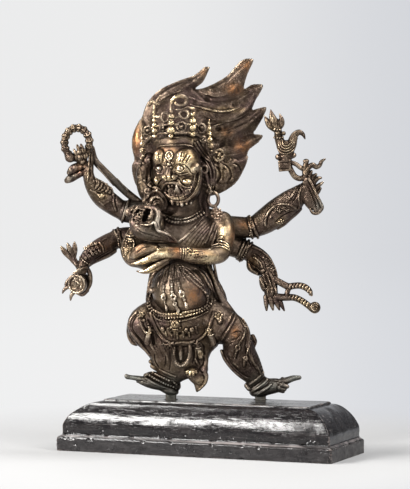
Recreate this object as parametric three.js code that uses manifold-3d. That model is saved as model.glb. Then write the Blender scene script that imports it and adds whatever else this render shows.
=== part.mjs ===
// Six-armed wrathful guardian figure, cast in bronze, standing on two tenons let into a
// black-painted wooden plinth.  Millimetres, +Z up.
// Row frame: origin at the centre of the plinth's underside, +X along the plinth, -Y its front.
// The casting is drawn in its own frame: x to the figure's left, y towards its back, z up from
// the floor; that frame is turned by FIGURE_YAW about Z, because the figure stands askew on its plinth.
import * as THREE from 'three';
import { mergeVertices } from 'three/addons/utils/BufferGeometryUtils.js';
import Module from 'manifold-3d';

const wasm = await Module();
wasm.setup();
const { Manifold, Mesh } = wasm;

// ---- driving dimensions ---------------------------------------------------------------
const BASE_L = 296, BASE_W = 100, BASE_H = 13.6;       // foot slab, upright part
const BASE_BEVEL = 2.8, BASE_STEP = 4.2;               // its weathered top edge, up and in to the moulding
const MOULD_SHIFT = 0.6;                               // the moulding sits a little off the slab's centre
const TOP_L = 222, TOP_W = 64, TOP_H = 52.6;             // raised top panel
const TOP_SHIFT = 7.8;                                 // the panel sits off centre along the plinth
const PANEL_T = 2.2;                                   // thickness of the raised panel's edge
const OVOLO_FOOT = 8, OVOLO_P = 1.6;                                 // upright part of the moulding
const MORTISE_D = 13, MORTISE_GAP = 0.9;
const FIGURE_YAW = 22.4;                               // degrees
const TENON_W = 11, TENON_T = 9, TENON_IN = 12;
const TENON_A = [-39.1, 3, 56.3], TENON_B = [51.6, 3, 56.3];
const SIDES = 7;
const SLIVER = 0.9;                                    // shortest edge kept on the casting

// ---- helpers --------------------------------------------------------------------------
function toManifold(geometry) {
  const g = geometry.clone();
  g.deleteAttribute('normal'); g.deleteAttribute('uv');
  const m = mergeVertices(g, 1e-4);
  const idx = m.index.array, keep = [];
  for (let i = 0; i < idx.length; i += 3) {
    const [a, b, c] = [idx[i], idx[i + 1], idx[i + 2]];
    if (a !== b && b !== c && a !== c) keep.push(a, b, c);
  }
  let made = new Manifold(new Mesh({ numProp: 3, vertProperties: new Float32Array(m.attributes.position.array), triVerts: new Uint32Array(keep) }));
  if (made.volume() < 0) {
    for (let i = 0; i < keep.length; i += 3) [keep[i], keep[i + 1]] = [keep[i + 1], keep[i]];
    made = new Manifold(new Mesh({ numProp: 3, vertProperties: new Float32Array(m.attributes.position.array), triVerts: new Uint32Array(keep) }));
  }
  return made;
}
// joining leaves slivers along every seam: edges shorter than `tol` are closed up, as long as
// the skin stays closed and no facet turns over
function closeSlivers(mesh, tol) {
  const n = mesh.vertProperties.length / mesh.numProp;
  const p = Array.from({ length: n }, (_, i) => new THREE.Vector3(...mesh.vertProperties.slice(i * mesh.numProp, i * mesh.numProp + 3)));
  const tris = [];
  for (let i = 0; i < mesh.triVerts.length; i += 3) tris.push([mesh.triVerts[i], mesh.triVerts[i + 1], mesh.triVerts[i + 2]]);
  const at = Array.from({ length: n }, () => new Set());
  tris.forEach((t, i) => t.forEach((v) => at[v].add(i)));
  const near = (v) => { const s = new Set(); for (const i of at[v]) for (const w of tris[i]) if (w !== v) s.add(w); return s; };
  const normal = (a, b, c) => new THREE.Vector3().subVectors(b, a).cross(new THREE.Vector3().subVectors(c, a));
  const turns = (v, other, to) => {
    for (const i of at[v]) {
      const t = tris[i];
      if (t.includes(other)) continue;
      const old = normal(...t.map((w) => p[w])), fresh = normal(...t.map((w) => (w === v ? to : p[w])));
      if (fresh.length() < 1e-3) return true;
      if (old.length() > 2e-2 && old.normalize().dot(fresh.normalize()) < 0.35) return true;
    }
    return false;
  };
  for (let pass = 0; pass < 8; pass++) {
    const edges = [];
    tris.forEach((t) => { if (t) for (let k = 0; k < 3; k++) { const a = t[k], b = t[(k + 1) % 3]; if (a < b) { const d = p[a].distanceTo(p[b]); if (d < tol) edges.push([d, a, b]); } } });
    edges.sort((x, y) => x[0] - y[0]);
    let done = 0;
    for (const [, a, b] of edges) {
      if (!at[a].size || !at[b].size || p[a].distanceTo(p[b]) >= tol) continue;
      const na = near(a), shared = [...near(b)].filter((v) => na.has(v));
      if (!na.has(b) || shared.length !== 2) continue;
      const goal = [p[a].clone(), p[b].clone(), p[a].clone().add(p[b]).multiplyScalar(0.5)].find((q) => !turns(a, b, q) && !turns(b, a, q));
      if (!goal) continue;
      for (const i of [...at[b]]) {
        const t = tris[i];
        if (t.includes(a)) { t.forEach((v) => at[v].delete(i)); tris[i] = null; }
        else { tris[i] = t.map((v) => (v === b ? a : v)); at[a].add(i); at[b].delete(i); }
      }
      p[a].copy(goal);
      done++;
    }
    if (!done) break;
  }
  const index = new Map(), pos = [], idx = [];
  for (const t of tris) if (t) for (const v of t) {
    if (!index.has(v)) { index.set(v, pos.length / 3); pos.push(p[v].x, p[v].y, p[v].z); }
    idx.push(index.get(v));
  }
  return { pos, idx };
}
function fromManifold(m, material, name, tol = 0) {
  const g = new THREE.BufferGeometry();
  const { pos, idx } = closeSlivers(m.getMesh(), tol);
  g.setAttribute('position', new THREE.Float32BufferAttribute(pos, 3));
  g.setIndex(idx);
  g.computeVertexNormals();
  const made = new THREE.Mesh(g, material);
  made.name = name;
  return made;
}
const cr = (a, b, c, d, t) => 0.5 * (2 * b + (c - a) * t + (2 * a - 5 * b + 4 * c - d) * t * t + (3 * b - a - 3 * c + d) * t * t * t);
// a limb, fold or tongue: stations [x, y, z, half-width, half-depth], swept with rounded ends
function sweep(stations, { n = SIDES, sub = 1, ref = [0, 1, 0], cap = 0.8 } = {}) {
  const s = stations.map((p) => [p[0], p[1], p[2], p[3], p.length > 4 ? p[4] : p[3]]);
  const at = (i) => s[Math.max(0, Math.min(s.length - 1, i))];
  const rows = [];
  for (let i = 0; i < s.length - 1; i++) for (let k = 0; k < sub; k++)
    rows.push([0, 1, 2, 3, 4].map((c) => cr(at(i - 1)[c], at(i)[c], at(i + 1)[c], at(i + 2)[c], k / sub)));
  rows.push([...s[s.length - 1]]);
  for (const r of rows) { r[3] = Math.max(0.25, r[3]); r[4] = Math.max(0.25, r[4]); }
  const dirs = rows.map((r, i) => {
    const a = rows[Math.max(0, i - 1)], b = rows[Math.min(rows.length - 1, i + 1)];
    return new THREE.Vector3(b[0] - a[0], b[1] - a[1], b[2] - a[2]).normalize();
  });
  const end = (r, d, sign) => {
    const m = Math.min(r[3], r[4]) * cap;
    return [r[0] + d.x * sign * m, r[1] + d.y * sign * m, r[2] + d.z * sign * m];
  };
  const apex0 = end(rows[0], dirs[0], -1), apex1 = end(rows[rows.length - 1], dirs[dirs.length - 1], 1);
  const all = rows, alld = dirs;
  const pos = [], idx = [];
  all.forEach((r, i) => {
    const T = alld[i], B = new THREE.Vector3(...ref).addScaledVector(T, -T.dot(new THREE.Vector3(...ref)));
    if (B.length() < 0.05) B.set(1, 0, 0).addScaledVector(T, -T.x);
    B.normalize();
    const N = new THREE.Vector3().crossVectors(T, B);
    for (let k = 0; k < n; k++) {
      const q = (k + 0.5) / n * Math.PI * 2, c = Math.cos(q) * r[3], e = Math.sin(q) * r[4];
      pos.push(r[0] + N.x * c + B.x * e, r[1] + N.y * c + B.y * e, r[2] + N.z * c + B.z * e);
    }
  });
  for (let i = 0; i < all.length - 1; i++) for (let k = 0; k < n; k++) {
    const a = i * n + k, b = i * n + (k + 1) % n, c = a + n, d = b + n;
    idx.push(a, b, d, a, d, c);
  }
  const s0 = pos.length / 3; pos.push(...apex0);
  const s1 = pos.length / 3; pos.push(...apex1);
  const last = (all.length - 1) * n;
  for (let k = 0; k < n; k++) { idx.push(s0, (k + 1) % n, k); idx.push(s1, last + k, last + (k + 1) % n); }
  const g = new THREE.BufferGeometry();
  g.setAttribute('position', new THREE.Float32BufferAttribute(pos, 3));
  g.setIndex(idx);
  return toManifold(g);
}
function ell(c, r, { w = 12, h = 8, rot = [0, 0, 0] } = {}) {
  const g = new THREE.SphereGeometry(1, w, h);
  g.rotateX(Math.PI / 2);
  g.scale(r[0], r[1], r[2]);
  g.applyMatrix4(new THREE.Matrix4().makeRotationFromEuler(new THREE.Euler(...rot.map((d) => d * Math.PI / 180))));
  g.translate(...c);
  return toManifold(g);
}
const ball = (c, r, w = 8, h = 6) => ell(c, [r, r, r], { w, h });
function box(c, s, yaw = 0) {
  const g = new THREE.BoxGeometry(...s);
  g.rotateZ(yaw * Math.PI / 180);
  g.translate(...c);
  return toManifold(g);
}
// a turned stack of beads from foot to tip
function finial(foot, tip, r, beads, w = 7) {
  const a = new THREE.Vector3(...foot), b = new THREE.Vector3(...tip), len = a.distanceTo(b), prof = [new THREE.Vector2(0, 0)];
  for (let i = 0; i < beads; i++) {
    const t0 = i / beads, k = r * (1 - 0.62 * t0);
    prof.push(new THREE.Vector2(k * 0.55, len * (t0 + 0.02)), new THREE.Vector2(k, len * (t0 + 0.5 / beads)));
  }
  prof.push(new THREE.Vector2(r * 0.2, len * 0.97), new THREE.Vector2(0, len));
  const g = new THREE.LatheGeometry(prof, w);
  g.applyMatrix4(new THREE.Matrix4().makeRotationFromQuaternion(new THREE.Quaternion().setFromUnitVectors(new THREE.Vector3(0, 1, 0), b.clone().sub(a).normalize())));
  g.translate(a.x, a.y, a.z);
  return toManifold(g);
}
function ring(c, R, r, { n = 6, m = 14, sx = 1, sz = 1, yaw = 0, tilt = 0 } = {}) {
  const g = new THREE.TorusGeometry(R, r, n, m);          // lies in XY
  g.rotateX(Math.PI / 2);                                 // faces the front
  g.scale(sx, 1, sz);
  g.rotateX(tilt * Math.PI / 180);
  g.rotateZ(yaw * Math.PI / 180);
  g.translate(...c);
  return toManifold(g);
}
const mix = (a, b, t) => a.map((v, i) => v + (b[i] - v) * t);
// a band round a limb, between two points on its axis
function band(a, b, r, opt = {}) { return sweep([[...a, r], [...b, r]], { n: 8, cap: 0.3, ...opt }); }

const cast = [];
const add = (...m) => cast.push(...m);
// four or fewer fingers fanned from a knuckle line: start, end, offsets per finger
function fingers(root, tip, step, spread, count, r = 2.3) {
  for (let i = 0; i < count; i++) {
    const off = (k) => step.map((v, c) => v * i + spread[c] * i * k);
    const a = root.map((v, c) => v + off(0)[c]), b = tip.map((v, c) => v + off(1)[c]);
    add(sweep([[...a, r], [...b, r * 0.75]], { n: 5, cap: 0.8 }));
  }
}

// ---- trunk ----------------------------------------------------------------------------
add(ell([-28.7, -14, 163.6], [30.5, 29, 28], { w: 12, h: 10 }));               // belly
add(ell([-21.8, -2, 214.5], [34, 20, 28], { w: 10, h: 7 }));                   // chest
add(ell([-27.8, -8, 132], [30, 26, 21], { w: 10, h: 6 }));                   // hips and belt roll
add(sweep([[-23.8, 0, 228.5, 19, 15], [-23.8, -2, 242.7, 16, 13], [-27.8, -5, 258.9, 15, 13]], { n: 7 }));   // neck
add(ell([12.5, -1, 229.6], [12, 12, 12], { w: 8, h: 6 }));                    // left shoulder
add(ell([-60.1, 0, 232.6], [12, 13, 13], { w: 8, h: 6 }));                    // right shoulder
// hide worn over the back, showing at both flanks
add(sweep([[-25.9, 14, 224.1, 28, 9], [-28, 14, 191.6, 31, 10], [-28, 14, 175.4, 35, 11], [-25.9, 12, 159.2, 40, 13], [-22.9, 8, 143.2, 42, 15], [-22.9, 8, 122.9, 34, 15], [-24.9, 8, 102.6, 24, 12]], { n: 8 }));

// ---- legs and skirt -------------------------------------------------------------------
add(sweep([[-44, 0, 137.6, 20], [-58, -9, 136.1, 19], [-67.9, -13, 131.3, 15.5], [-68, -12, 120.2, 13], [-58, -9, 103.9, 13], [-49, -5, 90.4, 12], [-41, 0, 76.8, 9.5], [-39, 3, 68.5, 7]]));
add(sweep([[-5.6, 0, 133.5, 24], [12.5, -5, 127.8, 19], [24.6, -9, 123, 15], [27.6, -10, 113, 15.5, 14], [30.6, -8, 100.8, 16.5, 13], [37.8, -4, 88.3, 14, 11], [44.9, 0, 75.8, 10.5, 9], [48, 3, 64.4, 8, 8]]));
add(sweep([[12.5, -8, 102.8, 2.4, 5], [18.6, -7, 90.6, 2.6, 5], [28.7, -4, 78.2, 2.8, 5], [37.8, 0, 68.7, 2.6, 5]], { n: 5 }));       // hem of the left legging
add(sweep([[-29.8, -8, 132, 32, 18], [-27.8, -10, 112, 32, 17], [-29.8, -9, 97.8, 28, 14], [-33.8, -8, 85.6, 23, 10]], { n: 10 }));
add(sweep([[-5.6, -10, 116, 16, 9], [-11.7, -12, 106.1, 13, 8], [-11.7, -13, 92.1, 10.5, 7], [-10.7, -13, 77, 9.5, 5], [-10.7, -12, 68.8, 6.5, 3.5], [-12.7, -11, 62.7, 1.5, 2]], { n: 6 }));  // leg of the hide
add(sweep([[-52.9, -14, 104.2, 9, 7], [-48.9, -12, 90, 8, 6], [-44.9, -8, 80.6, 4, 4]], { n: 6 }));
add(sweep([[-35.6, -24, 110, 2.4], [-36.7, -23, 95.9, 2.4], [-30.7, -22, 87.8, 2.6], [-23.6, -23, 92.9, 2.4], [-20.1, -25, 106.1, 2.4]], { n: 5 }));       // hanging loop
add(ball([-16.7, -19, 81.5], 6, 6, 4));                                       // paw

// ---- feet and tenons ------------------------------------------------------------------
add(sweep([[-34, 6, 66.2, 5, 6], [-42.1, 4, 67.4, 7.4, 8], [-50.1, 1, 69.1, 7.4, 8], [-53.2, 0, 70.8, 9, 9.4], [-58.2, -1, 71.9, 8.6, 9], [-64.2, -3, 72, 6.8, 8.5], [-72.2, -5, 73.6, 4.4, 6], [-79.3, -6, 75.9, 2.6, 3.2], [-83.8, -7, 76.8, 2.1, 2.2]]));
add(sweep([[44.1, 8, 60.9, 6, 6], [49.1, 5, 64.2, 8, 8], [55.1, 1, 66.1, 9.6, 9.6], [59.1, 1, 65.8, 8.4, 8.8], [67.1, -2, 66.9, 8, 8.5], [75.1, -4, 69.6, 5.6, 6.5], [81.1, -5, 73.2, 3.6, 4], [91.2, -5, 75.9, 1.8, 1.9]]));
fingers([66.9, -8, 66.4], [77.5, -10, 63.6], [0, 5, 0.6], [0, 0.3, 0], 1, 3);      // toes
for (const t of [TENON_A, TENON_B]) add(box([t[0], t[1], TOP_H - TENON_IN + 13], [TENON_W, TENON_T, 26]));

// ---- front arms and the skull bowl ------------------------------------------------------
add(sweep([[12.5, -2, 232.6, 11], [14.5, -8, 216.7, 9.8], [13.5, -12, 210.7, 9], [13.4, -13, 208.8, 10.4], [9.4, -21, 201, 8.8], [-4.6, -34, 199.5, 8.2], [-19.5, -42, 201.8, 7.4], [-22.5, -43, 202.2, 8.4], [-27.4, -44, 202.8, 6.6], [-41.3, -45, 199.9, 6.4, 5], [-53.2, -44, 195.9, 5.4, 4]]));
fingers([-51.2, -45, 199.4], [-71.1, -42, 194.8], [0, 0, -4], [0.8, 0, -0.8], 3, 3);
add(sweep([[-58.1, 0, 234.6, 12], [-73, -8, 218.7, 10.5], [-80.3, -16, 204.8, 9.5], [-75.5, -27, 196.2, 8.5], [-63.3, -37, 200.6, 8], [-52.2, -41, 205.7, 6.5]]));
add(sweep([[-69.4, -30, 225.3, 9, 9], [-72.4, -31, 213.3, 9, 9], [-67.3, -34, 200.5, 8, 7]], { n: 6 }));        // hand cupped beneath the bowl
{ // open-mouthed bowl, drawn out to a point
  const shell = sweep([[-66.2, -37, 245.3, 11.5, 11], [-58.2, -39, 235.4, 14, 12.5], [-49.3, -41, 224.6, 11.4, 10.6], [-32.4, -42, 213.7, 2.5, 2.5]], { n: 9, cap: 0.15 });
  const hollow = sweep([[-69.2, -38, 251.3, 9.5, 9], [-64.2, -39, 244.4, 9, 8.5], [-60.2, -40, 237.4, 6, 6]], { n: 7, cap: 0.5 });
  add(shell.subtract(hollow));
}
add(sweep([[-65.9, -50, 233.7, 1.8], [-55.9, -53, 230.8, 2], [-51, -54, 224.9, 2], [-43.1, -51, 219.9, 1.8], [-35.3, -47, 215.8, 1.4]], { n: 5 }));

// ---- four rear arms ---------------------------------------------------------------------
add(sweep([[-48.1, 8, 241.5, 11], [-79.5, 8, 243, 10.8], [-83.6, 8, 243, 10.6], [-84.6, 8, 243, 12], [-89.6, 8, 244.5, 11.4], [-90.7, 8, 245.1, 9.6], [-98.7, 6, 250.6, 10.6], [-108.6, 3, 258.3, 11], [-116.1, 0, 266.4, 9], [-121.5, -3, 276, 6.5], [-122.9, -5, 285, 5.5]]));
add(sweep([[-48.2, 12, 217.1, 11], [-86.8, 13, 216.6, 10.6], [-89.9, 13, 216, 11.6], [-93.9, 13, 215, 10.8], [-95.9, 13, 214, 9.4], [-103.9, 10, 209.5, 10.4], [-113.9, 5, 204.1, 9.8], [-121.7, 0, 197.7, 8.2], [-126.6, -4, 191.3, 6], [-129, -6, 182.3, 5]]));
add(sweep([[2.5, 10, 228.3, 12], [39, 11, 226.8, 11], [41, 11, 226.8, 12], [46.1, 11, 227.3, 12], [48.1, 11, 228.3, 11], [57.2, 10, 233.9, 13.4], [69.3, 8, 243, 14], [81.3, 6, 252.7, 13], [89.3, 4, 259.3, 10], [96.3, 2, 264.8, 8]]));
add(sweep([[8.6, 14, 214, 12], [30.9, 16, 205.3, 11], [34, 16, 203.8, 11.8], [38.6, 16, 201.7, 11.6], [40.1, 16, 200.7, 9.6], [48.2, 14, 196.2, 10.4], [54.2, 10, 189.8, 10.4], [59.7, 6, 180.8, 8.6], [62.1, 2, 171.9, 6.8], [63, -1, 162.9, 6]]));
// scarf folds on the arms
add(sweep([[-106.3, -5, 272.9, 2], [-97.1, -8, 260.9, 3.4], [-96.3, -4, 248.8, 2]], { n: 5 }));
add(sweep([[60.9, -4, 226.6, 2], [70.8, -8, 244.8, 3.4], [88, -4, 244.8, 3]], { n: 5 }));
add(sweep([[39.9, 6, 186.9, 3.4], [48.9, 0, 179, 4], [58.9, -3, 162, 3]], { n: 5 }));

// ---- what the rear hands hold -------------------------------------------------------------
// right upper: bead rosary, with a bar running down to the shoulder
add(ell([-126.3, -6, 294.1], [6.5, 4.5, 9], { w: 8, h: 6 }));
fingers([-129.8, -7, 300.1], [-133.7, -8, 308.1], [2.6, 0, 0.4], [0.4, 0, 0.5], 2, 2.2);
{ // the beads swell and shrink along one ring
  const c = [-133.4, -4, 311.8], n = 5, beads = 12, pos = [], idx = [];
  for (let i = 0; i < beads * 2; i++) {
    const q = i / beads * Math.PI, r = i % 2 ? 3.3 : 4.7;
    for (let k = 0; k < n; k++) {
      const w = k / n * Math.PI * 2, R = r * Math.cos(w);
      pos.push(c[0] + (12.7 + R) * Math.cos(q), c[1] + r * Math.sin(w), c[2] + (15.3 + R) * Math.sin(q));
    }
  }
  const m = beads * 2;
  for (let i = 0; i < m; i++) for (let k = 0; k < n; k++) {
    const a = i * n + k, b = i * n + (k + 1) % n, d = ((i + 1) % m) * n + k, e = ((i + 1) % m) * n + (k + 1) % n;
    idx.push(a, d, b, b, d, e);
  }
  const g = new THREE.BufferGeometry();
  g.setAttribute('position', new THREE.Float32BufferAttribute(pos, 3));
  g.setIndex(idx);
  add(toManifold(g));
}
add(sweep([[-120.6, 2, 309.2, 3, 3], [-116.2, 4, 297.1, 3.6, 3], [-106.7, 5, 286, 3.8, 3], [-87.6, 7, 263.8, 4, 3], [-71.5, 9, 248.6, 4, 3]], { n: 4 }));
add(sweep([[-122.4, -3, 290, 4.5, 3.5], [-130.4, -4, 286, 5.5, 4], [-138.5, -4, 281, 5, 3.6], [-143.6, -4, 275.5, 3.4, 3]], { n: 6 }));
// right lower: hand drum with a forked streamer
add(ell([-129.5, -7, 182.4], [6, 5, 7], { w: 8, h: 6 }));
{
  const c = [-133.4, -9, 170.1];
  const prof = [[0, -8], [9.6, -8], [10.4, -6], [6, 0], [10.4, 6], [9.6, 8], [0, 8]].map((p) => new THREE.Vector2(...p));
  const g = new THREE.LatheGeometry(prof, 12);
  g.rotateX(12 * Math.PI / 180); g.rotateZ(-14 * Math.PI / 180);
  g.translate(c[0] + 1, c[1] + 7, c[2]);
  add(toManifold(g));
}
add(sweep([[-131.6, -4, 186.3, 3.4, 2.6], [-135.7, -3, 192.3, 4.2, 2], [-140.3, -2, 201.3, 6.6, 2]], { n: 6 }));
for (const t of [[-149.5, -2, 208.4], [-142.2, -2, 210.8], [-135.1, -2, 212.4]]) add(sweep([[...mix([-139.8, -2, 197.3], t, 0.15), 3.2, 1.8], [...mix([-139.8, -2, 197.3], t, 0.6), 2.4, 1.6], [...t, 0.9, 1]], { n: 4 }));
add(sweep([[-124.5, -5, 186.3, 3], [-119.9, -6, 178.3, 2.4], [-120.4, -7, 170.3, 2.2], [-125.5, -7, 166.3, 2.4]], { n: 5 }));
add(sweep([[-138.4, -9, 175.4, 2.6], [-144.5, -9, 169.4, 2.2], [-148.3, -8, 162.3, 1]], { n: 5 }), sweep([[-135.6, -6, 165.2, 3], [-139.6, -7, 160.2, 2.4], [-140.4, -7, 154.2, 1]], { n: 5 }), sweep([[-135.8, -2, 163, 3], [-129.8, -2, 158.9, 3], [-122.7, -2, 163.5, 2.4]], { n: 5 }));
// left upper: trident head on a curled shaft
add(ell([101.2, -1, 258.8], [8, 5.5, 12], { w: 8, h: 6, rot: [0, 32, 0] }));
add(sweep([[98.5, -5, 274, 3.4, 2.8], [104, -6, 259.9, 5.2, 3], [109.1, -6, 248.3, 6, 3]], { n: 6 }));
fingers([103.2, -3, 267.9], [112.7, -3, 276], [0.6, 0, -5.4], [0.4, 0, 0], 2, 3);
fingers([100.1, -4, 270.9], [103.1, -4, 282.5], [0, 0, 0], [0, 0, 0], 1, 2.6);
add(sweep([[98.1, -3, 270.9, 3.4], [95.6, -3, 285, 3], [96.6, -3, 294.6, 2.6]], { n: 5 }));
add(sweep([[96.1, -3, 281, 3], [89, -3, 277, 3], [82.5, -3, 282, 3.2], [77.9, -3, 289, 3.2]], { n: 5 }), sweep([[96.1, -3, 287, 2.4], [82, -3, 294.1, 2.4]], { n: 4 }));
add(box([75.4, -3, 289.5], [12.5, 8, 12], 0), sweep([[68.9, -3, 297.6, 3.4], [76.9, -3, 297.1, 4.4], [85, -3, 299.1, 3]], { n: 5 }));
add(sweep([[76.9, -3, 295.1, 6.5], [76.9, -3, 305.1, 8], [75.9, -3, 312.2, 6]], { n: 6 }));
add(sweep([[74.9, -3, 307.2, 5.4], [70.4, -3, 316.2, 4.4], [67.8, -3, 324.3, 3.6], [66.8, -3, 330.3, 4.4], [65.3, -3, 337.3, 3.4], [62.6, -3, 344.9, 0.7]], { n: 6 }));
add(sweep([[65.3, -3, 326.3, 3.4], [59.3, -3, 331.3, 4], [56, -3, 337.8, 0.7]], { n: 5 }), sweep([[67.8, -3, 326.3, 3.4], [72.4, -3, 332.3, 3.8], [71.2, -3, 341.3, 0.7]], { n: 5 }));
add(sweep([[78.9, -3, 305.1, 5], [82, -3, 313.2, 4], [85.5, -3, 320.2, 3.2], [90, -3, 323.2, 2.8], [94, -3, 320.7, 2], [96.8, -3, 316.2, 0.7]], { n: 5 }));
add(sweep([[97, -5, 282, 3], [101, -5, 290, 2.8], [106.1, -5, 288.5, 2.6], [110.1, -5, 288.5, 2.4], [116.1, -5, 295.8, 0.8]], { n: 5 }));
// left lower: noose ending in two curled hooks
add(ell([63, -2, 156.9], [7, 5, 8.5], { w: 8, h: 6 }));
fingers([58.4, -3, 154.9], [57.4, -4, 145.9], [4.6, 0, -0.4], [2.4, 0, -0.2], 3, 3.2);
add(sweep([[65, -2, 175.1, 3.4], [73, -4, 172.7, 3], [81, -5, 168.2, 3], [90.1, -5, 170.2, 3], [97.2, -5, 168.2, 3], [103.2, -5, 161.6, 1.6]], { n: 5 }));
add(sweep([[67, -4, 156, 3.6], [77, -5, 156.6, 3.2], [86.1, -5, 156.1, 3.2], [93.1, -5, 152, 3.2], [100.2, -5, 145, 3.2], [106.8, -5, 142.4, 3], [108.8, -5, 148, 2.4], [105.8, -5, 151.5, 1.8]], { n: 5 }));
add(sweep([[81, -5, 168.2, 2.6], [79, -5, 162.1, 2.6], [77, -5, 157.1, 2.6]], { n: 5 }));

// ---- head ---------------------------------------------------------------------------------
const HEAD_C = [-32.3, -8, 284], HEAD_YAW = -20, HEAD_ROLL = -9;
const headM = new THREE.Matrix4().makeTranslation(...HEAD_C)
  .multiply(new THREE.Matrix4().makeRotationZ(HEAD_YAW * Math.PI / 180))
  .multiply(new THREE.Matrix4().makeRotationY(HEAD_ROLL * Math.PI / 180));
// u across the face, v out of it, w up
const hd = (u, v, w) => new THREE.Vector3(u, -v, w).applyMatrix4(headM).toArray();
const hrot = [0, HEAD_ROLL, HEAD_YAW];
add(ell(hd(0, 0, 0), [25, 26, 30], { w: 10, h: 8, rot: hrot }));
for (const s of [-1, 1]) {
  add(ell(hd(9.5 * s, 18, 12), [11.5, 8.5, 9], { w: 8, h: 5 }));         // swollen brows
  add(ball(hd(10 * s, 20.5, 1), 6, 6, 4));                               // eyes
  add(ell(hd(14 * s, 15, -9), [8.5, 8, 6.5], { w: 6, h: 5 }));           // cheeks
  add(sweep([[...hd(0, 25.5, -13), 2.4], [...hd(7 * s, 24.5, -13.5), 2.4], [...hd(14 * s, 18, -18), 1.6]], { n: 5 }));
  add(ell(hd(24.5 * s, 0, -2), [3.4, 6, 10], { w: 6, h: 4, rot: hrot }));
}
add(ell(hd(0, 25, -7), [7, 6, 5], { w: 6, h: 4 }));                      // nose
add(ell(hd(0, 14, -22), [15, 12, 11], { w: 8, h: 6 }));                  // jaw
add(ell([-31.8, -3, 312.2], [27, 29, 20], { w: 8, h: 6 }));                   // swept-up hair
add(sweep([[-64, -6, 285, 7, 8], [-63.9, -8, 268.9, 8, 8], [-57.9, -10, 256.9, 9, 8], [-49.8, -12, 242.9, 6, 6]], { n: 6 }));   // locks by the ears
add(sweep([[-3.6, 0, 289, 6, 8], [-1.6, 2, 272.9, 9, 9], [-1.6, 4, 256.7, 9, 8], [-5.6, 4, 242.6, 10, 8]], { n: 6 }));
// tiara: band and five beaded leaves
add(sweep([[-69.1, -2, 299.1, 3.4], [-61.6, -20, 308, 3.6], [-48.4, -29, 314.4, 3.8], [-31.5, -32, 316.3, 4], [-15.6, -27, 313.9, 3.8], [-2.6, -12, 306.1, 3.6], [2.4, 0, 298.1, 3.2]], { n: 5 }));
add(finial([-67, -6, 287], [-68, -3, 329.3], 3.8, 3, 5), finial([-55, -24, 312.9], [-55, -24, 351.8], 4.6, 3, 5), finial([-38, -30, 313.9], [-37.9, -31, 351.6], 5.4, 3, 6),
    finial([-16.6, -26, 312.9], [-16.1, -26, 347.8], 5, 3, 5), finial([4.4, -4, 297.1], [0.4, -5, 334.3], 4.2, 3, 5));
add(sweep([[-37.9, -31, 346.6, 2], [-36.4, -31, 353.6, 2], [-30.5, -31, 356.8, 2], [-25, -30, 353.1, 2.2], [-26.5, -29, 348.2, 2.6]], { n: 5 }));     // curl on the middle leaf
add(ball([8.5, -3, 298.1], 5, 6, 4), ball([-27.5, -27, 323.9], 5.5, 6, 4));
// earrings
add(ring([2.9, -2, 253.8], 6.4, 1.9, { n: 5, m: 9, sz: 1.15 }), ball([7, -4, 240.2], 6, 6, 4), ball([-2.1, -2, 262.9], 4.4, 6, 4));

// ---- flame of hair behind the head ----------------------------------------------------------
add(ell([-12.7, 9, 314.3], [53, 9, 54], { w: 14, h: 6 }));
const FLAME = [
  [[-45.1, 6, 283, 16, 9], [-61.2, 7, 297.1, 17, 9], [-67.3, 8, 315.3, 12.5, 8], [-60.3, 9, 335.6, 12, 7], [-45.1, 9, 355.8, 12, 7]],
  [[-40, 6, 264.8, 16, 9], [-60.2, 7, 276.9, 17, 8], [-67.3, 8, 289.1, 11, 7]],
  [[-34, 10, 343.7, 20, 10], [-25.9, 10, 363.4, 10.5, 7], [-13.7, 9, 375.4, 7.4, 4.5], [-5.6, 8, 383.5, 5, 3], [-1, 7, 388.4, 2, 1.4]],
  [[-3.6, 10, 349.7, 24, 10], [14.6, 10, 367.9, 13, 7], [27.7, 10, 381, 9.5, 4.5], [36.8, 9, 390.6, 7, 3], [42.8, 7, 395.5, 2.4, 1.4]],
  [[16.6, 11, 345.7, 16, 8], [33.8, 12, 358.9, 10.5, 5], [45, 11, 366.4, 6.4, 3], [52.5, 9, 371.3, 1.8, 1.2]],
  [[20.7, 12, 325.5, 16, 8], [36.9, 12, 335.6, 12, 5], [48, 11, 343.2, 6.4, 3], [56.9, 9, 347.9, 1.4, 1.2]],
  [[18.7, 12, 304.3, 14, 8], [33.9, 12, 310.3, 9, 5], [45, 11, 316.9, 4.6, 3], [52, 9, 319.7, 1.4, 1.2]],
  [[2.5, 11, 283, 20, 9], [20.7, 11, 288.1, 14, 6], [30.8, 10, 293.6, 8, 4], [38.4, 9, 298.6, 2, 1.2]],
  [[-17.8, 8, 274.9, 16, 10], [0.4, 10, 272.9, 13.5, 7], [14.6, 10, 274.9, 11, 5], [25.8, 10, 282, 6, 3]],
];
for (const t of FLAME) add(sweep(t, { n: 6 }));

// ---- jewellery in the larger relief ---------------------------------------------------------
add(sweep([[-46.8, -12, 240.9, 2], [-41.7, -18, 234, 2.2], [-28.6, -20, 231, 2.2], [-15.6, -18, 234, 2.2], [-5.6, -10, 241.8, 2]], { n: 5 }));
add(sweep([[-59.6, -24, 155.1, 2.2], [-50.4, -36, 142.8, 2.6], [-33.4, -42, 138.7, 2.8], [-17.5, -40, 141.6, 2.6], [-4.6, -30, 148.4, 2.4], [-0.6, -24, 163.1, 2]], { n: 5 }));
for (const b of [[-33.5, -32, 129.6, 6], [7.9, -24, 139.1, 5.4]]) add(ball(b.slice(0, 3), b[3], 6, 4));
add(sweep([[-56.5, -28, 143.3, 2.4], [-52.5, -31, 128.5, 3.2], [-41.6, -28, 116.3, 3.4], [-27.6, -27, 112.2, 3.4], [-13.6, -26, 115.2, 3.2], [-0.6, -26, 128.2, 2.8], [5.4, -22, 141, 2.4]], { n: 5 }));

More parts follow.
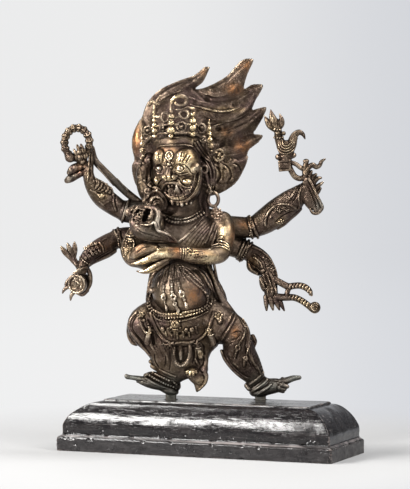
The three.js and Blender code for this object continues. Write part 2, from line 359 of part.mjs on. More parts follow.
const bronze = new THREE.MeshStandardMaterial({ color: 0x5b4a35, roughness: 0.38, metalness: 0.9 });
const blackWood = new THREE.MeshStandardMaterial({ color: 0x141213, roughness: 0.35, metalness: 0.0 });

const figureSolid = Manifold.union(cast);

// ---- plinth -----------------------------------------------------------------------------------
// level sections of the plinth from the floor up: [half length, half width, x of the centre, z]
const sections = [];
sections.push([BASE_L / 2 - 0.6, BASE_W / 2 - 0.6, 0, 0], [BASE_L / 2, BASE_W / 2, 0, 0.8], [BASE_L / 2, BASE_W / 2, 0, BASE_H]);
const mL = BASE_L / 2 - BASE_STEP, mW = BASE_W / 2 - BASE_STEP, pL = TOP_L / 2 + 2, pW = TOP_W / 2 + 2, mZ = BASE_H + BASE_BEVEL;
sections.push([mL + 0.4, mW + 0.4, MOULD_SHIFT, mZ], [mL, mW, MOULD_SHIFT, mZ + 0.6], [mL, mW, MOULD_SHIFT, mZ + OVOLO_FOOT]);
for (let i = 1; i <= 9; i++) {       // ovolo: a flattened quarter round, longer at the ends than at the front
  const q = i / 9 * Math.PI / 2, c = Math.cos(q) ** (2 / OVOLO_P), s = Math.sin(q) ** (2 / OVOLO_P);
  sections.push([pL + (mL - pL) * c, pW + (mW - pW) * c, TOP_SHIFT + (MOULD_SHIFT - TOP_SHIFT) * c, mZ + OVOLO_FOOT + (TOP_H - PANEL_T - mZ - OVOLO_FOOT) * s]);
}
sections.push([TOP_L / 2, TOP_W / 2, TOP_SHIFT, TOP_H - PANEL_T + 0.05], [TOP_L / 2, TOP_W / 2, TOP_SHIFT, TOP_H - 0.5], [TOP_L / 2 - 0.6, TOP_W / 2 - 0.6, TOP_SHIFT, TOP_H]);
function stack(rows) {
  const pos = [], idx = [];
  for (const [a, b, x, z] of rows) pos.push(x - a, -b, z, x + a, -b, z, x + a, b, z, x - a, b, z);
  for (let i = 0; i < rows.length - 1; i++) for (let k = 0; k < 4; k++) {
    const a = i * 4 + k, b = i * 4 + (k + 1) % 4, c = a + 4, d = b + 4;
    idx.push(a, b, d, a, d, c);
  }
  const l = (rows.length - 1) * 4;
  idx.push(0, 2, 1, 0, 3, 2, l, l + 1, l + 2, l, l + 2, l + 3);
  const g = new THREE.BufferGeometry();
  g.setAttribute('position', new THREE.Float32BufferAttribute(pos, 3));
  g.setIndex(idx);
  return toManifold(g);
}
const yaw = FIGURE_YAW * Math.PI / 180, cy = Math.cos(yaw), sy = Math.sin(yaw);
let plinthSolid = stack(sections);
for (const t of [TENON_A, TENON_B]) {
  const x = t[0] * cy - t[1] * sy, y = t[0] * sy + t[1] * cy;
  plinthSolid = plinthSolid.subtract(box([x, y, TOP_H - MORTISE_D + 15], [TENON_W + 2 * MORTISE_GAP, TENON_T + 2 * MORTISE_GAP, 30], FIGURE_YAW));
}

const model = new THREE.Group();
model.add(fromManifold(plinthSolid, blackWood, 'plinth'));
const turned = new THREE.Group();
turned.rotation.z = yaw;
turned.add(fromManifold(figureSolid, bronze, 'figure', SLIVER));
model.add(turned);

export default model;
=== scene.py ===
"""Looks of a cast-bronze, six-armed wrathful guardian on a black-painted wooden plinth.

The casting is modelled as distance fields: limbs, drapery and ornaments are swept and blended, relief is laid on
what is already there, and the skin is taken off with a level set. Everything is in the frame of the solids, in metres;
the casting is drawn in millimetres in its own frame, which is turned by YAW about Z.
"""
import math
import time

import bpy
import numpy as np
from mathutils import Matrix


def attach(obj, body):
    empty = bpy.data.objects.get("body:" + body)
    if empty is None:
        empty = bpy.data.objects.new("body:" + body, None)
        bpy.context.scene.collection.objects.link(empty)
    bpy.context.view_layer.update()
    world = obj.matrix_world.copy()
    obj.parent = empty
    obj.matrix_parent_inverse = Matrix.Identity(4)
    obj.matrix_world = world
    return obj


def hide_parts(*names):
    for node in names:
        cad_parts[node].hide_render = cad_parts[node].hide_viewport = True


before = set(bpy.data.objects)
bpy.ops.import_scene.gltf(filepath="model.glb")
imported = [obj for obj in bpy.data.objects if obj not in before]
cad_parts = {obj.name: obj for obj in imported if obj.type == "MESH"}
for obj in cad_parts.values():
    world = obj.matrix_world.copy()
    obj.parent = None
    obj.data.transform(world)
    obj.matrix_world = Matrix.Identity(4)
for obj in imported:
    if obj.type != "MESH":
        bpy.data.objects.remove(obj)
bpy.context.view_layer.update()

import openvdb
from mathutils import Matrix, Vector

T0 = time.time()
F32 = np.float32

# ---- camera of the photograph (millimetres, 410 x 489 frame) ------------------------------------
AZ, EL, DIST, FOC = math.radians(22.4), math.radians(1.81), 2400.0, 2376.0
AIM = np.array([-5.0, 0.0, 209.8])
BACK = np.array([math.sin(AZ) * math.cos(EL), -math.cos(AZ) * math.cos(EL), math.sin(EL)])
CAM = AIM + BACK * DIST
FWD = -BACK
RIGHT = np.cross(FWD, [0, 0, 1.0]); RIGHT /= np.linalg.norm(RIGHT)
UP = np.cross(RIGHT, FWD)
YAW = AZ
TURN = np.array([[math.cos(YAW), math.sin(YAW), 0], [-math.sin(YAW), math.cos(YAW), 0], [0, 0, 1.0]])   # row frame to the casting's own
HZ = np.array([math.sin(AZ), -math.cos(AZ), 0])


def rays(px, py):
    px, py = np.atleast_1d(px), np.atleast_1d(py)
    return FWD + RIGHT * ((px - 205.0) / FOC)[:, None] - UP * ((py - 244.5) / FOC)[:, None]


def P(px, py, dep, *extra):
    """The point of the casting seen at that place of the frame, dep millimetres in front of its middle plane."""
    r = rays(px, py)[0]
    t = (dep - CAM @ HZ) / (r @ HZ)
    return (*(TURN @ (CAM + r * t)), *extra)


def A(p):
    return np.array(p, float)


# ---- curves ------------------------------------------------------------------------------------
def smooth(pts, step):
    """Catmull-Rom through stations of any width, about step apart."""
    p = np.array(pts, float)
    if len(p) < 2:
        return p
    out = []
    q = np.vstack([2 * p[0] - p[1], p, 2 * p[-1] - p[-2]])
    for i in range(len(p) - 1):
        a, b, c, d = q[i:i + 4]
        n = max(1, int(math.ceil(np.linalg.norm((c - b)[:3]) / step)))
        t = np.arange(n)[:, None] / n
        out.append(0.5 * (2 * b + (c - a) * t + (2 * a - 5 * b + 4 * c - d) * t * t + (3 * b - a - 3 * c + d) * t ** 3))
    out.append(p[-1:])
    return np.vstack(out)


def spaced(pts, pitch):
    """Points at an even pitch along a polyline of any width."""
    p = np.asarray(pts, float)
    d = np.linalg.norm(np.diff(p[:, :min(3, p.shape[1])], axis=0), axis=1)
    s = np.concatenate([[0], np.cumsum(d)])
    n = max(1, int(round(s[-1] / pitch)))
    u = np.linspace(0, s[-1], n + 1)
    return np.stack([np.interp(u, s, p[:, k]) for k in range(p.shape[1])], 1)


def rot(ax=0, ay=0, az=0):
    return np.array(Matrix.Rotation(math.radians(az), 3, "Z") @ Matrix.Rotation(math.radians(ay), 3, "Y") @ Matrix.Rotation(math.radians(ax), 3, "X"))


# ---- distance field -------------------------------------------------------------------------------
THIN, SHALLOW = 0.74, 0.72      # factors on the relief lines' radii and the channels' depths


class Field:
    def __init__(s, lo, hi, h, clip=5.0):
        s.h, s.clip = h, clip
        s.lo = np.array(lo, float)
        s.n = np.ceil((np.array(hi, float) - s.lo) / h).astype(int) + 1
        s.d = np.full(s.n, clip, F32)
        s.ax = [(s.lo[i] + np.arange(s.n[i]) * h).astype(F32) for i in range(3)]

    def cut(s, lo, hi, pad=0.0):
        a = np.clip(np.floor((np.array(lo) - pad - s.lo) / s.h).astype(int), 0, s.n)
        b = np.clip(np.ceil((np.array(hi) + pad - s.lo) / s.h).astype(int) + 1, 0, s.n)
        if (b <= a).any():
            return None
        return tuple(slice(i, j) for i, j in zip(a, b))

    def xyz(s, sl):
        return s.ax[0][sl[0]][:, None, None], s.ax[1][sl[1]][None, :, None], s.ax[2][sl[2]][None, None, :]

    def put(s, sl, f, k=0.0):
        d = s.d[sl]
        if k > 0:
            h = np.clip(0.5 + 0.5 * (d - f) / k, 0, 1)
            d += (f - d) * h - k * h * (1 - h)
        else:
            np.minimum(d, f, out=d)

    def dig(s, sl, f, k=0.0):
        d = s.d[sl]
        if k > 0:
            h = np.clip(0.5 - 0.5 * (d + f) / k, 0, 1)
            d += (-f - d) * h + k * h * (1 - h)
        else:
            np.maximum(d, -f, out=d)

    def tube(s, st, ref=(0, 1, 0), step=None):
        """Field of a chain of stations [x, y, z, half-width, (half-depth)], as (slices, array)."""
        st = np.array([(*p[:3], p[3], p[4] if len(p) > 4 else p[3]) for p in st], float)
        if step is None:
            step = max(1.2, min(4.0, float(np.median(st[:, 3])) * 0.45))
        q = smooth(st, step)
        q[:, 3:] = np.maximum(q[:, 3:], 0.3)
        pad = s.h * 2 + 1.5
        r = q[:, 3:].max(axis=1)
        sl = s.cut((q[:, :3] - r[:, None]).min(axis=0), (q[:, :3] + r[:, None]).max(axis=0), pad)
        if sl is None:
            return None
        base = np.array([x.start for x in sl])
        out = np.full([x.stop - x.start for x in sl], s.clip, F32)
        ref = np.array(ref, float)
        for a, b in zip(q[:-1], q[1:]):
            v = b[:3] - a[:3]
            L = float(np.linalg.norm(v))
            if L < 1e-6:
                continue
            T = v / L
            B = ref - T * (ref @ T)
            if np.linalg.norm(B) < 0.05:
                B = np.array([1.0, 0, 0]) - T * T[0]
            B /= np.linalg.norm(B)
            N = np.cross(T, B)
            m = max(a[3:].max(), b[3:].max())
            w = s.cut(np.minimum(a[:3], b[:3]) - m, np.maximum(a[:3], b[:3]) + m, pad)
            if w is None:
                continue
            X, Y, Z = s.xyz(w)
            X, Y, Z = X - F32(a[0]), Y - F32(a[1]), Z - F32(a[2])
            lin = lambda k: X * F32(k[0]) + Y * F32(k[1]) + Z * F32(k[2])
            al = lin(T)
            t = np.clip(al / F32(L), 0, 1)
            e = al - t * F32(L)
            if abs(a[3] - a[4]) < 1e-3 and abs(b[3] - b[4]) < 1e-3:
                f = np.sqrt(lin(N) ** 2 + lin(B) ** 2 + e * e) - (F32(a[3]) + F32(b[3] - a[3]) * t)
            else:
                ra, rb = F32(a[3]) + F32(b[3] - a[3]) * t, F32(a[4]) + F32(b[4] - a[4]) * t
                rm = np.minimum(ra, rb)
                u, v2, e2 = (lin(N) / ra) ** 2, (lin(B) / rb) ** 2, (e / rm) ** 2
                f = np.sqrt(u + v2 + e2)
                g = np.sqrt(u / ra ** 2 + v2 / rb ** 2 + e2 / rm ** 2)
                f = np.where(f < 0.05, -rm, f * (f - 1) / np.maximum(g, 1e-6))
            loc = tuple(slice(x.start - o, x.stop - o) for x, o in zip(w, base))
            # clip the window to the output block
            loc = tuple(slice(max(0, l.start), min(n, l.stop)) for l, n in zip(loc, out.shape))
            sub = tuple(slice(l.start + o - x.start, l.stop + o - x.start) for l, o, x in zip(loc, base, w))
            if any(l.stop <= l.start for l in loc):
                continue
            np.minimum(out[loc], f[sub], out=out[loc])
        return sl, out

    def sweep(s, st, k=0.0, ref=(0, 1, 0), dig=False, step=None):
        r = s.tube(st, ref, step)
        if r is not None:
            (s.dig if dig else s.put)(r[0], r[1], k)

    def ell(s, c, r, R=None, k=0.0, dig=False):
        c, r = np.array(c[:3], float), np.array(r if np.ndim(r) else (r, r, r), float)
        m = r.max()
        R = np.eye(3) if R is None else R
        ext = np.sqrt(((R * r) ** 2).sum(axis=1))
        sl = s.cut(c - ext, c + ext, s.h * 2 + max(1.5, k))
        if sl is None:
            return
        X, Y, Z = s.xyz(sl)
        X, Y, Z = X - F32(c[0]), Y - F32(c[1]), Z - F32(c[2])
        q = [(X * F32(R[0, i]) + Y * F32(R[1, i]) + Z * F32(R[2, i])) / F32(r[i]) for i in range(3)]
        f = np.sqrt(q[0] ** 2 + q[1] ** 2 + q[2] ** 2)
        g = np.sqrt((q[0] / F32(r[0])) ** 2 + (q[1] / F32(r[1])) ** 2 + (q[2] / F32(r[2])) ** 2)
        f = np.where(f < 0.05, -F32(r.min()), f * (f - 1) / np.maximum(g, 1e-6))
        (s.dig if dig else s.put)(sl, f, k)

    def box(s, c, half, R=None, rnd=0.5, k=0.0, dig=False):
        c, half = np.array(c[:3], float), np.array(half, float)
        R = np.eye(3) if R is None else R
        ext = np.abs(R) @ half
        sl = s.cut(c - ext, c + ext, s.h * 2 + max(1.5, k))
        if sl is None:
            return
        X, Y, Z = s.xyz(sl)
        X, Y, Z = X - F32(c[0]), Y - F32(c[1]), Z - F32(c[2])
        q = [np.abs(X * F32(R[0, i]) + Y * F32(R[1, i]) + Z * F32(R[2, i])) - F32(half[i] - rnd) for i in range(3)]
        f = np.sqrt(np.maximum(q[0], 0) ** 2 + np.maximum(q[1], 0) ** 2 + np.maximum(q[2], 0) ** 2) + np.minimum(np.maximum(np.maximum(q[0], q[1]), q[2]), 0) - F32(rnd)
        (s.dig if dig else s.put)(sl, f, k)

    def disc(s, c, rad, half, R, rnd=0.5, k=0.0, dig=False):
        """Rounded cylinder about the local y axis."""
        c = np.array(c[:3], float)
        sl = s.cut(c - rad - half, c + rad + half, s.h * 2 + max(1.5, k))
        if sl is None:
            return
        X, Y, Z = s.xyz(sl)
        X, Y, Z = X - F32(c[0]), Y - F32(c[1]), Z - F32(c[2])
        q = [X * F32(R[0, i]) + Y * F32(R[1, i]) + Z * F32(R[2, i]) for i in range(3)]
        u, v = np.sqrt(q[0] ** 2 + q[2] ** 2) - F32(rad - rnd), np.abs(q[1]) - F32(half - rnd)
        f = np.sqrt(np.maximum(u, 0) ** 2 + np.maximum(v, 0) ** 2) + np.minimum(np.maximum(u, v), 0) - F32(rnd)
        (s.dig if dig else s.put)(sl, f, k)

    def ring(s, c, R1, R2, r, R=None, k=0.0, dig=False):
        """Torus in the frontal plane, half-width R1 and half-height R2."""
        a = np.linspace(0, 2 * math.pi, max(16, int(6 * (R1 + R2) / max(r, 1))) + 1)
        M = np.eye(3) if R is None else R
        pts = [(*(np.array(c[:3]) + M @ np.array([R1 * math.cos(t), 0, R2 * math.sin(t)])), r) for t in a]
        s.sweep(pts, k, dig=dig, step=99)

    # -- reading the field
    def at(s, p):
        """Trilinear value at points (n, 3)."""
        g = (np.asarray(p, float) - s.lo) / s.h
        g = np.clip(g, 0, s.n - 1.001)
        i = g.astype(int)
        f = g - i
        out = 0
        for dx in (0, 1):
            for dy in (0, 1):
                for dz in (0, 1):
                    w = (f[:, 0] if dx else 1 - f[:, 0]) * (f[:, 1] if dy else 1 - f[:, 1]) * (f[:, 2] if dz else 1 - f[:, 2])
                    out = out + w * s.d[i[:, 0] + dx, i[:, 1] + dy, i[:, 2] + dz]
        return out

    def grad(s, p):
        p = np.asarray(p, float)
        e = s.h
        g = np.stack([s.at(p + e * np.eye(3)[k]) - s.at(p - e * np.eye(3)[k]) for k in range(3)], 1)
        return g / np.maximum(np.linalg.norm(g, axis=1), 1e-6)[:, None]

    def seen(s, pix, near=75.0, far=-55.0):
        """First surface points and normals met by the frame's rays at pix (n, 2), with a mark for those that miss."""
        pix = np.atleast_2d(np.array(pix, float))[:, :2]
        r = rays(pix[:, 0], pix[:, 1])
        h = r @ HZ
        st = np.arange(near, far, math.copysign(s.h * 0.8, far - near))
        t = (st[None, :] - CAM @ HZ) / h[:, None]
        pts = (CAM + r[:, None, :] * t[..., None]) @ TURN.T
        v = s.at(pts.reshape(-1, 3)).reshape(len(pix), -1)
        inside = v < 0
        hit = inside.any(axis=1)
        j = np.where(hit, inside.argmax(axis=1), len(st) - 1)
        j0 = np.maximum(j - 1, 0)
        i = np.arange(len(pix))
        v0, v1 = v[i, j0], v[i, j]
        w = np.where(v0 - v1 > 1e-6, v0 / np.maximum(v0 - v1, 1e-6), 0)
        p = pts[i, j0] * (1 - w)[:, None] + pts[i, j] * w[:, None]
        return p, s.grad(p), hit

    # -- relief laid on what is there; pix is a list of (px, py)
    def lay(s, pix, r, lift=0.3, k=0.0, near=75.0, far=-55.0, taper=False, step=1.6, even=7, flat=1.0):
        p = spaced(smooth([(*q[:2], 0.0) for q in pix], 1.0), step)
        q, n, hit = s.seen(p[:, :2], near, far)
        q, n = q[hit], n[hit]
        if len(q) < 2:
            return
        r *= THIN
        c = q + n * (r * lift)
        if even > 1 and len(c) > even:
            ker = np.ones(even) / even
            pad = even // 2
            for ax in range(3):
                e = np.concatenate([np.full(pad, c[0, ax]), c[:, ax], np.full(pad, c[-1, ax])])
                c[:, ax] = np.convolve(e, ker, "valid")
        rad = np.full(len(c), float(r))
        if taper:
            t = np.linspace(0, 1, len(c))
            rad *= np.clip(np.minimum(t, 1 - t) * 5, 0.35, 1)
        s.sweep([(*a, b, b * flat) for a, b in zip(c, rad)], k, step=99)

    def groove(s, pix, w=0.9, deep=0.8, near=75.0, far=-55.0, k=0.4, taper=True):
        """A channel w wide to each side and deep, along pix."""
        p = spaced(smooth([(*q[:2], 0.0) for q in pix], 1.0), 1.2)
        q, n, hit = s.seen(p[:, :2], near, far)
        q, n = q[hit], n[hit]
        if len(q) < 2:
            return
        t = np.linspace(0, 1, len(q))
        dd = deep * SHALLOW * (np.clip(np.minimum(t, 1 - t) * 6, 0.1, 1) if taper else 1)
        r = w
        c = q + n * (r - np.broadcast_to(dd, len(q)))[:, None]
        s.sweep([(*a, r) for a in c], k, dig=True, step=99)

    def beads(s, pix, r, pitch=None, lift=0.45, near=75.0, far=-55.0, k=0.0, even=5, sizes=None):
        p = spaced(smooth([(*q[:2], 0.0) for q in pix], 1.0), pitch or 2.05 * r)
        q, n, hit = s.seen(p[:, :2], near, far)
        for i, (a, b) in enumerate(zip(q[hit], n[hit])):
            rr = r if sizes is None else r * sizes[i % len(sizes)]
            s.ell(a + b * rr * lift, rr, k=k)

    def skin(s, adaptivity=0.0):
        g = openvdb.FloatGrid(background=float(s.clip))
        g.copyFromArray(np.clip(s.d, -s.clip, s.clip).astype(F32), tolerance=0.0)
        p, t, q = g.convertToPolygons(isovalue=0.0, adaptivity=adaptivity)
        return p.astype(float) * s.h + s.lo, t, q


def window(px0, px1, py0, py1, dep0, dep1):
    """Corners of a grid that takes in that part of the frame between two depths."""
    q = np.array([P(x, y, d) for x in (px0, px1) for y in (py0, py1) for d in (dep0, dep1)])
    return q.min(axis=0), q.max(axis=0)


COARSE = 1.0

# =================================================================================================
# trunk, legs, skirt and feet
# =================================================================================================
b = Field(*window(116, 306, 196, 404, -34, 58), 0.6 * COARSE)

b.ell(P(188, 240, 2), (33, 20, 28))                                             # chest
b.sweep([P(186, 232, 0, 22, 15), P(186, 216, 0, 17, 13), P(182, 196, 2, 14, 12)], 5)   # neck
b.ell(P(222, 225, 1), (12, 12, 12), k=6)                                         # shoulders
b.ell(P(150, 222, 0), (12, 13, 13), k=6)
b.sweep([P(184, 226, -14, 30, 8), P(182, 262, -14, 30.5, 9), P(182, 278, -14, 34.5, 10), P(184, 294, -12, 39.5, 12), P(187, 310, -8, 41.5, 14),
         P(187, 330, -8, 34, 15), P(185, 350, -8, 24, 12)], 5)                   # hide over the back
b.ell(P(181.5, 290, 15), (29.5, 28, 27.5), k=5)                                  # belly
b.ell(P(182, 322, 8), (30, 26, 20), k=5)                                         # hips

# right leg of the figure (left in the frame), left leg, skirt
b.sweep([P(166, 316, 0, 20), P(152, 319, 9, 18), P(142.5, 323.6, 13, 15), P(142.8, 332.4, 12, 13), P(155.4, 345.6, 9, 12), P(163.6, 361, 5, 10.6),
         P(168, 375, 0, 9), P(171, 384, -3, 7)], 3)
b.sweep([P(204, 320, 0, 24), P(222, 326, 5, 18.5), P(234, 331, 9, 15), P(237, 341, 10, 15, 14), P(240, 353, 8, 16, 13), P(247.4, 365, 4, 14, 11),
         P(254.6, 377, 0, 10.4, 9), P(257, 388, -3, 8, 8)], 3)
b.sweep([P(180, 322, 8, 32, 18), P(182, 342, 10, 31.5, 17), P(180, 356, 9, 27, 14), P(177, 368, 8, 21, 10), P(176, 376, 6, 9, 7)], 3)


def both(st, d):
    return [(*p[:3], *(v + d for v in p[3:])) for p in st]


# gathers of the drapery that fall from beneath the forearm
for st, r in [([(171, 262), (161, 270), (154, 281), (150, 295), (150, 306)], 1.9), ([(173, 263), (166, 271), (160, 280), (156.5, 288)], 1.5),
              ([(170, 263), (157, 269.5), (149.8, 280), (147.5, 292), (147.3, 303)], 1.6),
              ([(174.5, 264), (171, 272), (167.5, 281)], 1.2), ([(177, 264), (176, 271), (174, 277)], 1.2),
              ([(184, 266), (193, 272), (201, 281), (206, 293), (206.5, 305)], 1.5), ([(189, 266), (199, 270.5), (206.5, 281), (210.5, 293), (211, 306)], 1.9),
              ([(198, 266), (205, 272), (211, 283), (214.5, 296), (214.5, 308)], 1.7), ([(204.6, 265), (209.6, 273), (214.4, 285), (219, 297), (223.6, 308)], 1.7)]:
    b.lay(st, r, lift=-0.15, k=1.0, taper=True, even=11)
for st, w, d in [([(171, 264), (158, 275), (152.6, 288), (152, 304)], 0.8, 1.1), ([(172.5, 265), (163, 275), (158, 287)], 0.7, 0.9),
                 ([(205, 268), (211.5, 279), (216, 291), (219.5, 304)], 1.3, 2.0), ([(196, 268), (203.5, 278), (208.6, 291), (209.3, 305)], 0.8, 1.1),
                 ([(176, 266), (172.5, 277), (170, 283)], 0.7, 0.8), ([(180, 266), (183, 273), (190, 282)], 0.8, 0.8)]:
    b.groove(st, w, d)
for st, r in (([(168, 264), (164.6, 271), (163, 279)], 1.1), ([(172.2, 263.6), (170.6, 271), (169.4, 280)], 1.0), ([(176.4, 263.6), (177.4, 271), (179, 278)], 1.1), ([(180.6, 264), (184, 271), (189, 279)], 1.0)):
    b.lay(st, r, lift=0.2, k=0.5, taper=True)
for st in ([(170.2, 264.4), (167.8, 272), (166.6, 283)], [(174.4, 264.6), (174, 273), (174.8, 282)], [(178.6, 264.6), (181, 272), (184.6, 280)], [(166, 266), (160.6, 275), (158.6, 284)]):
    b.groove(st, 0.8, 1.5)
# loose edge of the hide down the right flank, passing into the thigh
b.sweep([P(207.6, 266, 6, 2.2), P(212.8, 277, 6, 2.6), P(216.8, 288, 6, 3.0), P(222, 299, 4, 3.4), P(228, 308.6, 2, 4.2), P(234.6, 319.4, 1, 5.2)], 2.2)
b.groove([(213, 271), (217, 281), (222.5, 293)], 0.9, 1.1)

# three strings of pendants on the belly, each with a ring, and two lines of fine beads beside them
for st, k0 in (([(164.4, 281.5), (163.3, 287.4), (163.5, 292.6), (163.8, 297), (164.9, 303), (166.7, 310)], 0.9), ([(171.2, 279.6), (171.5, 286), (172, 292.6), (173.3, 298), (174.8, 303.4), (176.6, 308.4), (178.6, 312.6)], 1.1),
               ([(176.8, 278.4), (178.6, 284.7), (179.9, 289.3), (181.5, 294), (184, 299.4), (186.6, 307)], 1.05)):
    b.lay(st, 1.5 * k0, lift=0.2, k=0.5, even=3)
    b.beads(st, 1.2 * k0, 2.5, lift=0.8, k=0.1, sizes=(1, 0.75, 1.15))
for c, R1, R2, r in [((163.6, 297), 2.0, 2.4, 0.85), ((173.3, 297.9), 2.4, 2.7, 0.95), ((181.5, 294), 2.4, 2.7, 0.95), ((174.8, 303.8), 1.4, 1.7, 0.7)]:
    q, n, _ = b.seen([c])
    b.ell(q[0] - n[0] * 0.6, (R1 + 0.7, 1.5, R2 + 0.7))
    b.ring(q[0] + n[0] * 0.6, R1, R2, r)
    b.ell(q[0] + n[0] * 1.0, (R1 * 0.55, 1.7, R2 * 0.55), dig=True)
for c, w in (((166.5, 308.6), 1.5), ((178.3, 310.6), 1.9), ((186.3, 305.8), 1.8)):
    q, n, _ = b.seen([c])
    b.ell(q[0] - n[0] * 0.2, (w, 1.5, 3.0))
for st in ([(178, 266), (185.1, 273.4), (192.9, 281.2), (200.7, 288.2), (206, 292.8)], [(181, 265.6), (188.6, 272.4), (196, 279.4), (202.6, 285.4)]):
    b.beads(st, 1.05, 2.15, lift=0.6)
b.beads([(206, 293), (207, 299.1), (205, 305.6), (201, 310.4)], 1.35, 2.65, lift=0.6)
b.beads([(207.9, 284.7), (211.6, 292), (212.3, 298.6), (210.8, 304.6), (207.6, 309.3)], 1.35, 2.65, lift=0.6)
b.lay([(200.7, 270.4), (204.7, 276.9), (207.9, 284.7), (211.8, 292), (212.4, 299), (210.6, 305)], 1.5, lift=0.0, k=0.9, taper=True)
q, n, _ = b.seen([(152.8, 290.4)])
b.ell(q[0] + n[0] * 0.9, 3.1, k=0.5)
b.ell(q[0] + n[0] * 0.2 + A((-3.4, 0, 0.5)), 1.9, k=0.5)
b.lay([(164, 263), (158.6, 270.4), (153.8, 279.4), (152.2, 287)], 1.6, lift=0.1, k=0.8, taper=True)
b.beads([(150.4, 294), (149.4, 299), (150.6, 304)], 1.0, 2.1, lift=0.45)

# belts: a gold bead rope over the hips, a finer one beneath it, hem of the apron
rope = [(148.6, 305.4), (153.8, 311.6), (161.6, 315.2), (170.7, 316.0), (181.2, 314.8), (191.6, 312.4), (200.7, 309.2), (208.2, 304.8)]
b.lay(rope, 2.2, lift=0.15, k=0.7)
b.beads([(x, y - 1.1) for x, y in rope], 1.4, 2.7, lift=0.9)
b.beads([(x, y + 1.5) for x, y in rope], 1.3, 2.7, lift=0.7)
b.groove([(149, 309.6), (155, 315.4), (163, 318.6), (172, 319.4), (182, 318.2), (193, 315.6), (203, 312), (210, 307.4)], 1.0, 1.1)
b.beads([(150.6, 312.6), (156.6, 318.6), (164, 321.4), (171, 322)], 0.85, 1.75, lift=0.4)
b.beads([(181, 321.2), (190, 319), (199, 316), (207.4, 311.6)], 0.85, 1.75, lift=0.4)
b.lay([(150.2, 312), (152.6, 321), (158.4, 333), (165.4, 340.8), (175, 344.4), (186, 344.2), (197.6, 340.6), (206, 333), (211.4, 321), (213.6, 312)], 1.9, lift=0.15, k=0.8)
b.lay([(153.4, 313), (156.2, 321), (161.4, 330.6), (168, 337.4)], 1.1, lift=0.0, k=0.8, taper=True)
b.groove([(151.8, 318), (156.6, 330.6), (164.6, 340.4), (175, 346.8), (187.4, 346.4), (199.8, 342)], 0.8, 1.1)
# mask boss in the middle of the belt, small skulls and drops to its sides
q, n, _ = b.seen([(175.5, 324.5)])
c = q[0] + n[0] * 0.4
b.ell(c, (5.2, 3.4, 5.6), k=0.5)
b.ring(c + n[0] * 2.6 + A((0, 0, 0.8)), 3.0, 2.8, 0.8)
for dx, dz in ((-1.8, 1.7), (1.8, 1.7)):
    b.ell(c + n[0] * 3.0 + A((dx, 0, dz)), 1.1)
b.ell(c + n[0] * 3.2 + A((0, 0, -0.6)), (0.9, 0.9, 1.2))
for dx in (-4.6, 4.6):
    b.ell(c + A((dx, -1.0, 3.6)), 1.2); b.ell(c + A((dx, -1.0, -3.4)), 1.2)
for dx in (-2.2, 0, 2.2):
    b.ell(c + A((dx, -2.8, -5.0)), 1.15)
for c, r in (((163.5, 328.5), 2.4), ((168.8, 328.6), 2.0), ((186, 329.6), 1.9), ((191.5, 329.2), 2.3)):
    q, n, _ = b.seen([c])
    o = q[0] + n[0] * r * 0.5
    b.ell(o, (r, r * 0.9, r * 1.1), k=0.4)
    for dx in (-0.9, 0.9):
        b.ell(o + n[0] * r * 0.8 + A((dx, 0, 0.4)), 0.62, dig=True)
for st, r in (([(165.5, 331.5), (166.5, 336)], 1.2), ([(171, 331), (172, 337)], 1.2), ([(177, 332), (177.5, 338.5)], 1.3), ([(183, 331.5), (183.5, 337)], 1.2), ([(189, 332), (189.5, 336.5)], 1.2), ([(195.5, 327), (197, 333)], 1.2)):
    b.lay(st, r, lift=0.3, k=0.3)
for c in ((172, 333.5), (180, 334), (186.5, 335)):
    q, n, _ = b.seen([c]); b.ell(q[0], (1.7, 2.2, 2.4), dig=True, k=0.5)
# flower boss on the right hip, with a ball beneath; knob on the left
for c, R, pet, hang in (((218.3, 315.8), 3.5, 7, (220, 321.6)), ((141.3, 315.3), 2.6, 6, (143.4, 320.5))):
    q, n, _ = b.seen([c])
    o = q[0] + n[0] * 0.6
    b.ell(o, (R * 0.9, 2.2, R * 0.9), k=0.5)
    for i in range(pet):
        a = 2 * math.pi * i / pet
        b.ell(o + n[0] * 1.2 + A((math.cos(a) * R, 0, math.sin(a) * R)), R * 0.43)
    b.ell(o + n[0] * 2.4, R * 0.36)
    q, n, _ = b.seen([hang])
    b.ell(q[0] + n[0] * 0.6, R * 0.72, k=0.4)

# skirt: tassels, hanging loop, folds
for top, foot, R in (((150.6, 326), (147.0, 341), 2.6), ((208.4, 329), (212.6, 342), 3.4), ((197, 342.6), (200.4, 355), 2.9)):
    b.beads([((top[0] * 2 + foot[0]) / 3 - 1, top[1] - 2), top], 1.1, 2.0, lift=0.6)
    q, n, _ = b.seen([top, foot])
    b.sweep([(*(q[0] + n[0] * 0.7), R * 0.5), (*((q[0] + q[1]) / 2 + n[0] * 1.4), R * 0.75), (*(q[1] + n[1] * 1.4), R * 1.08), (*(q[1] + n[1] * 1.0 - A((0, 0, 1.8))), R * 0.85)], 0.3)
    for dx in (-0.55, 0, 0.55):
        b.groove([(foot[0] + dx * R * 0.7, foot[1] - 3.4), (foot[0] + dx * R, foot[1] + 1.8)], 0.5, 0.8)
    for t in (0.05, 0.42):
        x, y = top[0] + (foot[0] - top[0]) * t, top[1] + (foot[1] - top[1]) * t
        b.lay([(x - R * 0.75, y - 0.2), (x, y + 0.5), (x + R * 0.75, y - 0.2)], 1.0, lift=1.2 + 0.4 * R / 2.4, k=0.2, even=1, step=0.8)
b.lay([(164, 344.4), (169, 345.6), (174, 342)], 2.0, lift=0.3, k=0.6)
b.beads([(163.6, 344.3), (166.7, 346.6), (170, 345)], 1.4, 3, lift=0.8)
for st, w, d in (([(159.5, 338), (164.5, 348), (166, 358), (164.5, 368)], 1.3, 1.0), ([(169.6, 350), (170.4, 361), (169, 372)], 1.0, 0.9), ([(152.5, 340), (158, 351), (160.5, 363)], 1.2, 0.9),
                 ([(201, 342), (205.5, 350), (204, 361)], 1.1, 0.9)):
    b.groove(st, w, d)
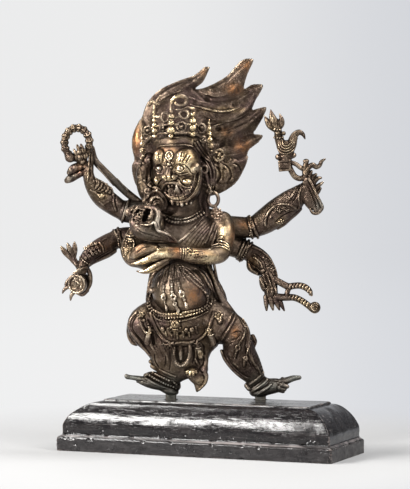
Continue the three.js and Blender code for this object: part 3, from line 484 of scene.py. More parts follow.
for st in ([(163, 350), (167.6, 356), (167, 366)], [(155, 345), (159.4, 353), (163.6, 361)]):
    b.lay(st, 1.5, lift=-0.2, k=1.2, taper=True)
b.sweep([P(174.8, 344, 25, 2.1), P(174, 354.6, 25.6, 2.3), P(175.4, 362.2, 25.2, 2.5), P(179.4, 365.6, 24.8, 2.6), P(184.4, 364.6, 25.2, 2.5), P(188.4, 360, 25.6, 2.4), P(190.2, 352, 26, 2.2), P(189.6, 345, 26.4, 2.0)], 0.35)
b.beads([(174.6, 348), (174, 354.6), (175.4, 362.2), (179.4, 366), (184.4, 365)], 1.1, 2.3, lift=0.5)
b.sweep([P(180.6, 344.6, 25.2, 2.5), P(180.8, 352, 25.4, 2.5), P(180.8, 358.6, 24.8, 1.9)], 0.35)
b.lay([(175, 344), (182, 341.6), (189, 343.6), (195, 340.6)], 1.9, lift=0.5, k=0.4)
# leg of the hide, with its paw, folded to a point
b.sweep([P(204, 338, 10, 16, 9), P(198.5, 348, 12, 12.5, 8), P(198, 360, 13, 10.2, 7), P(199, 370, 13, 9.4, 6)], 2.0)
b.sweep([P(196.5, 372, 13, 11.2, 5), P(199.5, 379, 13, 8.6, 4.4), P(199, 384.5, 12, 5.4, 3.2), P(197.2, 390.6, 11, 1.6, 1.8)], 1.0)
b.sweep([P(205.6, 352, 16, 3.2), P(205.6, 362, 16, 2.8), P(204.5, 371, 17, 2.6), P(206.4, 376, 16, 2.2), P(205, 383, 15, 1.8), P(199, 390, 13, 1.2)], 0.8)
b.groove([(203, 355), (203.4, 364), (199.5, 370), (205.5, 374.6)], 0.9, 1.4)
b.lay([(194.2, 357), (196.6, 362), (199.8, 367)], 1.7, lift=0.1, k=0.8, taper=True)
b.groove([(203.4, 345), (204.4, 353), (201.6, 362)], 1.3, 1.6)
b.groove([(193.6, 346), (194.2, 355), (192.4, 364)], 1.0, 1.6)
b.groove([(152.2, 331), (152.8, 338), (154, 346)], 1.7, 2.2)
c = A(P(192, 371.5, 20.5))
b.ell(c, (6.6, 4.4, 3.8), rot(ay=-12), k=0.6)
for i, (x, y) in enumerate(((186.6, 374.6), (189.8, 376.3), (193.4, 376.5), (196.6, 374.2))):
    a, e = P(187.4 + 2.9 * i, 371.6, 24.0), P(x, y, 23.2)
    b.sweep([(*a, 1.75), (*P(x, y - 1.6, 24.4), 1.5), (*e, 0.8)], 0.3)
b.groove([(186, 372.2), (191.5, 370.2), (197.8, 371.4)], 0.6, 0.6, k=0.2)

# hem and bands on the right-hand-side leg
b.sweep([P(221.6, 351, 8, 1.7, 5), P(225, 359, 8, 2.0, 5), P(231.5, 367.6, 6, 2.1, 5), P(240, 375.6, 4, 2.1, 5), P(248, 381, 1, 1.9, 5)], 0.6)
b.groove([(224.6, 351), (228.5, 359.8), (235, 368.2), (243.6, 375.2), (250, 378.2)], 1.2, 1.9)
b.lay([(237.2, 312), (233.6, 320), (229, 328.5), (223.6, 337.5), (218, 342.6)], 1.7, lift=0.1, k=0.8, taper=True)
b.groove([(235, 311.5), (231, 320), (226.5, 328.5), (220.8, 337)], 0.9, 1.2)
b.lay([(241, 317), (247, 327), (249, 338), (247.8, 348), (250.6, 358), (256, 367.5)], 1.5, lift=0.2, k=0.6)
b.groove([(239.6, 319), (244.8, 328), (246.5, 338), (245.5, 348), (248, 359), (253, 369)], 0.9, 1.2)
b.beads([(245.2, 325), (244.8, 329.4), (243.9, 335.3), (241.4, 340.4), (239.2, 344.2)], 1.05, 2.0, lift=0.5)
q, n, _ = b.seen([(238, 347.5)])
b.ell(q[0] - n[0] * 0.4, (2.7, 1.6, 3.0)); b.ring(q[0] + n[0] * 0.9, 2.0, 2.3, 0.95); b.ell(q[0] + n[0] * 1.5, (0.9, 1.2, 1.0), dig=True)
b.lay([(236.8, 350.6), (235.6, 354), (234.8, 357.4)], 2.0, lift=0.2, k=0.3); b.beads([(236.6, 350.8), (235.4, 354.6), (234.8, 358)], 1.1, 2.2, lift=0.9)
b.beads([(250.2, 341), (249.6, 345.4), (247.8, 349.6), (246.4, 354.6)], 1.0, 2.0, lift=0.5)
q, n, _ = b.seen([(245.4, 358)])
b.ell(q[0] - n[0] * 0.4, (2.4, 1.5, 2.6)); b.ring(q[0] + n[0] * 0.8, 1.7, 1.9, 0.85)
b.lay([(244.4, 361), (243.9, 365.8)], 1.9, lift=0.2, k=0.3)
for st, r in (([(232, 362), (237.4, 365.5), (240, 370)], 1.2), ([(251, 352), (253, 362), (258, 371)], 1.3), ([(255, 362.5), (258.5, 370), (262.5, 376.5)], 1.6)):
    b.lay(st, r, lift=0.1, k=0.7, taper=True)
for st in ([(233, 333), (238, 331), (243, 333.5)], [(228, 341), (236, 339), (240, 335)], [(226, 347), (230, 344), (233, 342)]):
    b.groove(st, 0.8, 0.7)
b.sweep([P(252.6, 336.6, 5, 2.6), P(254.8, 341.4, 5, 2.4), P(252.8, 346.6, 5, 2.6)], 0.8)
b.ell(P(250.6, 341.4, 8), 2.8, k=0.6); b.groove([(251, 339), (255.6, 343.6)], 0.6, 0.8)
b.ell(P(256, 365.6, 8), (3.4, 2.6, 2.0), k=0.5)
b.ell(P(253, 374.6, 8), (1.8, 1.8, 3.2), k=0.5)

# hems on the left-hand-side leg
b.lay([(137.6, 312.4), (131.4, 318.4), (129.4, 327), (133, 334.5), (139, 341), (144.4, 348), (150.5, 355.5)], 2.1, lift=0.4, k=0.6)
b.groove([(139.6, 314), (134, 319.4), (131.8, 327), (135.2, 333.6), (141, 340), (146.8, 347.4)], 1.0, 1.2)
b.sweep([P(128.6, 324, 8, 1.6, 3), P(128.4, 332, 8, 2.0, 4), P(130.8, 339, 8, 2.6, 4), P(135.6, 343.6, 8, 2.2, 4)], 1.0)
b.sweep([P(129.4, 338, 10, 1.9), P(132.6, 342.6, 10, 2.1), P(136.4, 344.6, 9, 1.5)], 0.5)
b.groove([(129.6, 331), (131.6, 337), (135.6, 341.4), (139.4, 345)], 0.7, 1.1)
b.lay([(139.8, 319), (141.4, 326.6), (145, 332.4), (146.6, 334)], 1.2, lift=0.15, k=0.6)
b.groove([(142.4, 318.6), (144, 326), (148.2, 331)], 1.0, 1.3)
b.groove([(147.5, 318), (150.5, 325), (153.6, 330.5)], 1.2, 1.6)
b.lay([(149.4, 343.6), (155.5, 352.4), (158.5, 361), (161, 368)], 1.5, lift=0.1, k=0.6)
b.sweep([P(152.2, 361.4, 9, 2.8), P(150.6, 361.6, 9, 2.2)], 0.8)
b.sweep([P(152, 366, 8, 2.2), P(156.4, 368.6, 9, 2.6), P(161.5, 371, 9, 2.4)], 0.8)
b.sweep([P(157, 350, 14, 8, 7), P(160.5, 362, 12, 7.4, 6), P(164, 371.4, 8, 4, 4)], 1.5)
b.groove([(154.2, 353), (155, 361), (159.6, 369)], 0.9, 1.4)

# feet with rings, standing on tenons
b.sweep([P(145.6, 375.4, 5, 2.2, 4), P(151, 374.6, 4, 3.2, 5), P(158, 376.4, 2, 4.4, 6)], 1.0)
b.sweep([P(176, 386, -6, 5, 6), P(168, 385, -4, 7.2, 8), P(160, 383.5, -1, 7, 8), P(152, 382, 1, 6.8, 8.6), P(146.4, 381.6, 3, 5.2, 8), P(141.6, 381, 5, 3.6, 6)], 1.5)
b.sweep([P(143, 379.6, 6, 3.4, 4.6), P(137, 378.2, 7, 2.7, 3.4), P(131, 377.4, 7, 2.3, 2.8), P(127.4, 376.8, 7, 2.5, 2.7), P(126.4, 375.8, 7, 2.0, 2.2)], 0.7)
b.sweep([P(143, 382.6, 5, 2.6, 4), P(139.4, 381.4, 6, 1.9, 3), P(137.6, 381.6, 6, 1.4, 2)], 0.7)
for st, r in (([(146.4, 373.4), (155, 378), (165, 382), (176.6, 386.6)], 1.6), ([(150, 370.6), (159.5, 375.4), (170, 379.6), (179.4, 383)], 1.6), ([(158.5, 368.8), (167, 373), (176.6, 376.8)], 1.4),
              ([(144.6, 377.8), (152.5, 382.6), (162.5, 386.8), (174, 389.6)], 1.4)):
    b.lay(st, r, lift=0.3, k=0.5)
for st in ([(146, 375.9), (154.5, 380.4), (164.5, 384.6), (175, 388.2)], [(148.5, 372.3), (157.5, 377), (168, 381.2), (178, 384.8)], [(154.4, 369.9), (163.5, 374.4), (173, 378.4)]):
    b.groove(st, 0.7, 1.1)
b.groove([(140, 384.2), (147, 386.6), (157, 389.4)], 0.7, 0.7)
b.groove([(138.4, 380.2), (142.6, 380.9), (147.6, 382.6)], 0.5, 0.9)
b.groove([(129.4, 375.6), (129.6, 378.6)], 0.4, 0.5)
for st in ([(147.6, 374.2), (155.6, 378.6), (165, 382.8), (175.6, 387)], [(151.4, 371.2), (160.2, 376), (170, 380.4), (178.6, 383.8)]):
    b.beads(st, 1.2, 2.5, lift=1.2)
b.sweep([P(254.6, 391, -8, 5.6, 6), P(258, 388, -5, 8, 8), P(264, 386.5, -1, 9.2, 9.6), P(268, 386.6, -1, 8.4, 8.8), P(276, 385.6, 2, 7.4, 8.4), P(281, 386, 3, 5.6, 7)], 1.2)
b.sweep([P(281, 383, 5, 4.8, 5.6), P(287.5, 380.4, 5, 3.6, 4.4), P(293, 378.4, 5, 3.1, 3.4), P(299.4, 377.6, 5, 2.2, 2.3)], 0.8)
for i, (a, e) in enumerate((((280, 387.6, 9.5), (284.6, 389.2, 10.5)), ((279, 389.6, 5), (283, 391.2, 6)), ((282, 384.8, 11), (287.2, 386.6, 11.5)))):
    b.sweep([P(*a, 2.9), P(*e, 2.2)], 0.5)
b.ell(P(282.4, 378.8, 3), 2.0, k=0.6)
for st, r in (([(246.2, 386.2), (253, 382.4), (259.8, 376.6), (264.4, 370)], 1.8), ([(249, 392.6), (257, 388.6), (265.4, 382.4), (268.4, 377.4)], 1.8), ([(250.6, 397), (258, 394), (267, 388.6), (272, 383.6)], 1.5)):
    b.lay(st, r, lift=0.25, k=0.6)
for st in ([(247.4, 389.6), (255, 385.6), (262.6, 379.4), (266.5, 373)], [(249.8, 395), (257.6, 391.4), (266.4, 385.6), (270.6, 380)]):
    b.groove(st, 0.8, 1.3)
b.groove([(272, 381), (279, 381.6), (286, 383.4), (291, 381.4)], 0.7, 0.9)
b.sweep([P(246.8, 385.6, 0, 2.8), P(249, 388.6, 1, 2.6)], 0.8)
b.ell(P(169.6, 390.6, -3), (9.4, 7.4, 4.4), rot(ay=14), k=2)
b.ell(P(260, 392.6, -3), (9.0, 7.0, 4.0), k=2)
for px, w in ((171, 11), (260.5, 11)):
    c = P(px, 396, -3)
    b.box((c[0], c[1], 40.6 + 12), (5.4, 4.4, 12), rnd=0.8)
    b.sweep([(c[0], c[1], 66, 5.6, 4.8), (c[0], c[1], 72, 6.6, 6)], 1.5)

# collar, necklaces and the ribbed shawl over the chest
b.beads([(166, 217.6), (168, 220.8), (174.6, 222.8), (182.5, 223.1), (190.3, 221.4), (196.8, 218.2), (202.6, 214)], 1.65, 2.9, lift=0.8)
b.beads([(167.4, 214.6), (170, 217.4), (175.6, 219.4), (182.5, 219.7), (189.6, 218), (195.4, 214.8), (200.4, 211)], 1.25, 2.4, lift=0.7)
b.groove([(165.6, 219), (168, 222.8), (174.6, 224.9), (182.5, 225.2), (190.6, 223.5), (197.4, 220.4), (203.4, 216.6)], 0.6, 0.6)
b.lay([(203.3, 216.9), (197, 224.6), (189.4, 232.6), (183, 238.6), (177.3, 243)], 1.3, lift=0.2, k=0.6)
b.beads([(203.3, 217.4), (197, 225.1), (189.4, 233.1), (183, 239.1)], 0.75, 1.6, lift=0.9)
for (x0, y0), (x1, y1) in zip(((204.4, 219), (206, 221.4), (207.4, 223.6), (208.8, 225.4), (210.2, 227.4), (211.6, 229.6), (213, 232)), ((180.6, 243.6), (184.6, 244.6), (188.6, 245.4), (192.6, 245.8), (196.4, 246), (200.2, 246), (204, 245.6))):
    b.groove([(x0, y0), ((x0 * 2 + x1) / 3 - 0.4, (y0 * 2 + y1) / 3 - 0.6), ((x0 + x1 * 2) / 3 - 0.6, (y0 + y1 * 2) / 3 - 0.6), (x1, y1)], 0.55, 0.42)
b.lay([(160, 226), (168, 233), (177.6, 242)], 1.1, lift=0.1, k=0.6, taper=True)
for st in ([(214, 222), (210, 232), (205, 244)], [(219, 226), (215.5, 235), (211, 246)]):
    b.lay(st, 1.4, lift=0.1, k=0.6)
print("trunk %.1f s" % (time.time() - T0), b.n)

# =================================================================================================
# the two front arms and the skull bowl with its blade
# =================================================================================================
# the back: a yoke that the rear arms run into, folds of the hide and the belt carried round
b.sweep([P(170, 217, -15, 8, 7), P(190, 214.5, -16, 8, 7), P(214, 217, -15, 8, 7)], 4)
for st in ([(168, 238), (166, 262), (164, 286), (160, 312), (160, 332)], [(178, 234), (178, 262), (177, 290), (174, 318), (173, 346)], [(190, 240), (191, 262), (192, 285), (190, 312), (188, 348)],
           [(204, 236), (208, 262), (212, 288), (212, 314), (205, 342)], [(214, 236), (218, 258), (223, 280), (225, 300)]):
    b.groove(st, 1.5, 1.5, near=-75, far=55)
for st in ([(173, 236), (172, 264), (170, 292), (167, 320), (167, 342)], [(184, 238), (184.6, 264), (184.6, 292), (182, 320), (180, 350)], [(197, 238), (199.6, 264), (202, 292), (201, 320), (196, 348)], [(209, 236), (213.4, 262), (218, 288), (218.6, 312)]):
    b.lay(st, 2.0, lift=0.1, k=1.6, near=-75, far=55, taper=True)
b.beads([(162, 299), (176, 302), (192, 303), (208, 301), (222, 296)], 1.5, near=-75, far=55)

f = Field(*window(119, 240, 196, 277, -13, 61), 0.45 * COARSE)

# right arm of the figure, bent up under the bowl
f.sweep([P(152, 220, 0, 12), P(137, 236, 8, 10.8), P(130, 249, 16, 9.7), P(134, 258.6, 27, 8.6), P(146, 257, 35, 8.0), P(156, 251, 40, 6.2)], 2)
f.sweep([P(140, 264, 26, 4.4), P(150, 266.6, 30, 4.2), P(160, 264, 34, 3.6)], 2)
# ornaments of the upper arm: a ring with flowers, and a string crossing it
for st, r in (([(123.4, 233), (129, 236.4), (135, 235.6)], 1.3), ([(122.6, 236.4), (128.6, 239.8), (134.4, 239.4)], 1.2)):
    f.lay(st, r, lift=0.35, k=0.4)
f.beads([(123.2, 238.4), (128.4, 241.8), (133.4, 241.6)], 1.15, 2.3, lift=0.5)
for c, R in (((125.6, 246), 2.3), ((130.6, 249.6), 2.2), ((126.6, 253.6), 1.9)):
    q, n, _ = f.seen([c])
    f.ell(q[0] + n[0] * 0.1, (R * 0.8, 1.2, R * 0.8), k=0.4)
    for i in range(6):
        a = 2 * math.pi * i / 6
        f.ell(q[0] + n[0] * 0.5 + A((R * math.cos(a), 0, R * math.sin(a))), R * 0.42, k=0.3)
    f.ell(q[0] + n[0] * 1.5, R * 0.36)
f.beads([(132.6, 226), (128.6, 231), (124.6, 240), (122.6, 249), (124.6, 257)], 0.95, 2.0, lift=0.4)
f.lay([(134.6, 241), (133, 246.6), (134.8, 252.4)], 1.3, lift=0.1, k=0.6, taper=True)
f.groove([(123.6, 257.4), (127.4, 262), (133, 264.6)], 0.7, 0.7)
# its hand, cupped under the bowl: the back of the hand, smooth, with the knuckles of the fingers just told
f.sweep([P(133.4, 255, 38, 4.2, 5), P(139, 251, 41, 5.6, 6), P(147, 248.6, 43.6, 6.2, 6), P(154, 248.6, 43, 5.2, 5.4), P(158, 249.4, 41, 3.4, 4)], 1.5)
f.sweep([P(135, 256.4, 42, 2.6), P(141, 253, 45, 3.2), P(149, 250.6, 46, 3.2), P(156, 250.4, 45, 2.4)], 1.6)
f.groove([(136, 253.6), (142, 248.4), (150, 246)], 0.8, 0.5, k=0.5)
f.groove([(138, 257.6), (145, 253.8), (153, 251.6)], 0.7, 0.6, k=0.4)

# bowl: a half shell, its wall broken open at the top, drawn out to a beak at the right
f.sweep([P(134.6, 223, 37, 5.4, 8), P(140.6, 229, 39, 9.0, 10), P(149, 233, 41, 9.6, 10.6), P(158.4, 236.4, 42, 7.4, 8.6), P(167, 239.2, 42, 4.6, 5.4), P(175.8, 241.6, 41, 1.8, 2.2)], 1.5)
f.sweep([P(129, 212.4, 30, 4.6, 4.8), P(136, 209.4, 30, 4.0, 4.2), P(144, 208, 31, 3.4, 4.2), P(152, 208.6, 33, 4.0, 4.6), P(157.6, 214.6, 37, 4.4, 5.2), P(159.6, 226, 41, 4.6, 5.4)], 2)
f.ell(P(140, 217, 34), (9, 9, 9), k=3)
f.ell(P(151, 219, 36), (8, 9, 12), k=3)
for x, y, rx, rz, t in ((137.2, 211.8, 2.9, 2.0, -24), (138.6, 210.0, 2.2, 1.6, 20), (146.6, 212.8, 3.6, 3.2, 10), (145.2, 217.6, 2.7, 4.2, 16), (148.6, 210.6, 2.6, 1.7, -12), (143.6, 220.4, 1.7, 1.8, 0), (141.9, 210.8, 1.8, 0.9, 0)):
    f.ell(P(x, y, 43), (rx, 10, rz), rot(ay=t), k=0.7, dig=True)                      # hollows of the broken wall
rnd_f = np.random.default_rng(13)
for i in range(70):                                                                  # its crust
    x, y = rnd_f.uniform(128, 151), rnd_f.uniform(206, 223)
    q, n, ok = f.seen([(x, y)], far=18)
    if ok[0]:
        rr = rnd_f.uniform(0.8, 1.9)
        f.ell(q[0] - n[0] * rr * 0.4, (rr, rr * 0.9, rr * rnd_f.uniform(0.6, 1.0)), rot(ay=rnd_f.uniform(0, 180)), k=0.6, dig=bool(i % 4 == 0))
# wall standing at the right, and the flowing edge from the front of the rim out to the beak
f.sweep([P(146, 207.4, 35, 1.9, 2.4), P(152, 207.6, 37.6, 2.3, 2.8), P(157.6, 210.6, 41.6, 2.9, 3.2), P(159, 216, 45.4, 3.2, 3.4), P(157.4, 222, 48, 2.6, 3), P(158.6, 228.6, 50, 2.2, 2.8)], 1.0)
f.sweep([P(132.6, 219.8, 40.6, 0.6), P(137, 222.6, 44.6, 0.75), P(143.4, 224.8, 48.2, 0.8), P(150.4, 224.6, 50.4, 1.0), P(154.2, 222.2, 50.6, 1.3), P(155.8, 225.6, 52, 1.4), P(158, 230.6, 52.4, 1.4), P(163.4, 232.8, 51.2, 1.35), P(168.4, 234.6, 49.4, 1.25), P(172.4, 237.4, 47, 1.1), P(175.6, 240.4, 44.4, 0.9)], 0.5)
f.groove([(153.4, 212), (154.2, 217), (153, 221)], 0.5, 0.7)
f.groove([(160.6, 213), (161.2, 219), (160.4, 225)], 0.6, 0.5, k=0.6)
f.groove([(136, 228), (143, 233), (152, 235.4), (161, 237.6)], 1.0, 0.5, k=0.8)
f.groove([(141, 238.6), (149, 240.6), (158, 240.8), (168, 241.6)], 0.9, 0.9)
f.lay([(160, 233.6), (166, 236), (171, 239)], 1.0, lift=0.1, k=0.6, taper=True)

# left arm of the figure, across the body under the hand
f.sweep([P(222, 222, 2, 11), P(224.8, 236, 8, 9.6), P(223.6, 246, 13, 9.2), P(219.4, 254.4, 22, 8.8), P(206, 256.4, 34, 8.2), P(192, 255.2, 42, 7.4), P(181, 252.8, 44, 6.2), P(172, 253, 45.6, 5.6, 5)], 2)
f.ell(P(226, 231, 9), (8.2, 9, 12), k=4)
for o, r in ((0, 1.1), (2.9, 1.25), (5.8, 1.1)):
    f.lay([(209.4 - o * 0.1, 245.6 + o * 0.8), (213.6, 242.2 + o * 0.9), (219.4, 240.8 + o), (225.4, 242.6 + o * 0.95), (229.8, 247 + o * 0.7)], r, lift=0.45, k=0.3, even=5)
q, n, _ = f.seen([(221, 238)])
f.ell(q[0], (2.4, 1.4, 2.2), k=0.5); f.ell(q[0] + n[0] * 1.2, 1.0)
for dx in (-2.6, 2.6):
    f.ell(q[0] + A((dx, 0, -0.6)), 1.2, k=0.3)
# bracelet, and the worn pattern chased beside it
for x, r in ((180.4, 1.0), (182.8, 1.2), (185.2, 1.0)):
    f.lay([(x - 0.4, 246.2), (x + 0.8, 250), (x + 0.8, 255.4), (x - 0.8, 260.4)], r, lift=0.45, k=0.25, even=5)
for c in ((188.6, 248.6), (190.8, 250.6), (188, 251.4)):
    q, n, _ = f.seen([c]); f.ell(q[0] + n[0] * 0.1, (1.4, 1.1, 1.4), k=0.3)
for c, w2 in (((191, 255.4), 1.2), ((194.4, 252.6), 1.0), ((194.6, 257.6), 1.1), ((198, 254.8), 1.3), ((201.6, 257.8), 1.0), ((202.4, 253.8), 0.9), ((206.4, 256.4), 1.0), ((189, 259), 0.9)):
    q, n, _ = f.seen([c]); f.ell(q[0] + n[0] * 0.45, (w2, 0.9, w2 * 0.8), k=0.5, dig=True)
f.groove([(190.6, 253), (197, 251.2), (205, 252.6)], 0.5, 0.4, k=0.3); f.groove([(190, 260.4), (198, 261.4), (206, 260.6)], 0.5, 0.4, k=0.3)
# hand: one long, smooth taper with the joints of the fingers only told near the tips
f.sweep([P(172, 252.8, 46, 5.4, 4.6), P(164, 253.4, 48.4, 4.9, 3.6), P(156, 255.6, 49, 4.0, 3.4), P(147.6, 259.2, 48, 3.0, 2.8), P(139.4, 262.6, 45.6, 2.2, 2.2), P(131.2, 264.8, 43, 1.0, 1.2)], 1.0)
f.sweep([P(170, 249.6, 46, 3.0), P(164, 248.6, 47.4, 2.7), P(158.6, 249.6, 47.6, 1.9)], 1.4)
f.groove([(158, 257.8), (150, 260.8), (142, 264)], 0.5, 0.7, k=0.3)
f.sweep([P(168, 257.6, 43, 3.4), P(160, 262.6, 43.6, 2.7), P(152, 267.4, 43, 2.3), P(146, 270.6, 42, 1.8), P(140, 271.6, 40.6, 1.2)], 1.0)
f.sweep([P(166, 261.6, 38, 3), P(158.4, 267.4, 38.6, 2.4), P(150.6, 271.4, 38, 1.8), P(143.6, 272.8, 37, 1.1), P(137, 271.2, 36, 0.8)], 0.8)
f.lay([(166, 256.4), (157, 259.6), (149.6, 262.6)], 0.9, lift=0.1, k=0.5, taper=True)
print("front arms %.1f s" % (time.time() - T0), f.n)

# =================================================================================================
# head, hair and crown
# =================================================================================================
h = Field(*window(131, 228, 91, 224, -24, 50), 0.42 * COARSE)
HEAD_C = A(P(177.5, 171, 8))
HR = rot(az=-20) @ rot(ay=-4)


def on(px, py, lift=0.0, F=h, far=-55):
    """Point on the skin seen at that place, lifted along its normal; and the frame of that normal (side, out, up)."""
    q, n, _ = F.seen([(px, py)], far=far)
    n = n[0]
    sx = np.cross([0, 0, 1.0], -n); sx /= max(np.linalg.norm(sx), 1e-6)
    return q[0] + n * lift, np.stack([sx, -n, np.cross(sx, -n)], 1)


def bead_on(px, py, r, lift=0.0, k=0.3, F=h, far=-55, dig=False):
    c, M = on(px, py, lift, F, far)
    F.ell(c, r if np.ndim(r) else (r, r, r), M, k=k, dig=dig)


def coil(px, py, R, r, lift, turns=1.0, start=0.0, F=h, k=0.3, far=-55, shrink=0.0):
    """A ring, or a closing spiral, lying on the skin."""
    c, M = on(px, py, lift, F, far)
    t = np.linspace(0, 2 * math.pi * turns, int(18 * turns) + 2)
    Rx, Rz = (R if np.ndim(R) else (R, R))
    F.sweep([(*(c + M @ A((Rx * (1 - shrink * a / t[-1]) * math.cos(a + start), -0.4 * shrink * a / t[-1], Rz * (1 - shrink * a / t[-1]) * math.sin(a + start)))), r) for a in t], k, step=99)


h.ell(P(179, 145, 4), (27.0, 27, 20))                                            # swept-up hair
h.ell(HEAD_C, (24.6, 25, 28), HR, k=3)                                           # skull
h.ell(P(176, 158.6, 13), (22.6, 19, 14.5), HR, k=4)                              # full forehead
h.sweep([P(182, 200, 2, 14, 12), P(186, 222, -2, 17, 13)], 3)                     # neck, in shadow
# masses of hair beside the face
for st in ([P(149, 158, 6, 6), P(144, 172, 5, 7.4), P(143.6, 186, 6, 7), P(148, 197, 8, 6.6), P(156.6, 204, 11, 5)],
           [P(205, 156, -4, 6.4), P(211, 168, -6, 7.6), P(211, 181, -8, 7.2), P(205.6, 190, -8, 6), P(201, 198, -7, 5), P(199, 212, -6, 6)]):
    h.sweep(st, 2)
h.ell(P(183.6, 184.4, 12), (17.6, 18.5, 18.6), HR, k=5)                          # jaw
h.ell(P(178.6, 192, 17), (13.5, 14, 11.6), HR, k=4)
bead_on(187.4, 161.2, (12.4, 8.4, 12.8), -1.6, 1.8)                               # swollen brows
bead_on(158.8, 157.2, (6.6, 7.2, 9.0), -1.5, 1.2)
bead_on(194, 170.6, (6.0, 4.4, 8.4), -0.6, 2.2)
bead_on(187.2, 181.6, (5.4, 3.4, 3.2), 0.7, 0.6)                                  # cheeks
bead_on(157.0, 181.4, (3.2, 3.2, 4.8), 0.0, 0.9)
# eyes: small bulging balls, each sunk in a dark ring under the brow
for x, y, R in ((159.8, 168.7, 2.9), (180.2, 168.3, 3.7)):
    bead_on(x, y, (R + 1.7, 2.6, R + 1.4), 0.6, 0.6, dig=True)
    bead_on(x, y, (R, R, R * 0.96), 1.2, 0.2)
    c, M = on(x, y, 0.0)
    h.sweep([(*(c + M @ A(((R + 0.75) * math.cos(a), 0.4 - 0.5 * abs(math.sin(a)), (R + 0.6) * math.sin(a)))), 0.5) for a in np.linspace(0.25, math.pi - 0.25, 9)], 0.3, step=99)
    bead_on(x + 0.1, y + 0.3, (R * 0.30, R * 0.34, R * 0.30), 0.25, 0.15, dig=True)
# nose: short and broad, its tip and wings standing over the lip
nb, _ = on(168.8, 169.0, -0.6); nm, _ = on(168.8, 173.2, 1.2); nt, _ = on(168.7, 176.9, 3.9)
h.sweep([(*nb, 2.0), (*nm, 2.9), (*nt, 3.7)], 1.8)
for x, y, R in ((164.2, 177.5, 2.9), (174.4, 176.8, 3.2)):
    bead_on(x, y, (R + 0.5, 2.7, R * 0.86), 1.1, 0.9)
h.lay([(163.2, 178.6), (166, 180.2), (169, 180.4), (172.6, 179.6), (176.2, 177.9)], 1.1, lift=0.4, k=0.5)
for x, y in ((165.8, 179.4), (172.0, 179.0)):
    bead_on(x, y, (1.1, 1.4, 0.7), 0.5, 0.2, dig=True)
# knot of the frown; third eye in its oval
for x, y, R in ((169.0, 164.8, 2.1), (165.7, 163.6, 1.4), (172.6, 163.2, 1.5), (166.8, 167.4, 1.2), (171.3, 167.4, 1.3), (169.3, 161.4, 1.3)):
    bead_on(x, y, (R, R * 0.9, R), 0.1, 0.5)
coil(169.2, 155.8, (3.3, 4.1), 0.85, 0.5)
bead_on(169.2, 156.0, (2.0, 1.5, 2.7), 0.3, 0.3)
# hairs of the brows, only scratched into the swellings, and the crease under them
for x0, x1, y0, y1, w0 in ((176.4, 178.6, 162.4, 154.0, 0.55), (179.4, 182.4, 163.4, 151.0, 0.45), (182.2, 187.0, 161.6, 153.6, 0.6), (186.2, 190.0, 162.0, 155.4, 0.45)):
    h.groove([(x0, y0), ((x0 * 2 + x1) / 3 + 0.4, y0 * 0.6 + y1 * 0.4), (x1, y1)], w0, 0.42, k=0.6)
for x0, x1, y0, y1, w0 in ((163.2, 162.8, 161.0, 154.6, 0.5), (159.8, 158.4, 162.0, 152.6, 0.55), (156.8, 155.8, 159.0, 155.0, 0.4)):
    h.groove([(x0, y0), ((x0 + x1) / 2 - 0.3, (y0 + y1) / 2), (x1, y1)], w0, 0.42, k=0.6)
h.groove([(173.8, 166.6), (177.6, 164.4), (183.6, 164.8), (188.2, 168), (191.4, 173.2), (195.2, 174.6)], 0.6, 1.1)
h.groove([(165.4, 166.6), (161.6, 164.4), (157, 165.2), (154.6, 168.6)], 0.6, 0.9)
h.lay([(176.2, 173.6), (181, 174.9), (186.4, 174.2), (190.2, 172)], 1.1, lift=0.1, k=0.6, taper=True)
h.lay([(162.6, 173.4), (159.4, 174.2), (156, 172.8)], 0.9, lift=0.1, k=0.6, taper=True)
for x0, y0, x1, y1 in ((163.4, 170.6, 162, 175.6), (173.8, 170.4, 175.8, 174.6), (161.6, 176.8, 158.2, 178.4), (178.4, 176.2, 183.2, 177.2), (184.6, 176.8, 191.4, 176.4), (192.8, 178.4, 193.6, 185), (154.8, 175.6, 154.4, 183), (160.6, 184.6, 158.8, 189), (190.6, 186, 186.4, 187.6), (180.6, 180.6, 180.2, 183)):                 # wrinkles over the nose and cheeks
    h.groove([(x0, y0), ((x0 + x1) / 2 + 0.4, (y0 + y1) / 2 + 0.4), (x1, y1)], 0.5, 0.6, k=0.3)
# snarling mouth: curled lip and tongue, dark only at the corner on the left
bead_on(176.8, 190.4, (9.6, 4.2, 4.9), 0.4, 1.0, dig=True)
bead_on(167.4, 189.8, (2.6, 5.0, 4.4), 0.2, 0.8, dig=True)
h.sweep([P(180.6, 196.6, 24, 3.0, 2.6), P(178.6, 193, 28.6, 3.0, 2.4), P(177, 189.4, 31, 2.2, 2.0), P(176.3, 185.8, 32.6, 0.9)], 0.8)
coil(187.4, 191.4, (2.9, 2.6), 1.0, 0.5, 1.8, 1.2, shrink=0.75, k=0.4)
coil(171.2, 190.4, (3.2, 3.0), 0.95, 0.6, 2.0, 0.4, shrink=0.7, k=0.4)
h.sweep([P(183.6, 195.4, 24.6, 1.3), P(183.4, 191.6, 28, 1.3), P(181.4, 188.6, 29.6, 1.1)], 0.5)
h.sweep([P(175.4, 196.4, 26.6, 1.2), P(174.6, 193.4, 29.4, 1.2), P(175, 190.6, 30.6, 0.9)], 0.5)
lip = [(162.6, 188.6), (163.8, 185.6), (167.2, 183.4), (171.4, 182.8), (175.4, 183.2), (179.2, 185.0), (182.4, 187.6), (186, 189.2), (190, 188.6)]
h.sweep([P(x, y, d, 1.4) for (x, y), d in zip(lip, (23.4, 26.6, 31.0, 32.8, 32.6, 31.0, 28.6, 26.4, 23.6))], 0.7)
h.lay([(164.6, 184.6), (168.2, 182.2), (173.6, 181.6), (178.6, 183.4)], 0.9, lift=0.3, k=0.5)
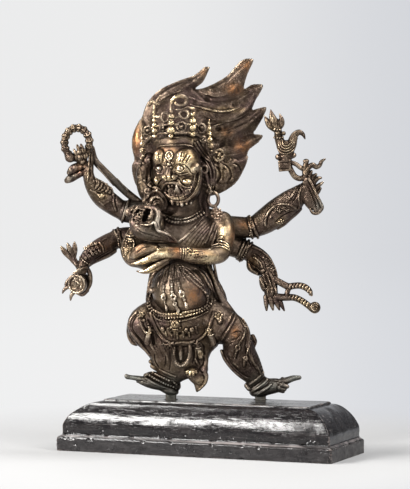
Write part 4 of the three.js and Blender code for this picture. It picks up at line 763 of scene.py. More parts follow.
h.sweep([P(x, y, d, 1.3) for (x, y), d in zip([(165.2, 192.4), (168.4, 196), (173.4, 198), (179.6, 198.2), (185.6, 196.2), (189.6, 192.6)], (24.2, 27.0, 29.0, 28.6, 26.6, 23.8))], 0.8)
for x, y, d, hh in ((168.8, 186.4, 30.4, 1.9), (172.0, 185.4, 31.6, 1.3), (180.2, 187.2, 30.2, 1.4), (183.2, 189.0, 28.6, 1.9), (169.4, 195.2, 28.0, 1.6), (178.6, 196.8, 28.8, 1.2)):
    h.ell(P(x, y, d), (1.05, 1.0, hh), k=0.3)
# moustache: creases running out under the nose, curling over the cheeks
h.groove([(177, 177.6), (179.6, 179.6), (181.6, 183), (184.4, 185.8), (189.4, 187.2)], 0.7, 1.5)
h.groove([(163.2, 178.8), (160.2, 181), (158.2, 184.4), (157.4, 188)], 0.8, 1.6)
h.lay([(176.4, 179.8), (179.4, 183), (183.4, 186.8), (188, 188.6), (191.6, 186.4)], 0.9, lift=0.3, k=0.5, taper=True)
h.lay([(163.6, 180.8), (161.8, 184.6), (160.4, 189.4), (162.8, 193.6)], 0.9, lift=0.3, k=0.5, taper=True)
# beard: a broad band from the ear round the jaw, edged and chased
h.lay([(199.2, 167), (199.4, 176), (197.6, 186), (192.8, 194.6), (185.6, 199.2), (178, 200.2), (171, 198)], 3.9, lift=0.0, k=1.2, even=9, flat=0.85)
h.lay([(195.2, 170.6), (194.8, 178), (191.8, 187.4), (186.6, 194.6), (179.6, 198.2)], 0.95, lift=0.0, k=0.7, taper=True)
h.lay([(199.4, 170), (199, 180), (195.6, 190.2), (189.4, 198), (181.6, 201.6)], 1.0, lift=0.15, k=0.6, taper=True)
for i in range(7):
    x0, y0 = ((199, 172), (198.8, 177.4), (197.6, 182.8), (195.2, 188), (191.4, 192.8), (186.6, 196.8), (181, 199.4))[i]
    h.groove([(x0 - 3.4, y0 - 1.6 - 0.5 * i), (x0 - 1.4, y0 + 1.2), (x0 + 0.4 - 0.5 * i, y0 + 2.8 + 0.1 * i)], 0.5, 0.7)
h.lay([(166.4, 198.6), (171.6, 201.4), (178, 202.2), (184.6, 201.2), (190.4, 198)], 1.7, lift=0.2, k=0.7, even=7)
h.groove([(168.4, 199.2), (173, 200.4), (179, 200.8), (185.6, 199.2)], 0.5, 0.8)
for x, y, r in ((181.8, 205.2, 1.9), (177.4, 204.6, 1.3), (190.4, 202.6, 1.4), (186.4, 203.8, 1.2), (172.4, 203.6, 1.3), (197.2, 197.6, 1.2), (201.6, 189.2, 1.3)):
    q, n, _ = h.seen([(x, min(y, 200.8))], far=-30)
    c = q[0] + A((0, 0, -1.0 * (y - min(y, 200.8)))) + n[0] * 0.6
    h.ell(c, (r, r, r * 1.2), k=0.3)
    h.ell(c + A((0, 2.5, 2.0)), r * 1.5, k=1)
h.sweep([P(201, 184, -6, 6), P(199.4, 197, -7, 5.6), P(198.4, 206, -7, 6), P(197, 216, -8, 8)], 2)            # dark of the hair behind the neck
h.sweep([P(150, 203, 3, 6), P(160, 206, 4, 6.6), P(171, 209, 4, 7)], 2)
h.sweep([P(204, 194, -9, 4.4, 5), P(205.2, 205, -9, 4.2, 5), P(206, 216, -9, 4.6, 5)], 1.5)
# ear with its hollow, lobe drawn down to the earring and its flower
h.ell(P(203, 170, 5), (4.4, 6, 8.0), HR, k=1)
h.ring(P(204.2, 169.2, 10.4), 3.3, 3.7, 1.2, k=0.4); h.ell(P(204.2, 169.2, 11), (2.3, 3.0, 2.6), k=0.3, dig=True); h.ell(P(203.6, 170.6, 8.6), 1.2, k=0.3)
h.sweep([P(206, 174.6, 8, 1.9), P(207.6, 180.6, 6, 2.0), P(208.6, 186, 5, 2.0), P(209, 190, 4.6, 2.4)], 1)
h.lay([(204.6, 176), (205, 182), (206.2, 188)], 1.1, lift=0.2, k=0.5, far=-25)
h.ell(P(209.1, 191.6, 5), (3.9, 3.2, 3.2), k=0.6)
h.ring(P(213.2, 199.4, 3), 5.2, 7.0, 1.85)
h.sweep([P(213.6, 206.2, 3, 1.6), P(215, 208.4, 5, 1.7), P(216.2, 211.4, 8, 2.2)], 0.5)
for x, y in ((206.4, 191.2), (209.2, 193.8), (212, 191.4), (209.4, 189.2)):
    h.ell(P(x, y, 7.4), 1.3, k=0.3)
c = A(P(216.6, 213.6, 11))
h.ell(c + A((0, 3, 0)), (4.6, 6.0, 5.4), k=0.4)
for R, n, rr, o in ((4.9, 9, 1.6, -0.6), (2.6, 5, 1.3, -2.4)):
    for i in range(n):
        a = 2 * math.pi * (i + 0.3) / n
        h.ell(c + A((R * math.cos(a), o, R * 1.05 * math.sin(a))), rr, k=0.25)
h.ell(c + A((0, -3.0, 0)), 1.4)
h.ell(P(218.4, 218.6, 11), (2.4, 2, 2.6), k=0.5)
# left of the face: hair in broad hanging curls, looped at the end over the bowl
h.sweep([P(148, 184, 10, 6, 5), P(149, 193, 13, 6.6, 5.5), P(152.4, 201, 15, 8, 5.5), P(153, 208, 13, 8, 5)], 2)
h.sweep([P(157, 190, 15, 4, 4), P(161, 198, 17, 4.4, 4.4), P(163.6, 207, 15, 4, 4)], 2)
for st, rr in (([(145.4, 207), (146.2, 199), (149.6, 193.4), (155.6, 191), (161.6, 193.4), (165.6, 199), (167, 206)], 1.9), ([(149.6, 207), (151, 200.6), (155, 196.6), (160, 197.4), (163, 202), (163.6, 207)], 1.6),
               ([(142.6, 197), (146.6, 201.4), (149, 207)], 1.5), ([(154, 207), (155.6, 202.6), (158.6, 201.6), (160.4, 205)], 1.4), ([(150.6, 188.6), (154.6, 187), (159, 188.4), (163, 192.6)], 1.3)):
    h.lay(st, rr, lift=0.2, k=0.7, far=-25, even=5, taper=True)                                # a lock turned over in a loop
for st in ([(147.6, 206), (148.6, 199.6), (152.6, 194.8), (158.6, 194.6), (163.4, 199.6)], [(152, 206), (153.4, 201), (156.6, 199.2), (161, 201.6)]):
    h.groove(st, 0.6, 0.9, far=-25)
for x, y, R in ((147.4, 191.4, 2.8), (144.8, 199, 2.4), (151, 184.6, 2.2)):
    coil(x, y, R, 1.1, 0.3, 1.5, x, far=-25, shrink=0.5, k=0.6)
for st in ([(147.6, 160), (143.6, 167), (147.4, 174), (142.4, 181), (146.4, 188)], [(152.6, 163), (149.0, 171), (153, 179), (150, 186)], [(141.2, 166), (139.2, 173), (142, 180), (140.2, 187), (144, 195)]):
    h.lay(st, 2.1, lift=-0.9, k=1.6, far=-25, taper=True)
rnd_h = np.random.default_rng(5)
for i in range(90):
    x, y = (rnd_h.uniform(138, 164), rnd_h.uniform(156, 207)) if i % 2 else (rnd_h.uniform(205, 217), rnd_h.uniform(158, 190))
    q, n, ok = h.seen([(x, y)], far=-30)
    if ok[0] and not (x > 154 and y < 187):
        rr = rnd_h.uniform(0.8, 1.5)
        h.ell(q[0] - n[0] * rr * 0.3, (rr, rr, rr * 1.4), rot(ay=rnd_h.uniform(-40, 40)), k=0.7)
for st in ([(203.6, 158), (207.4, 164), (210.4, 171), (210.6, 179)], [(207.6, 157), (212, 164), (214.4, 172), (214.2, 181)], [(211.2, 184), (210.4, 190), (211.6, 194)]):
    h.lay(st, 1.3, lift=0.0, k=0.7, far=-30, taper=True)
    h.groove([(x + 1.9, y + 0.6) for x, y in st], 0.5, 0.9, far=-30)
# strands swept up from the hairline behind the crown
for i in range(9):
    x = 152 + 6.2 * i
    h.groove([(x, 137), (x + (x - 177) * 0.02 + 0.8, 130), (x + (x - 177) * 0.08, 123.6)], 0.7, 0.8, far=-30)
for o in (0, 3.2, 6.4):
    h.lay([(194 + o * 0.8, 142.4 - o * 0.5), (198.6 + o * 0.8, 150 - o * 0.45), (204 + o * 0.7, 156.8 - o * 0.4), (210 + o * 0.4, 161.6 - o * 0.2)], 1.35, lift=0.25, k=0.5, far=-25, even=5)

# tiara: flat low band over the hairline, five beaded leaves, looped ornaments between them, a curl on the middle one
hair_line = [(153.4, 147.0), (158, 142.6), (165, 141.6), (173, 141.4), (181, 141.2), (188, 141.0), (194, 143.6)]
h.lay(hair_line, 5.4, lift=-0.05, k=0.8, even=11, flat=0.36)
for o, rr in ((-3.8, 0.8), (3.7, 0.95)):
    h.lay([(x, y + o) for x, y in hair_line], rr, lift=0.5, k=0.4, even=7)


def pile(F, beads, dep0, dep1):
    """A leaf of the crown: beads (px, py, radius) on a spine, from tip to foot, with pearls at their flanks."""
    n = len(beads) - 1
    pts = [A(P(x, y, dep0 + (dep1 - dep0) * i / n)) for i, (x, y, _) in enumerate(beads)]
    F.sweep([(*c, max(0.8, rr * 0.45)) for c, (_, _, rr) in zip(pts, beads)], 0.2, step=99)
    for c, e, (_, _, rr) in zip(pts, pts[1:] + pts[-1:], beads):
        F.ell(c, (rr * 1.04, rr, rr * 0.9), k=0.12)
        F.ell(c * 0.5 + e * 0.5, (rr * 0.62, rr * 0.62, 0.55), k=0.1)                # thin collar between two beads
        if rr > 3:
            for sg in (-1, 0, 1):
                F.ell(c + A((sg * rr * 0.62, -rr * 0.72, -rr * 0.35 + 0.1 * abs(sg))), rr * 0.2, k=0.1)


pile(h, [(142.0, 128.4, 1.2), (142.1, 132.4, 1.6), (142.3, 138.2, 2.2), (142.6, 144.2, 2.8), (143, 150.6, 3.5), (143.3, 156, 1.9)], 5, 12)
pile(h, [(154.0, 108.6, 1.2), (154.0, 112.2, 1.5), (154.1, 116.2, 1.9), (154.2, 120.7, 2.2), (154.3, 125.2, 2.3), (154.8, 130.9, 3.4), (155, 136.4, 2.4)], 25, 26)
pile(h, [(171.2, 111.6, 1.9), (171.3, 116.3, 3.3), (171, 123.1, 3.5), (170.9, 130.3, 4.1), (170.8, 136.2, 2.5)], 32, 33)
pile(h, [(193, 108.6, 1.9), (193, 114.0, 3.0), (193, 120.8, 3.4), (193, 127.6, 3.8), (193, 134.0, 3.0)], 27, 29)
pile(h, [(209.0, 119.6, 0.9), (209.2, 123.4, 1.6), (209.5, 128.6, 2.2), (209.9, 134.2, 2.2), (210.3, 139.6, 2.5), (211, 145.8, 3.6), (211.4, 151.0, 2.0)], 7, 9)
# curl on the middle leaf, closing on itself, and the rod from it to the next leaf
h.sweep([P(171.6, 113, 32, 1.9), P(171.2, 106.6, 32, 1.6), P(172, 101.2, 32, 1.7), P(174.8, 97.6, 31.6, 1.9), P(180, 96, 31, 2.1), P(185, 97.6, 30.4, 2.2), P(186.6, 101, 30, 2.1), P(184.2, 104.4, 30, 1.9), P(179.4, 105.4, 30.4, 1.7), P(175.4, 104, 31, 1.4), P(174.6, 101.4, 31, 1.1)], 0.3)
h.sweep([P(176.4, 109.6, 31, 1.2), P(181, 109.4, 30.4, 1.3), P(186, 107.8, 29.6, 1.3), P(190.2, 108.0, 28.6, 1.4), P(193, 109.4, 27.6, 1.4)], 0.3)
for x, y in ((175.4, 97.6), (180, 96.0), (184.6, 97.4)):
    h.ell(P(x, y, 32.6), 1.2, k=0.2)
# looped ornaments between the leaves
for x, y, d, R, fill in ((165.2, 117.4, 29, (3.8, 4.4), 1.3), (184.0, 114.4, 30, (4.4, 4.0), 1.2), (163.6, 127.4, 28, (3.4, 3.8), 2.0), (181.4, 126.8, 31, (4.2, 4.6), 2.5), (201.6, 128.4, 24, (3.6, 4.2), 2.4), (147.6, 130.6, 16, (3.2, 3.8), 1.9),
                         (148.4, 141.2, 15, (2.4, 2.8), 1.5), (202.8, 139.4, 20, (2.6, 2.8), 1.5)):
    c = A(P(x, y, d))
    if y < 120:
        h.ell(c + A((0, 3.5, 0)), (R[0] - 0.4, 5.5, R[1] - 0.4), k=0.5, dig=True)
        h.ring(c, R[0], R[1], 1.3, k=0.3)
        continue
    h.ring(c, R[0], R[1], 1.25, k=0.3)
    h.ell(c + A((0, -0.4, 0)), (fill * 1.15, fill * 0.9, fill * 1.15), k=0.3)
    for i in range(6):
        a = 2 * math.pi * (i + 0.5) / 6
        h.ell(c + A((R[0] * math.cos(a), -1.0, R[1] * math.sin(a))), 0.85, k=0.15)
    h.ell(c + A((0, -fill * 0.85 - 0.4, 0)), fill * 0.4, k=0.15)
for a, e in ((P(159, 134, 28), P(167.6, 133, 31)), (P(175, 133, 33), P(190, 133, 30)), (P(196, 133.6, 27), P(208.6, 142, 12)), (P(151, 136.6, 23), P(143.4, 146, 12)), (P(156, 126.6, 26), P(168, 124.6, 31)), (P(174.6, 124.6, 32), P(190, 124.6, 29)),
             (P(195.6, 124.6, 27), P(208.2, 131, 10)), (P(144, 134.6, 9), P(152.6, 127.6, 24)), (P(156, 116.4, 26), P(161.6, 117.4, 28)), (P(187.6, 114.4, 29), P(191.6, 114, 28)),
             (P(173, 118, 31), P(180, 116.4, 30)), (P(168.6, 116, 30), P(170.6, 113.6, 31)), (P(212.6, 149.6, 7), P(217, 153.4, 3)), (P(154, 109, 25), P(154.4, 104, 24))):
    h.sweep([(*a, 1.3), (*e, 1.2)], 0.4)
# bows: over the second leaf, and beside the last
h.ell(P(154.8, 102.4, 24), 1.9, k=0.4)
h.sweep([P(149.8, 104.6, 24, 1.5), P(152.4, 101.6, 24.6, 1.4), P(155.6, 103.4, 25, 1.3), P(158.4, 98.8, 24, 1.4), P(160.4, 95.8, 23, 1.0)], 0.3)
h.sweep([P(150.6, 100.6, 24, 1.3), P(154.8, 103, 25, 1.4), P(158.8, 104.6, 24, 1.2)], 0.3)
for x, y, d, R in ((219.0, 154.6, 3, 2.7), (222.4, 156.6, 2, 1.9), (216.4, 152.6, 4, 1.8), (218.0, 158.2, 3, 1.7), (221.6, 152.2, 2, 1.4), (143.2, 150, 14, 2.0)):
    h.ell(P(x, y, d), (R, R * 0.9, R * 0.85), rot(ay=7 * x), k=0.5)
    h.ell(P(x - R * 0.3, y + R * 0.2, d + R * 0.9), R * 0.42, k=0.2)
h.sweep([P(214, 152.6, 4, 1.3), P(219.4, 149.6, 3, 1.5), P(223.6, 153, 2, 1.4), P(222.6, 158.6, 2, 1.4), P(217, 160.6, 3, 1.3), P(213.6, 157.6, 4, 1.2)], 0.3)
for x, y, rr in ((141.6, 159, 1.7), (143.8, 163.6, 1.9), (147, 166.4, 1.7), (149.4, 161.6, 1.5), (140.4, 164, 1.4)):
    h.ell(P(x, y, 11), rr, k=0.5)
print("head %.1f s" % (time.time() - T0), h.n)

# =================================================================================================
# flame of hair behind the head
# =================================================================================================
m = Field(*window(126, 272, 54, 206, -33, 12), 0.55 * COARSE)


def leaf(F, outline, depth, rib, k=0.0, round_to=9.0):
    """A plate in the frontal plane: outline in the frame, middle plane at depth(px, py), half-thickness rib(distance from the edge)."""
    o = smooth([(*q, 0.0) for q in outline + outline[:1]], 1.5)[:, :2]
    w = np.array([P(x, y, depth) for x, y in o])
    sl = F.cut(w.min(axis=0) - [0, 14, 0], w.max(axis=0) + [0, 14, 0], 2)
    X, Y, Z = F.xyz(sl)
    gx, gz = np.meshgrid(X.ravel(), Z.ravel(), indexing="ij")
    ax, az = w[:, 0], w[:, 2]
    bx, bz = np.roll(ax, -1), np.roll(az, -1)
    best = np.full(gx.shape, 1e9, F32)
    inside = np.zeros(gx.shape, bool)
    for i in range(len(ax)):
        ex, ez = bx[i] - ax[i], bz[i] - az[i]
        L = ex * ex + ez * ez
        if L < 1e-9:
            continue
        t = np.clip(((gx - ax[i]) * ex + (gz - az[i]) * ez) / L, 0, 1)
        np.minimum(best, (gx - ax[i] - t * ex) ** 2 + (gz - az[i] - t * ez) ** 2, out=best)
        c = (az[i] > gz) != (bz[i] > gz)
        if c.any():
            inside ^= c & (gx < ex * (gz - az[i]) / (ez if abs(ez) > 1e-9 else 1e-9) + ax[i])
    e = np.sqrt(best)
    T = np.where(inside, rib(e), 0)[:, None, :]
    out = np.where(inside, 0, e)[:, None, :]
    v = np.abs(Y - F32(w[:, 1].mean())) - T
    fld = np.where(out > 0, np.sqrt(out ** 2 + np.maximum(v, 0) ** 2), v * 0.8).astype(F32)
    F.put(sl, fld, k)


EDGE = [(144, 196), (137, 187), (133, 176), (132, 166), (134.4, 159.6), (132.4, 150), (131.8, 141), (134.4, 131), (139.0, 121.4), (142, 117.0), (147.4, 102.8), (158.8, 90.4), (176, 81.8), (194, 75.2),
        (204.6, 67.2), (209.2, 67.2), (209.0, 69.4), (203.2, 81.4), (195.6, 88.4), (203, 88.2), (216, 82.6), (228, 75.0), (238, 63.6), (244.6, 59.2), (251.6, 58.8), (253.2, 61.4), (246.9, 75.6), (244.2, 88.4),
        (252.5, 84.6), (262.6, 84.8), (260.4, 92.2), (253.6, 102), (252.4, 109.4), (259, 108.2), (266.2, 107.4), (263.3, 116.7), (256.5, 128.4), (253.6, 133.8), (262.6, 135.4), (258.4, 142.2), (249.4, 149.4), (247.2, 155.6),
        (248.2, 157), (244.7, 167.6), (236.9, 181.4), (228, 189), (218, 194), (205, 197), (190, 200), (165, 202)]
leaf(m, EDGE, -9, lambda e: 1.0 + 5.6 * (1 - np.exp(-e / 9.0)))
m.ell(P(186, 148, -12), (38, 11, 40), k=8)                                         # thicker behind the head
m.ell(P(222, 126, -11), (26, 7.5, 24), k=8)
m.ell(P(150, 140, -9), (14, 7.5, 22), k=5)
m.ell(P(150, 172, -8), (14, 8.5, 18), k=5)
m.ell(P(222, 168, -12), (18, 7.5, 16), k=5)
# fine strands, the edges of the tongues told by soft valleys that run in from the notches
m.lay([(189, 104.2), (197, 106.4), (205, 108.8), (214, 111), (224, 111.6), (232, 110), (240, 107)], 1.5, lift=0.25, k=0.5, taper=True, far=-34, even=7)
for st, rr, kk in (([(205, 91), (219, 93.4), (232, 90), (241, 82)], 5.0, 4.0), ([(206, 117), (224, 119.4), (240, 114), (252, 104), (258, 94)], 4.4, 4.0), ([(206, 134), (226, 135), (244, 128), (256, 116)], 4.4, 4.0),
                   ([(212, 150), (230, 151.6), (246, 146), (255, 139)], 3.8, 3.5), ([(152, 112), (162, 99), (178, 88), (196, 80)], 4.4, 4.0), ([(138, 128), (136.4, 139), (137.6, 151)], 3.6, 3.0), ([(138, 167), (139, 178), (144.6, 189)], 3.4, 3.0)):
    m.lay(st, rr, lift=-0.74, k=kk, taper=True, far=-34, even=11)
for st, w, d in (([(195.6, 89.4), (204, 97), (218, 100.8), (233, 98), (244, 89.6)], 2.2, 2.0), ([(200, 115.6), (212, 123.6), (228, 125), (241, 118), (252.6, 110)], 2.0, 1.9), ([(208, 139), (222, 143.6), (238, 141.4), (253.6, 136.4)], 2.0, 1.9),
                 ([(214, 158), (228, 160.4), (246.8, 156.6)], 1.8, 1.6), ([(134.6, 159.6), (140.4, 161.6), (147, 167)], 1.8, 2.0), ([(142, 118.8), (145.6, 124.6), (146.6, 135)], 1.6, 1.5), ([(151, 103), (161.6, 92.6), (176, 84.4), (193, 78.4), (204, 71.4)], 1.5, 0.9),
                 ([(213, 87), (227, 79), (239, 68.6), (247, 62.4)], 1.6, 1.0), ([(234, 105), (246, 98.4), (257, 88.4)], 1.3, 0.9), ([(236, 127), (249, 120), (260.6, 110.6)], 1.3, 0.9), ([(230, 131), (226, 140), (218, 148)], 1.2, 0.6)):
    m.groove(st, w * 1.1, d * 0.72, far=-34, k=2.2)
for st in ([(208, 128), (225, 122.4), (240, 117.6), (251, 109.6)], [(200, 92), (214, 96.6), (230, 94)], [(212, 133), (230, 131), (246, 124)], [(186, 96), (200, 101.6), (214, 104)], [(216, 155), (232, 155.6), (246, 151)], [(160, 100), (172, 93.6), (186, 89)]):
    m.lay(st, 0.95, lift=-0.1, k=0.8, taper=True, far=-34, even=9)
# matted curls low on the right
rnd_m = np.random.default_rng(21)
for i in range(34):
    x, y = rnd_m.uniform(208, 238), rnd_m.uniform(160, 192)
    if (x - 205) * 0.5 + (y - 160) * 0.9 > 32:
        continue
    q, n, ok = m.seen([(x, y)], far=-34)
    rr = rnd_m.uniform(1.4, 2.6)
    m.ell(q[0] - n[0] * rr * 0.45, (rr, rr * 0.8, rr * 1.4), rot(ay=rnd_m.uniform(-40, 60)), k=1.2)
for st in ([(209, 164), (216, 168), (218, 176), (213, 184)], [(218, 162), (226, 167), (229, 175), (225, 183)], [(228, 162), (236, 165), (239, 171)], [(208, 176), (212, 186), (209, 193)]):
    m.lay(st, 1.6, lift=-0.05, k=0.9, taper=True, far=-34)
    m.groove([(x + 2.4, y + 0.4) for x, y in st], 0.8, 1.0, far=-34, k=0.8)
for i in range(26):                                                                    # hammered and pitted cast skin
    x, y = rnd_m.uniform(190, 256), rnd_m.uniform(78, 156)
    q, n, ok = m.seen([(x, y)], far=-34)
    if ok[0]:
        rr = rnd_m.uniform(3, 7)
        m.ell(q[0] + n[0] * (rr * 0.9 - 0.18), (rr, rr * 0.9, rr * 0.7), rot(ay=rnd_m.uniform(-30, 30)), k=1.5, dig=True)
print("flame %.1f s" % (time.time() - T0), m.n)


def arm(F, st, k=3.0):
    F.sweep(st, k)


def rope_round(F, a, c, R, r, depth, k=0.3):
    """A true ring round a limb from a to c, at the first point."""
    a, c = A(a), A(c)
    T = (c - a) / np.linalg.norm(c - a)
    B = np.array([0, 1.0, 0]) - T * T[1]
    B /= np.linalg.norm(B)
    N = np.cross(T, B)
    F.sweep([(*(a + N * R * math.cos(t) + B * depth * math.sin(t)), r) for t in np.linspace(0, 2 * math.pi, 30)], k, step=99)


# =================================================================================================
# right arms of the figure: rosary and rod above, hand drum below
# =================================================================================================
# the back of the flame: locks drawn up and over towards the tips
for st in ([(152, 188), (145, 165), (144, 140), (152, 116), (167, 99), (188, 87), (204, 73)], [(160, 194), (152, 170), (151, 146), (159, 123), (176, 106), (200, 95), (222, 86), (243, 68)],
           [(170, 197), (162, 176), (161, 152), (169, 131), (187, 115), (212, 105), (238, 97), (256, 88)], [(180, 199), (173, 180), (173, 158), (181, 139), (198, 125), (222, 117), (244, 113), (260, 109)],
           [(190, 200), (185, 184), (186, 164), (195, 148), (212, 138), (234, 134), (256, 136)], [(200, 200), (197, 186), (200, 171), (210, 158), (226, 151), (243, 151)], [(210, 198), (209, 187), (215, 175), (228, 168), (238, 165)]):
    m.groove(st, 1.5, 1.6, near=-75, far=55)
    m.lay([(x + 4.6, y + 3.4) for x, y in st[:-1]], 2.0, lift=0.1, k=1.5, near=-75, far=55, taper=True)
    m.groove([(x + 2.2, y + 1.6) for x, y in st[1:-1]], 0.8, 0.6, near=-75, far=55)

l = Field(*window(54, 168, 119, 305, -30, 26), 0.45 * COARSE)
arm(l, [P(164, 214, -8, 11), P(131, 211.5, -8, 10.4), P(121, 209.6, -8, 9.8), P(112, 204, -6, 10.4), P(103, 197, -3, 10.8), P(95, 188.5, 0, 8.8), P(89.6, 179.6, 3, 6.2), P(87.6, 169, 5, 5.2)])
arm(l, [P(164, 237, -12, 11), P(124, 237.5, -13, 10.4), P(115, 240, -13, 9.4), P(107, 244.5, -10, 10.2), P(97, 250, -5, 9.6), P(89, 256.5, 0, 8), P(84, 263, 4, 6), P(81.5, 271, 6, 5)])
l.sweep([P(126, 211.4, -8, 11.2), P(133, 212.2, -8, 11.4), P(142, 213, -8, 11.4)], 0.6)
for (x, y, d), (x2, y2, d2), R, D, wr in (((125.6, 211.3, -8), (119, 209.2, -8), 11.2, 11.2, 1.5),):
    rope_round(l, P(x, y, d), P(x2, y2, d2), R, wr, D)
for (x, y, d), (x2, y2, d2), R, wr in (((120.6, 238.2, -13), (114, 240, -13), 10.6, 1.5), ((117.2, 239.2, -13), (110.6, 242, -12), 10.0, 1.2)):
    rope_round(l, P(x, y, d), P(x2, y2, d2), R, wr, R)
l.beads([(119.4, 230.6), (118.4, 236), (118.8, 242), (120.2, 247)], 0.95, 2.0, lift=1.2, far=-40)
# rope wound round the forearm near the wrist, bud, folds of the sleeve
for i in range(5):
    o = 3.3 * i
    l.lay([(94.6 + o, 177.8 + o * 0.5), (97.4 + o, 181.4 + o * 0.5), (97.6 + o, 185.6 + o * 0.45), (94.8 + o, 188.8 + o * 0.35)], 2.8, lift=0.15, k=0.3, far=-40, even=3, taper=True)
l.groove([(91.4, 190), (97, 192.8), (104.6, 194.4)], 0.9, 1.5, far=-40)
l.lay([(89.4, 189.4), (94, 191.8), (98.6, 194.6)], 1.2, lift=0.4, k=0.4, far=-40)
q, n, _ = l.seen([(101.6, 196)], far=-40)
l.ell(q[0] + n[0] * 0.8, (3.2, 2.4, 2.9), k=0.4)
l.ell(q[0] + n[0] * 1.6 + A((-3.0, 0, 1.0)), (1.9, 1.5, 1.4), k=0.4)
for i in range(5):
    a = 2 * math.pi * i / 5
    l.ell(q[0] + n[0] * 2.2 + A((2.0 * math.cos(a), 0, 1.8 * math.sin(a))), 0.95, k=0.2)
l.lay([(110.6, 187.2), (113.6, 193), (113, 199.6), (113.6, 205.6), (117, 211.6)], 1.5, lift=0.2, k=0.5, far=-40)
l.groove([(112.6, 188.6), (115.6, 194), (115, 200), (115.8, 205)], 0.8, 1.0, far=-40)
l.lay([(101, 205.4), (106.6, 203), (111.4, 200)], 1.2, lift=0.05, k=0.7, far=-40, taper=True)
l.lay([(96.6, 200.6), (101, 202), (106, 207.6)], 1.1, lift=0.0, k=0.7, far=-40, taper=True)
# sleeve of the lower forearm: hem stepping out below, a band of chased curls across it
l.sweep([P(114.6, 251, -9, 2.4, 4), P(108.6, 255, -8, 2.5, 5), P(101, 258.6, -5, 2.3, 5), P(93, 262.4, -1, 2.1, 4), P(88, 266, 2, 1.8, 3)], 1.2)
l.groove([(111.6, 249.6), (103, 254.4), (94, 259.4)], 0.9, 1.1, far=-40)
l.lay([(108, 237.4), (101.6, 240.6), (95, 245.4)], 1.1, lift=0.0, k=0.8, far=-40, taper=True)
for x, y, rr in ((85.6, 248.6, 1.7), (88.6, 246.4, 1.6), (92, 244.6, 1.6), (95.6, 243.6, 1.4), (86.6, 252.6, 1.6), (90, 250.6, 1.8), (93.6, 248.8, 1.6), (97, 247.4, 1.5), (89, 256, 1.7), (92.6, 254, 1.5), (96, 252.4, 1.5), (86, 258.4, 1.3), (99.6, 250.6, 1.2)):
    c, M = on(x, y, 0.0, l, -40)
    l.ell(c, (rr * 0.8, 1.0, rr * 0.8), M, k=0.4)
    coil(x, y, rr, 0.6, 0.7, 1.4, x, l, 0.3, -40, shrink=0.5)
l.lay([(82.6, 250.4), (86.6, 255), (90, 260.4)], 1.2, lift=0.3, k=0.4, far=-40)
l.lay([(99.6, 242.6), (102.6, 247), (103.4, 251.6)], 1.1, lift=0.3, k=0.4, far=-40)
l.beads([(80.6, 257.4), (84, 261.4), (88.6, 264)], 1.1, 2.3, lift=0.5, far=-40)

# ring of skull beads, close set, with the hand that holds it
c = A(P(77, 143.2, 4))
l.ring(c, 12.6, 15.4, 3.5)
for i in range(15):
    a = 2 * math.pi * (i + 0.4) / 15
    o = c + A((12.6 * math.cos(a), 0, 15.4 * math.sin(a)))
    t = np.degrees(math.atan2(math.sin(a) * 12.6, math.cos(a) * 15.4))
    M = rot(ay=-t)
    l.ell(o, (4.5, 4.3, 3.1), M, k=0.35)
    for s in (-1, 1):
        l.ell(o + M @ A((1.6 * s, -3.7, 0.7)), 0.8, dig=True, k=0.2)
        l.ell(o + M @ A((4.2, 1.2 * s, 0)), 0.7, dig=True, k=0.2)
    l.ell(o + M @ A((0, -4.1, -1.3)), (1.5, 0.9, 0.7), M, k=0.2)
l.ell(P(70.2, 157.4, 6), (5.4, 4.4, 5.2), k=0.8)                                     # guru bead at the hand
l.ell(P(82, 157, 6), (5.6, 4.4, 7.0), rot(ay=-14), k=1.2)                            # palm
l.sweep([P(85, 165, 5, 4.6, 4), P(87.6, 174, 4, 4.8, 4.4)], 1.5)
for st in ([P(81, 153, 8, 2.4), P(78.6, 148.6, 9, 2.0), P(77.2, 145.4, 9, 1.2)], [P(84, 152, 7, 2.4), P(82, 147.4, 8, 1.9), P(81, 144.6, 8, 1.1)], [P(79.4, 157, 9, 2.3), P(75.6, 153, 9.4, 1.8), P(74, 149.6, 9, 1.1)]):
    l.sweep(st, 0.5)
for x, y, d, rr in ((79.2, 152.6, 9.4, 3.1), (83.6, 151.2, 9, 2.9), (80.4, 157.6, 10, 3.2), (85.4, 156.2, 9, 3.0), (77.0, 157, 8.6, 2.6), (82.6, 161.6, 8.6, 3.0)):
    l.ell(P(x, y, d), (rr, rr * 0.8, rr * 1.05), k=0.6)
# scabbard end: two pods side by side
l.sweep([P(87, 164, 3, 3.6, 3.4), P(81, 166, 5, 4.4, 4.0), P(73.6, 168.8, 5.6, 4.6, 4.0), P(69.6, 172.6, 5, 3.0, 3)], 0.6)
l.sweep([P(86, 170, 3, 3.6, 3.4), P(78, 174.6, 4, 3.8, 3.6), P(70.6, 178.4, 4.4, 4.2, 3.6), P(67, 180.6, 4, 2.9, 2.8)], 0.5)
l.groove([(86, 168), (80, 170.6), (73.6, 173.8), (68.6, 176.6)], 0.8, 1.6, far=-40)
for x, y, rr in ((70, 169.8, 2.6), (75.4, 167.6, 2.8), (80.6, 167.4, 2.4), (69.4, 179.2, 3.2), (75.2, 176, 2.8), (81, 172.8, 2.4)):
    c, M = on(x, y, -rr * 0.35, l, -40)
    l.ell(c, (rr, rr * 0.7, rr), M, k=1.0)
l.lay([(89.6, 152), (88.4, 162), (88.4, 172), (87.4, 182)], 1.2, lift=0.4, k=0.4, far=-40)
l.groove([(90.4, 154), (90.4, 166), (90.6, 177)], 0.8, 1.3, far=-40)
l.sweep([P(91.2, 149, 1, 2.0, 3), P(91.6, 162, 1, 2.1, 3), P(91.4, 177, 1, 2.2, 3)], 0.5)
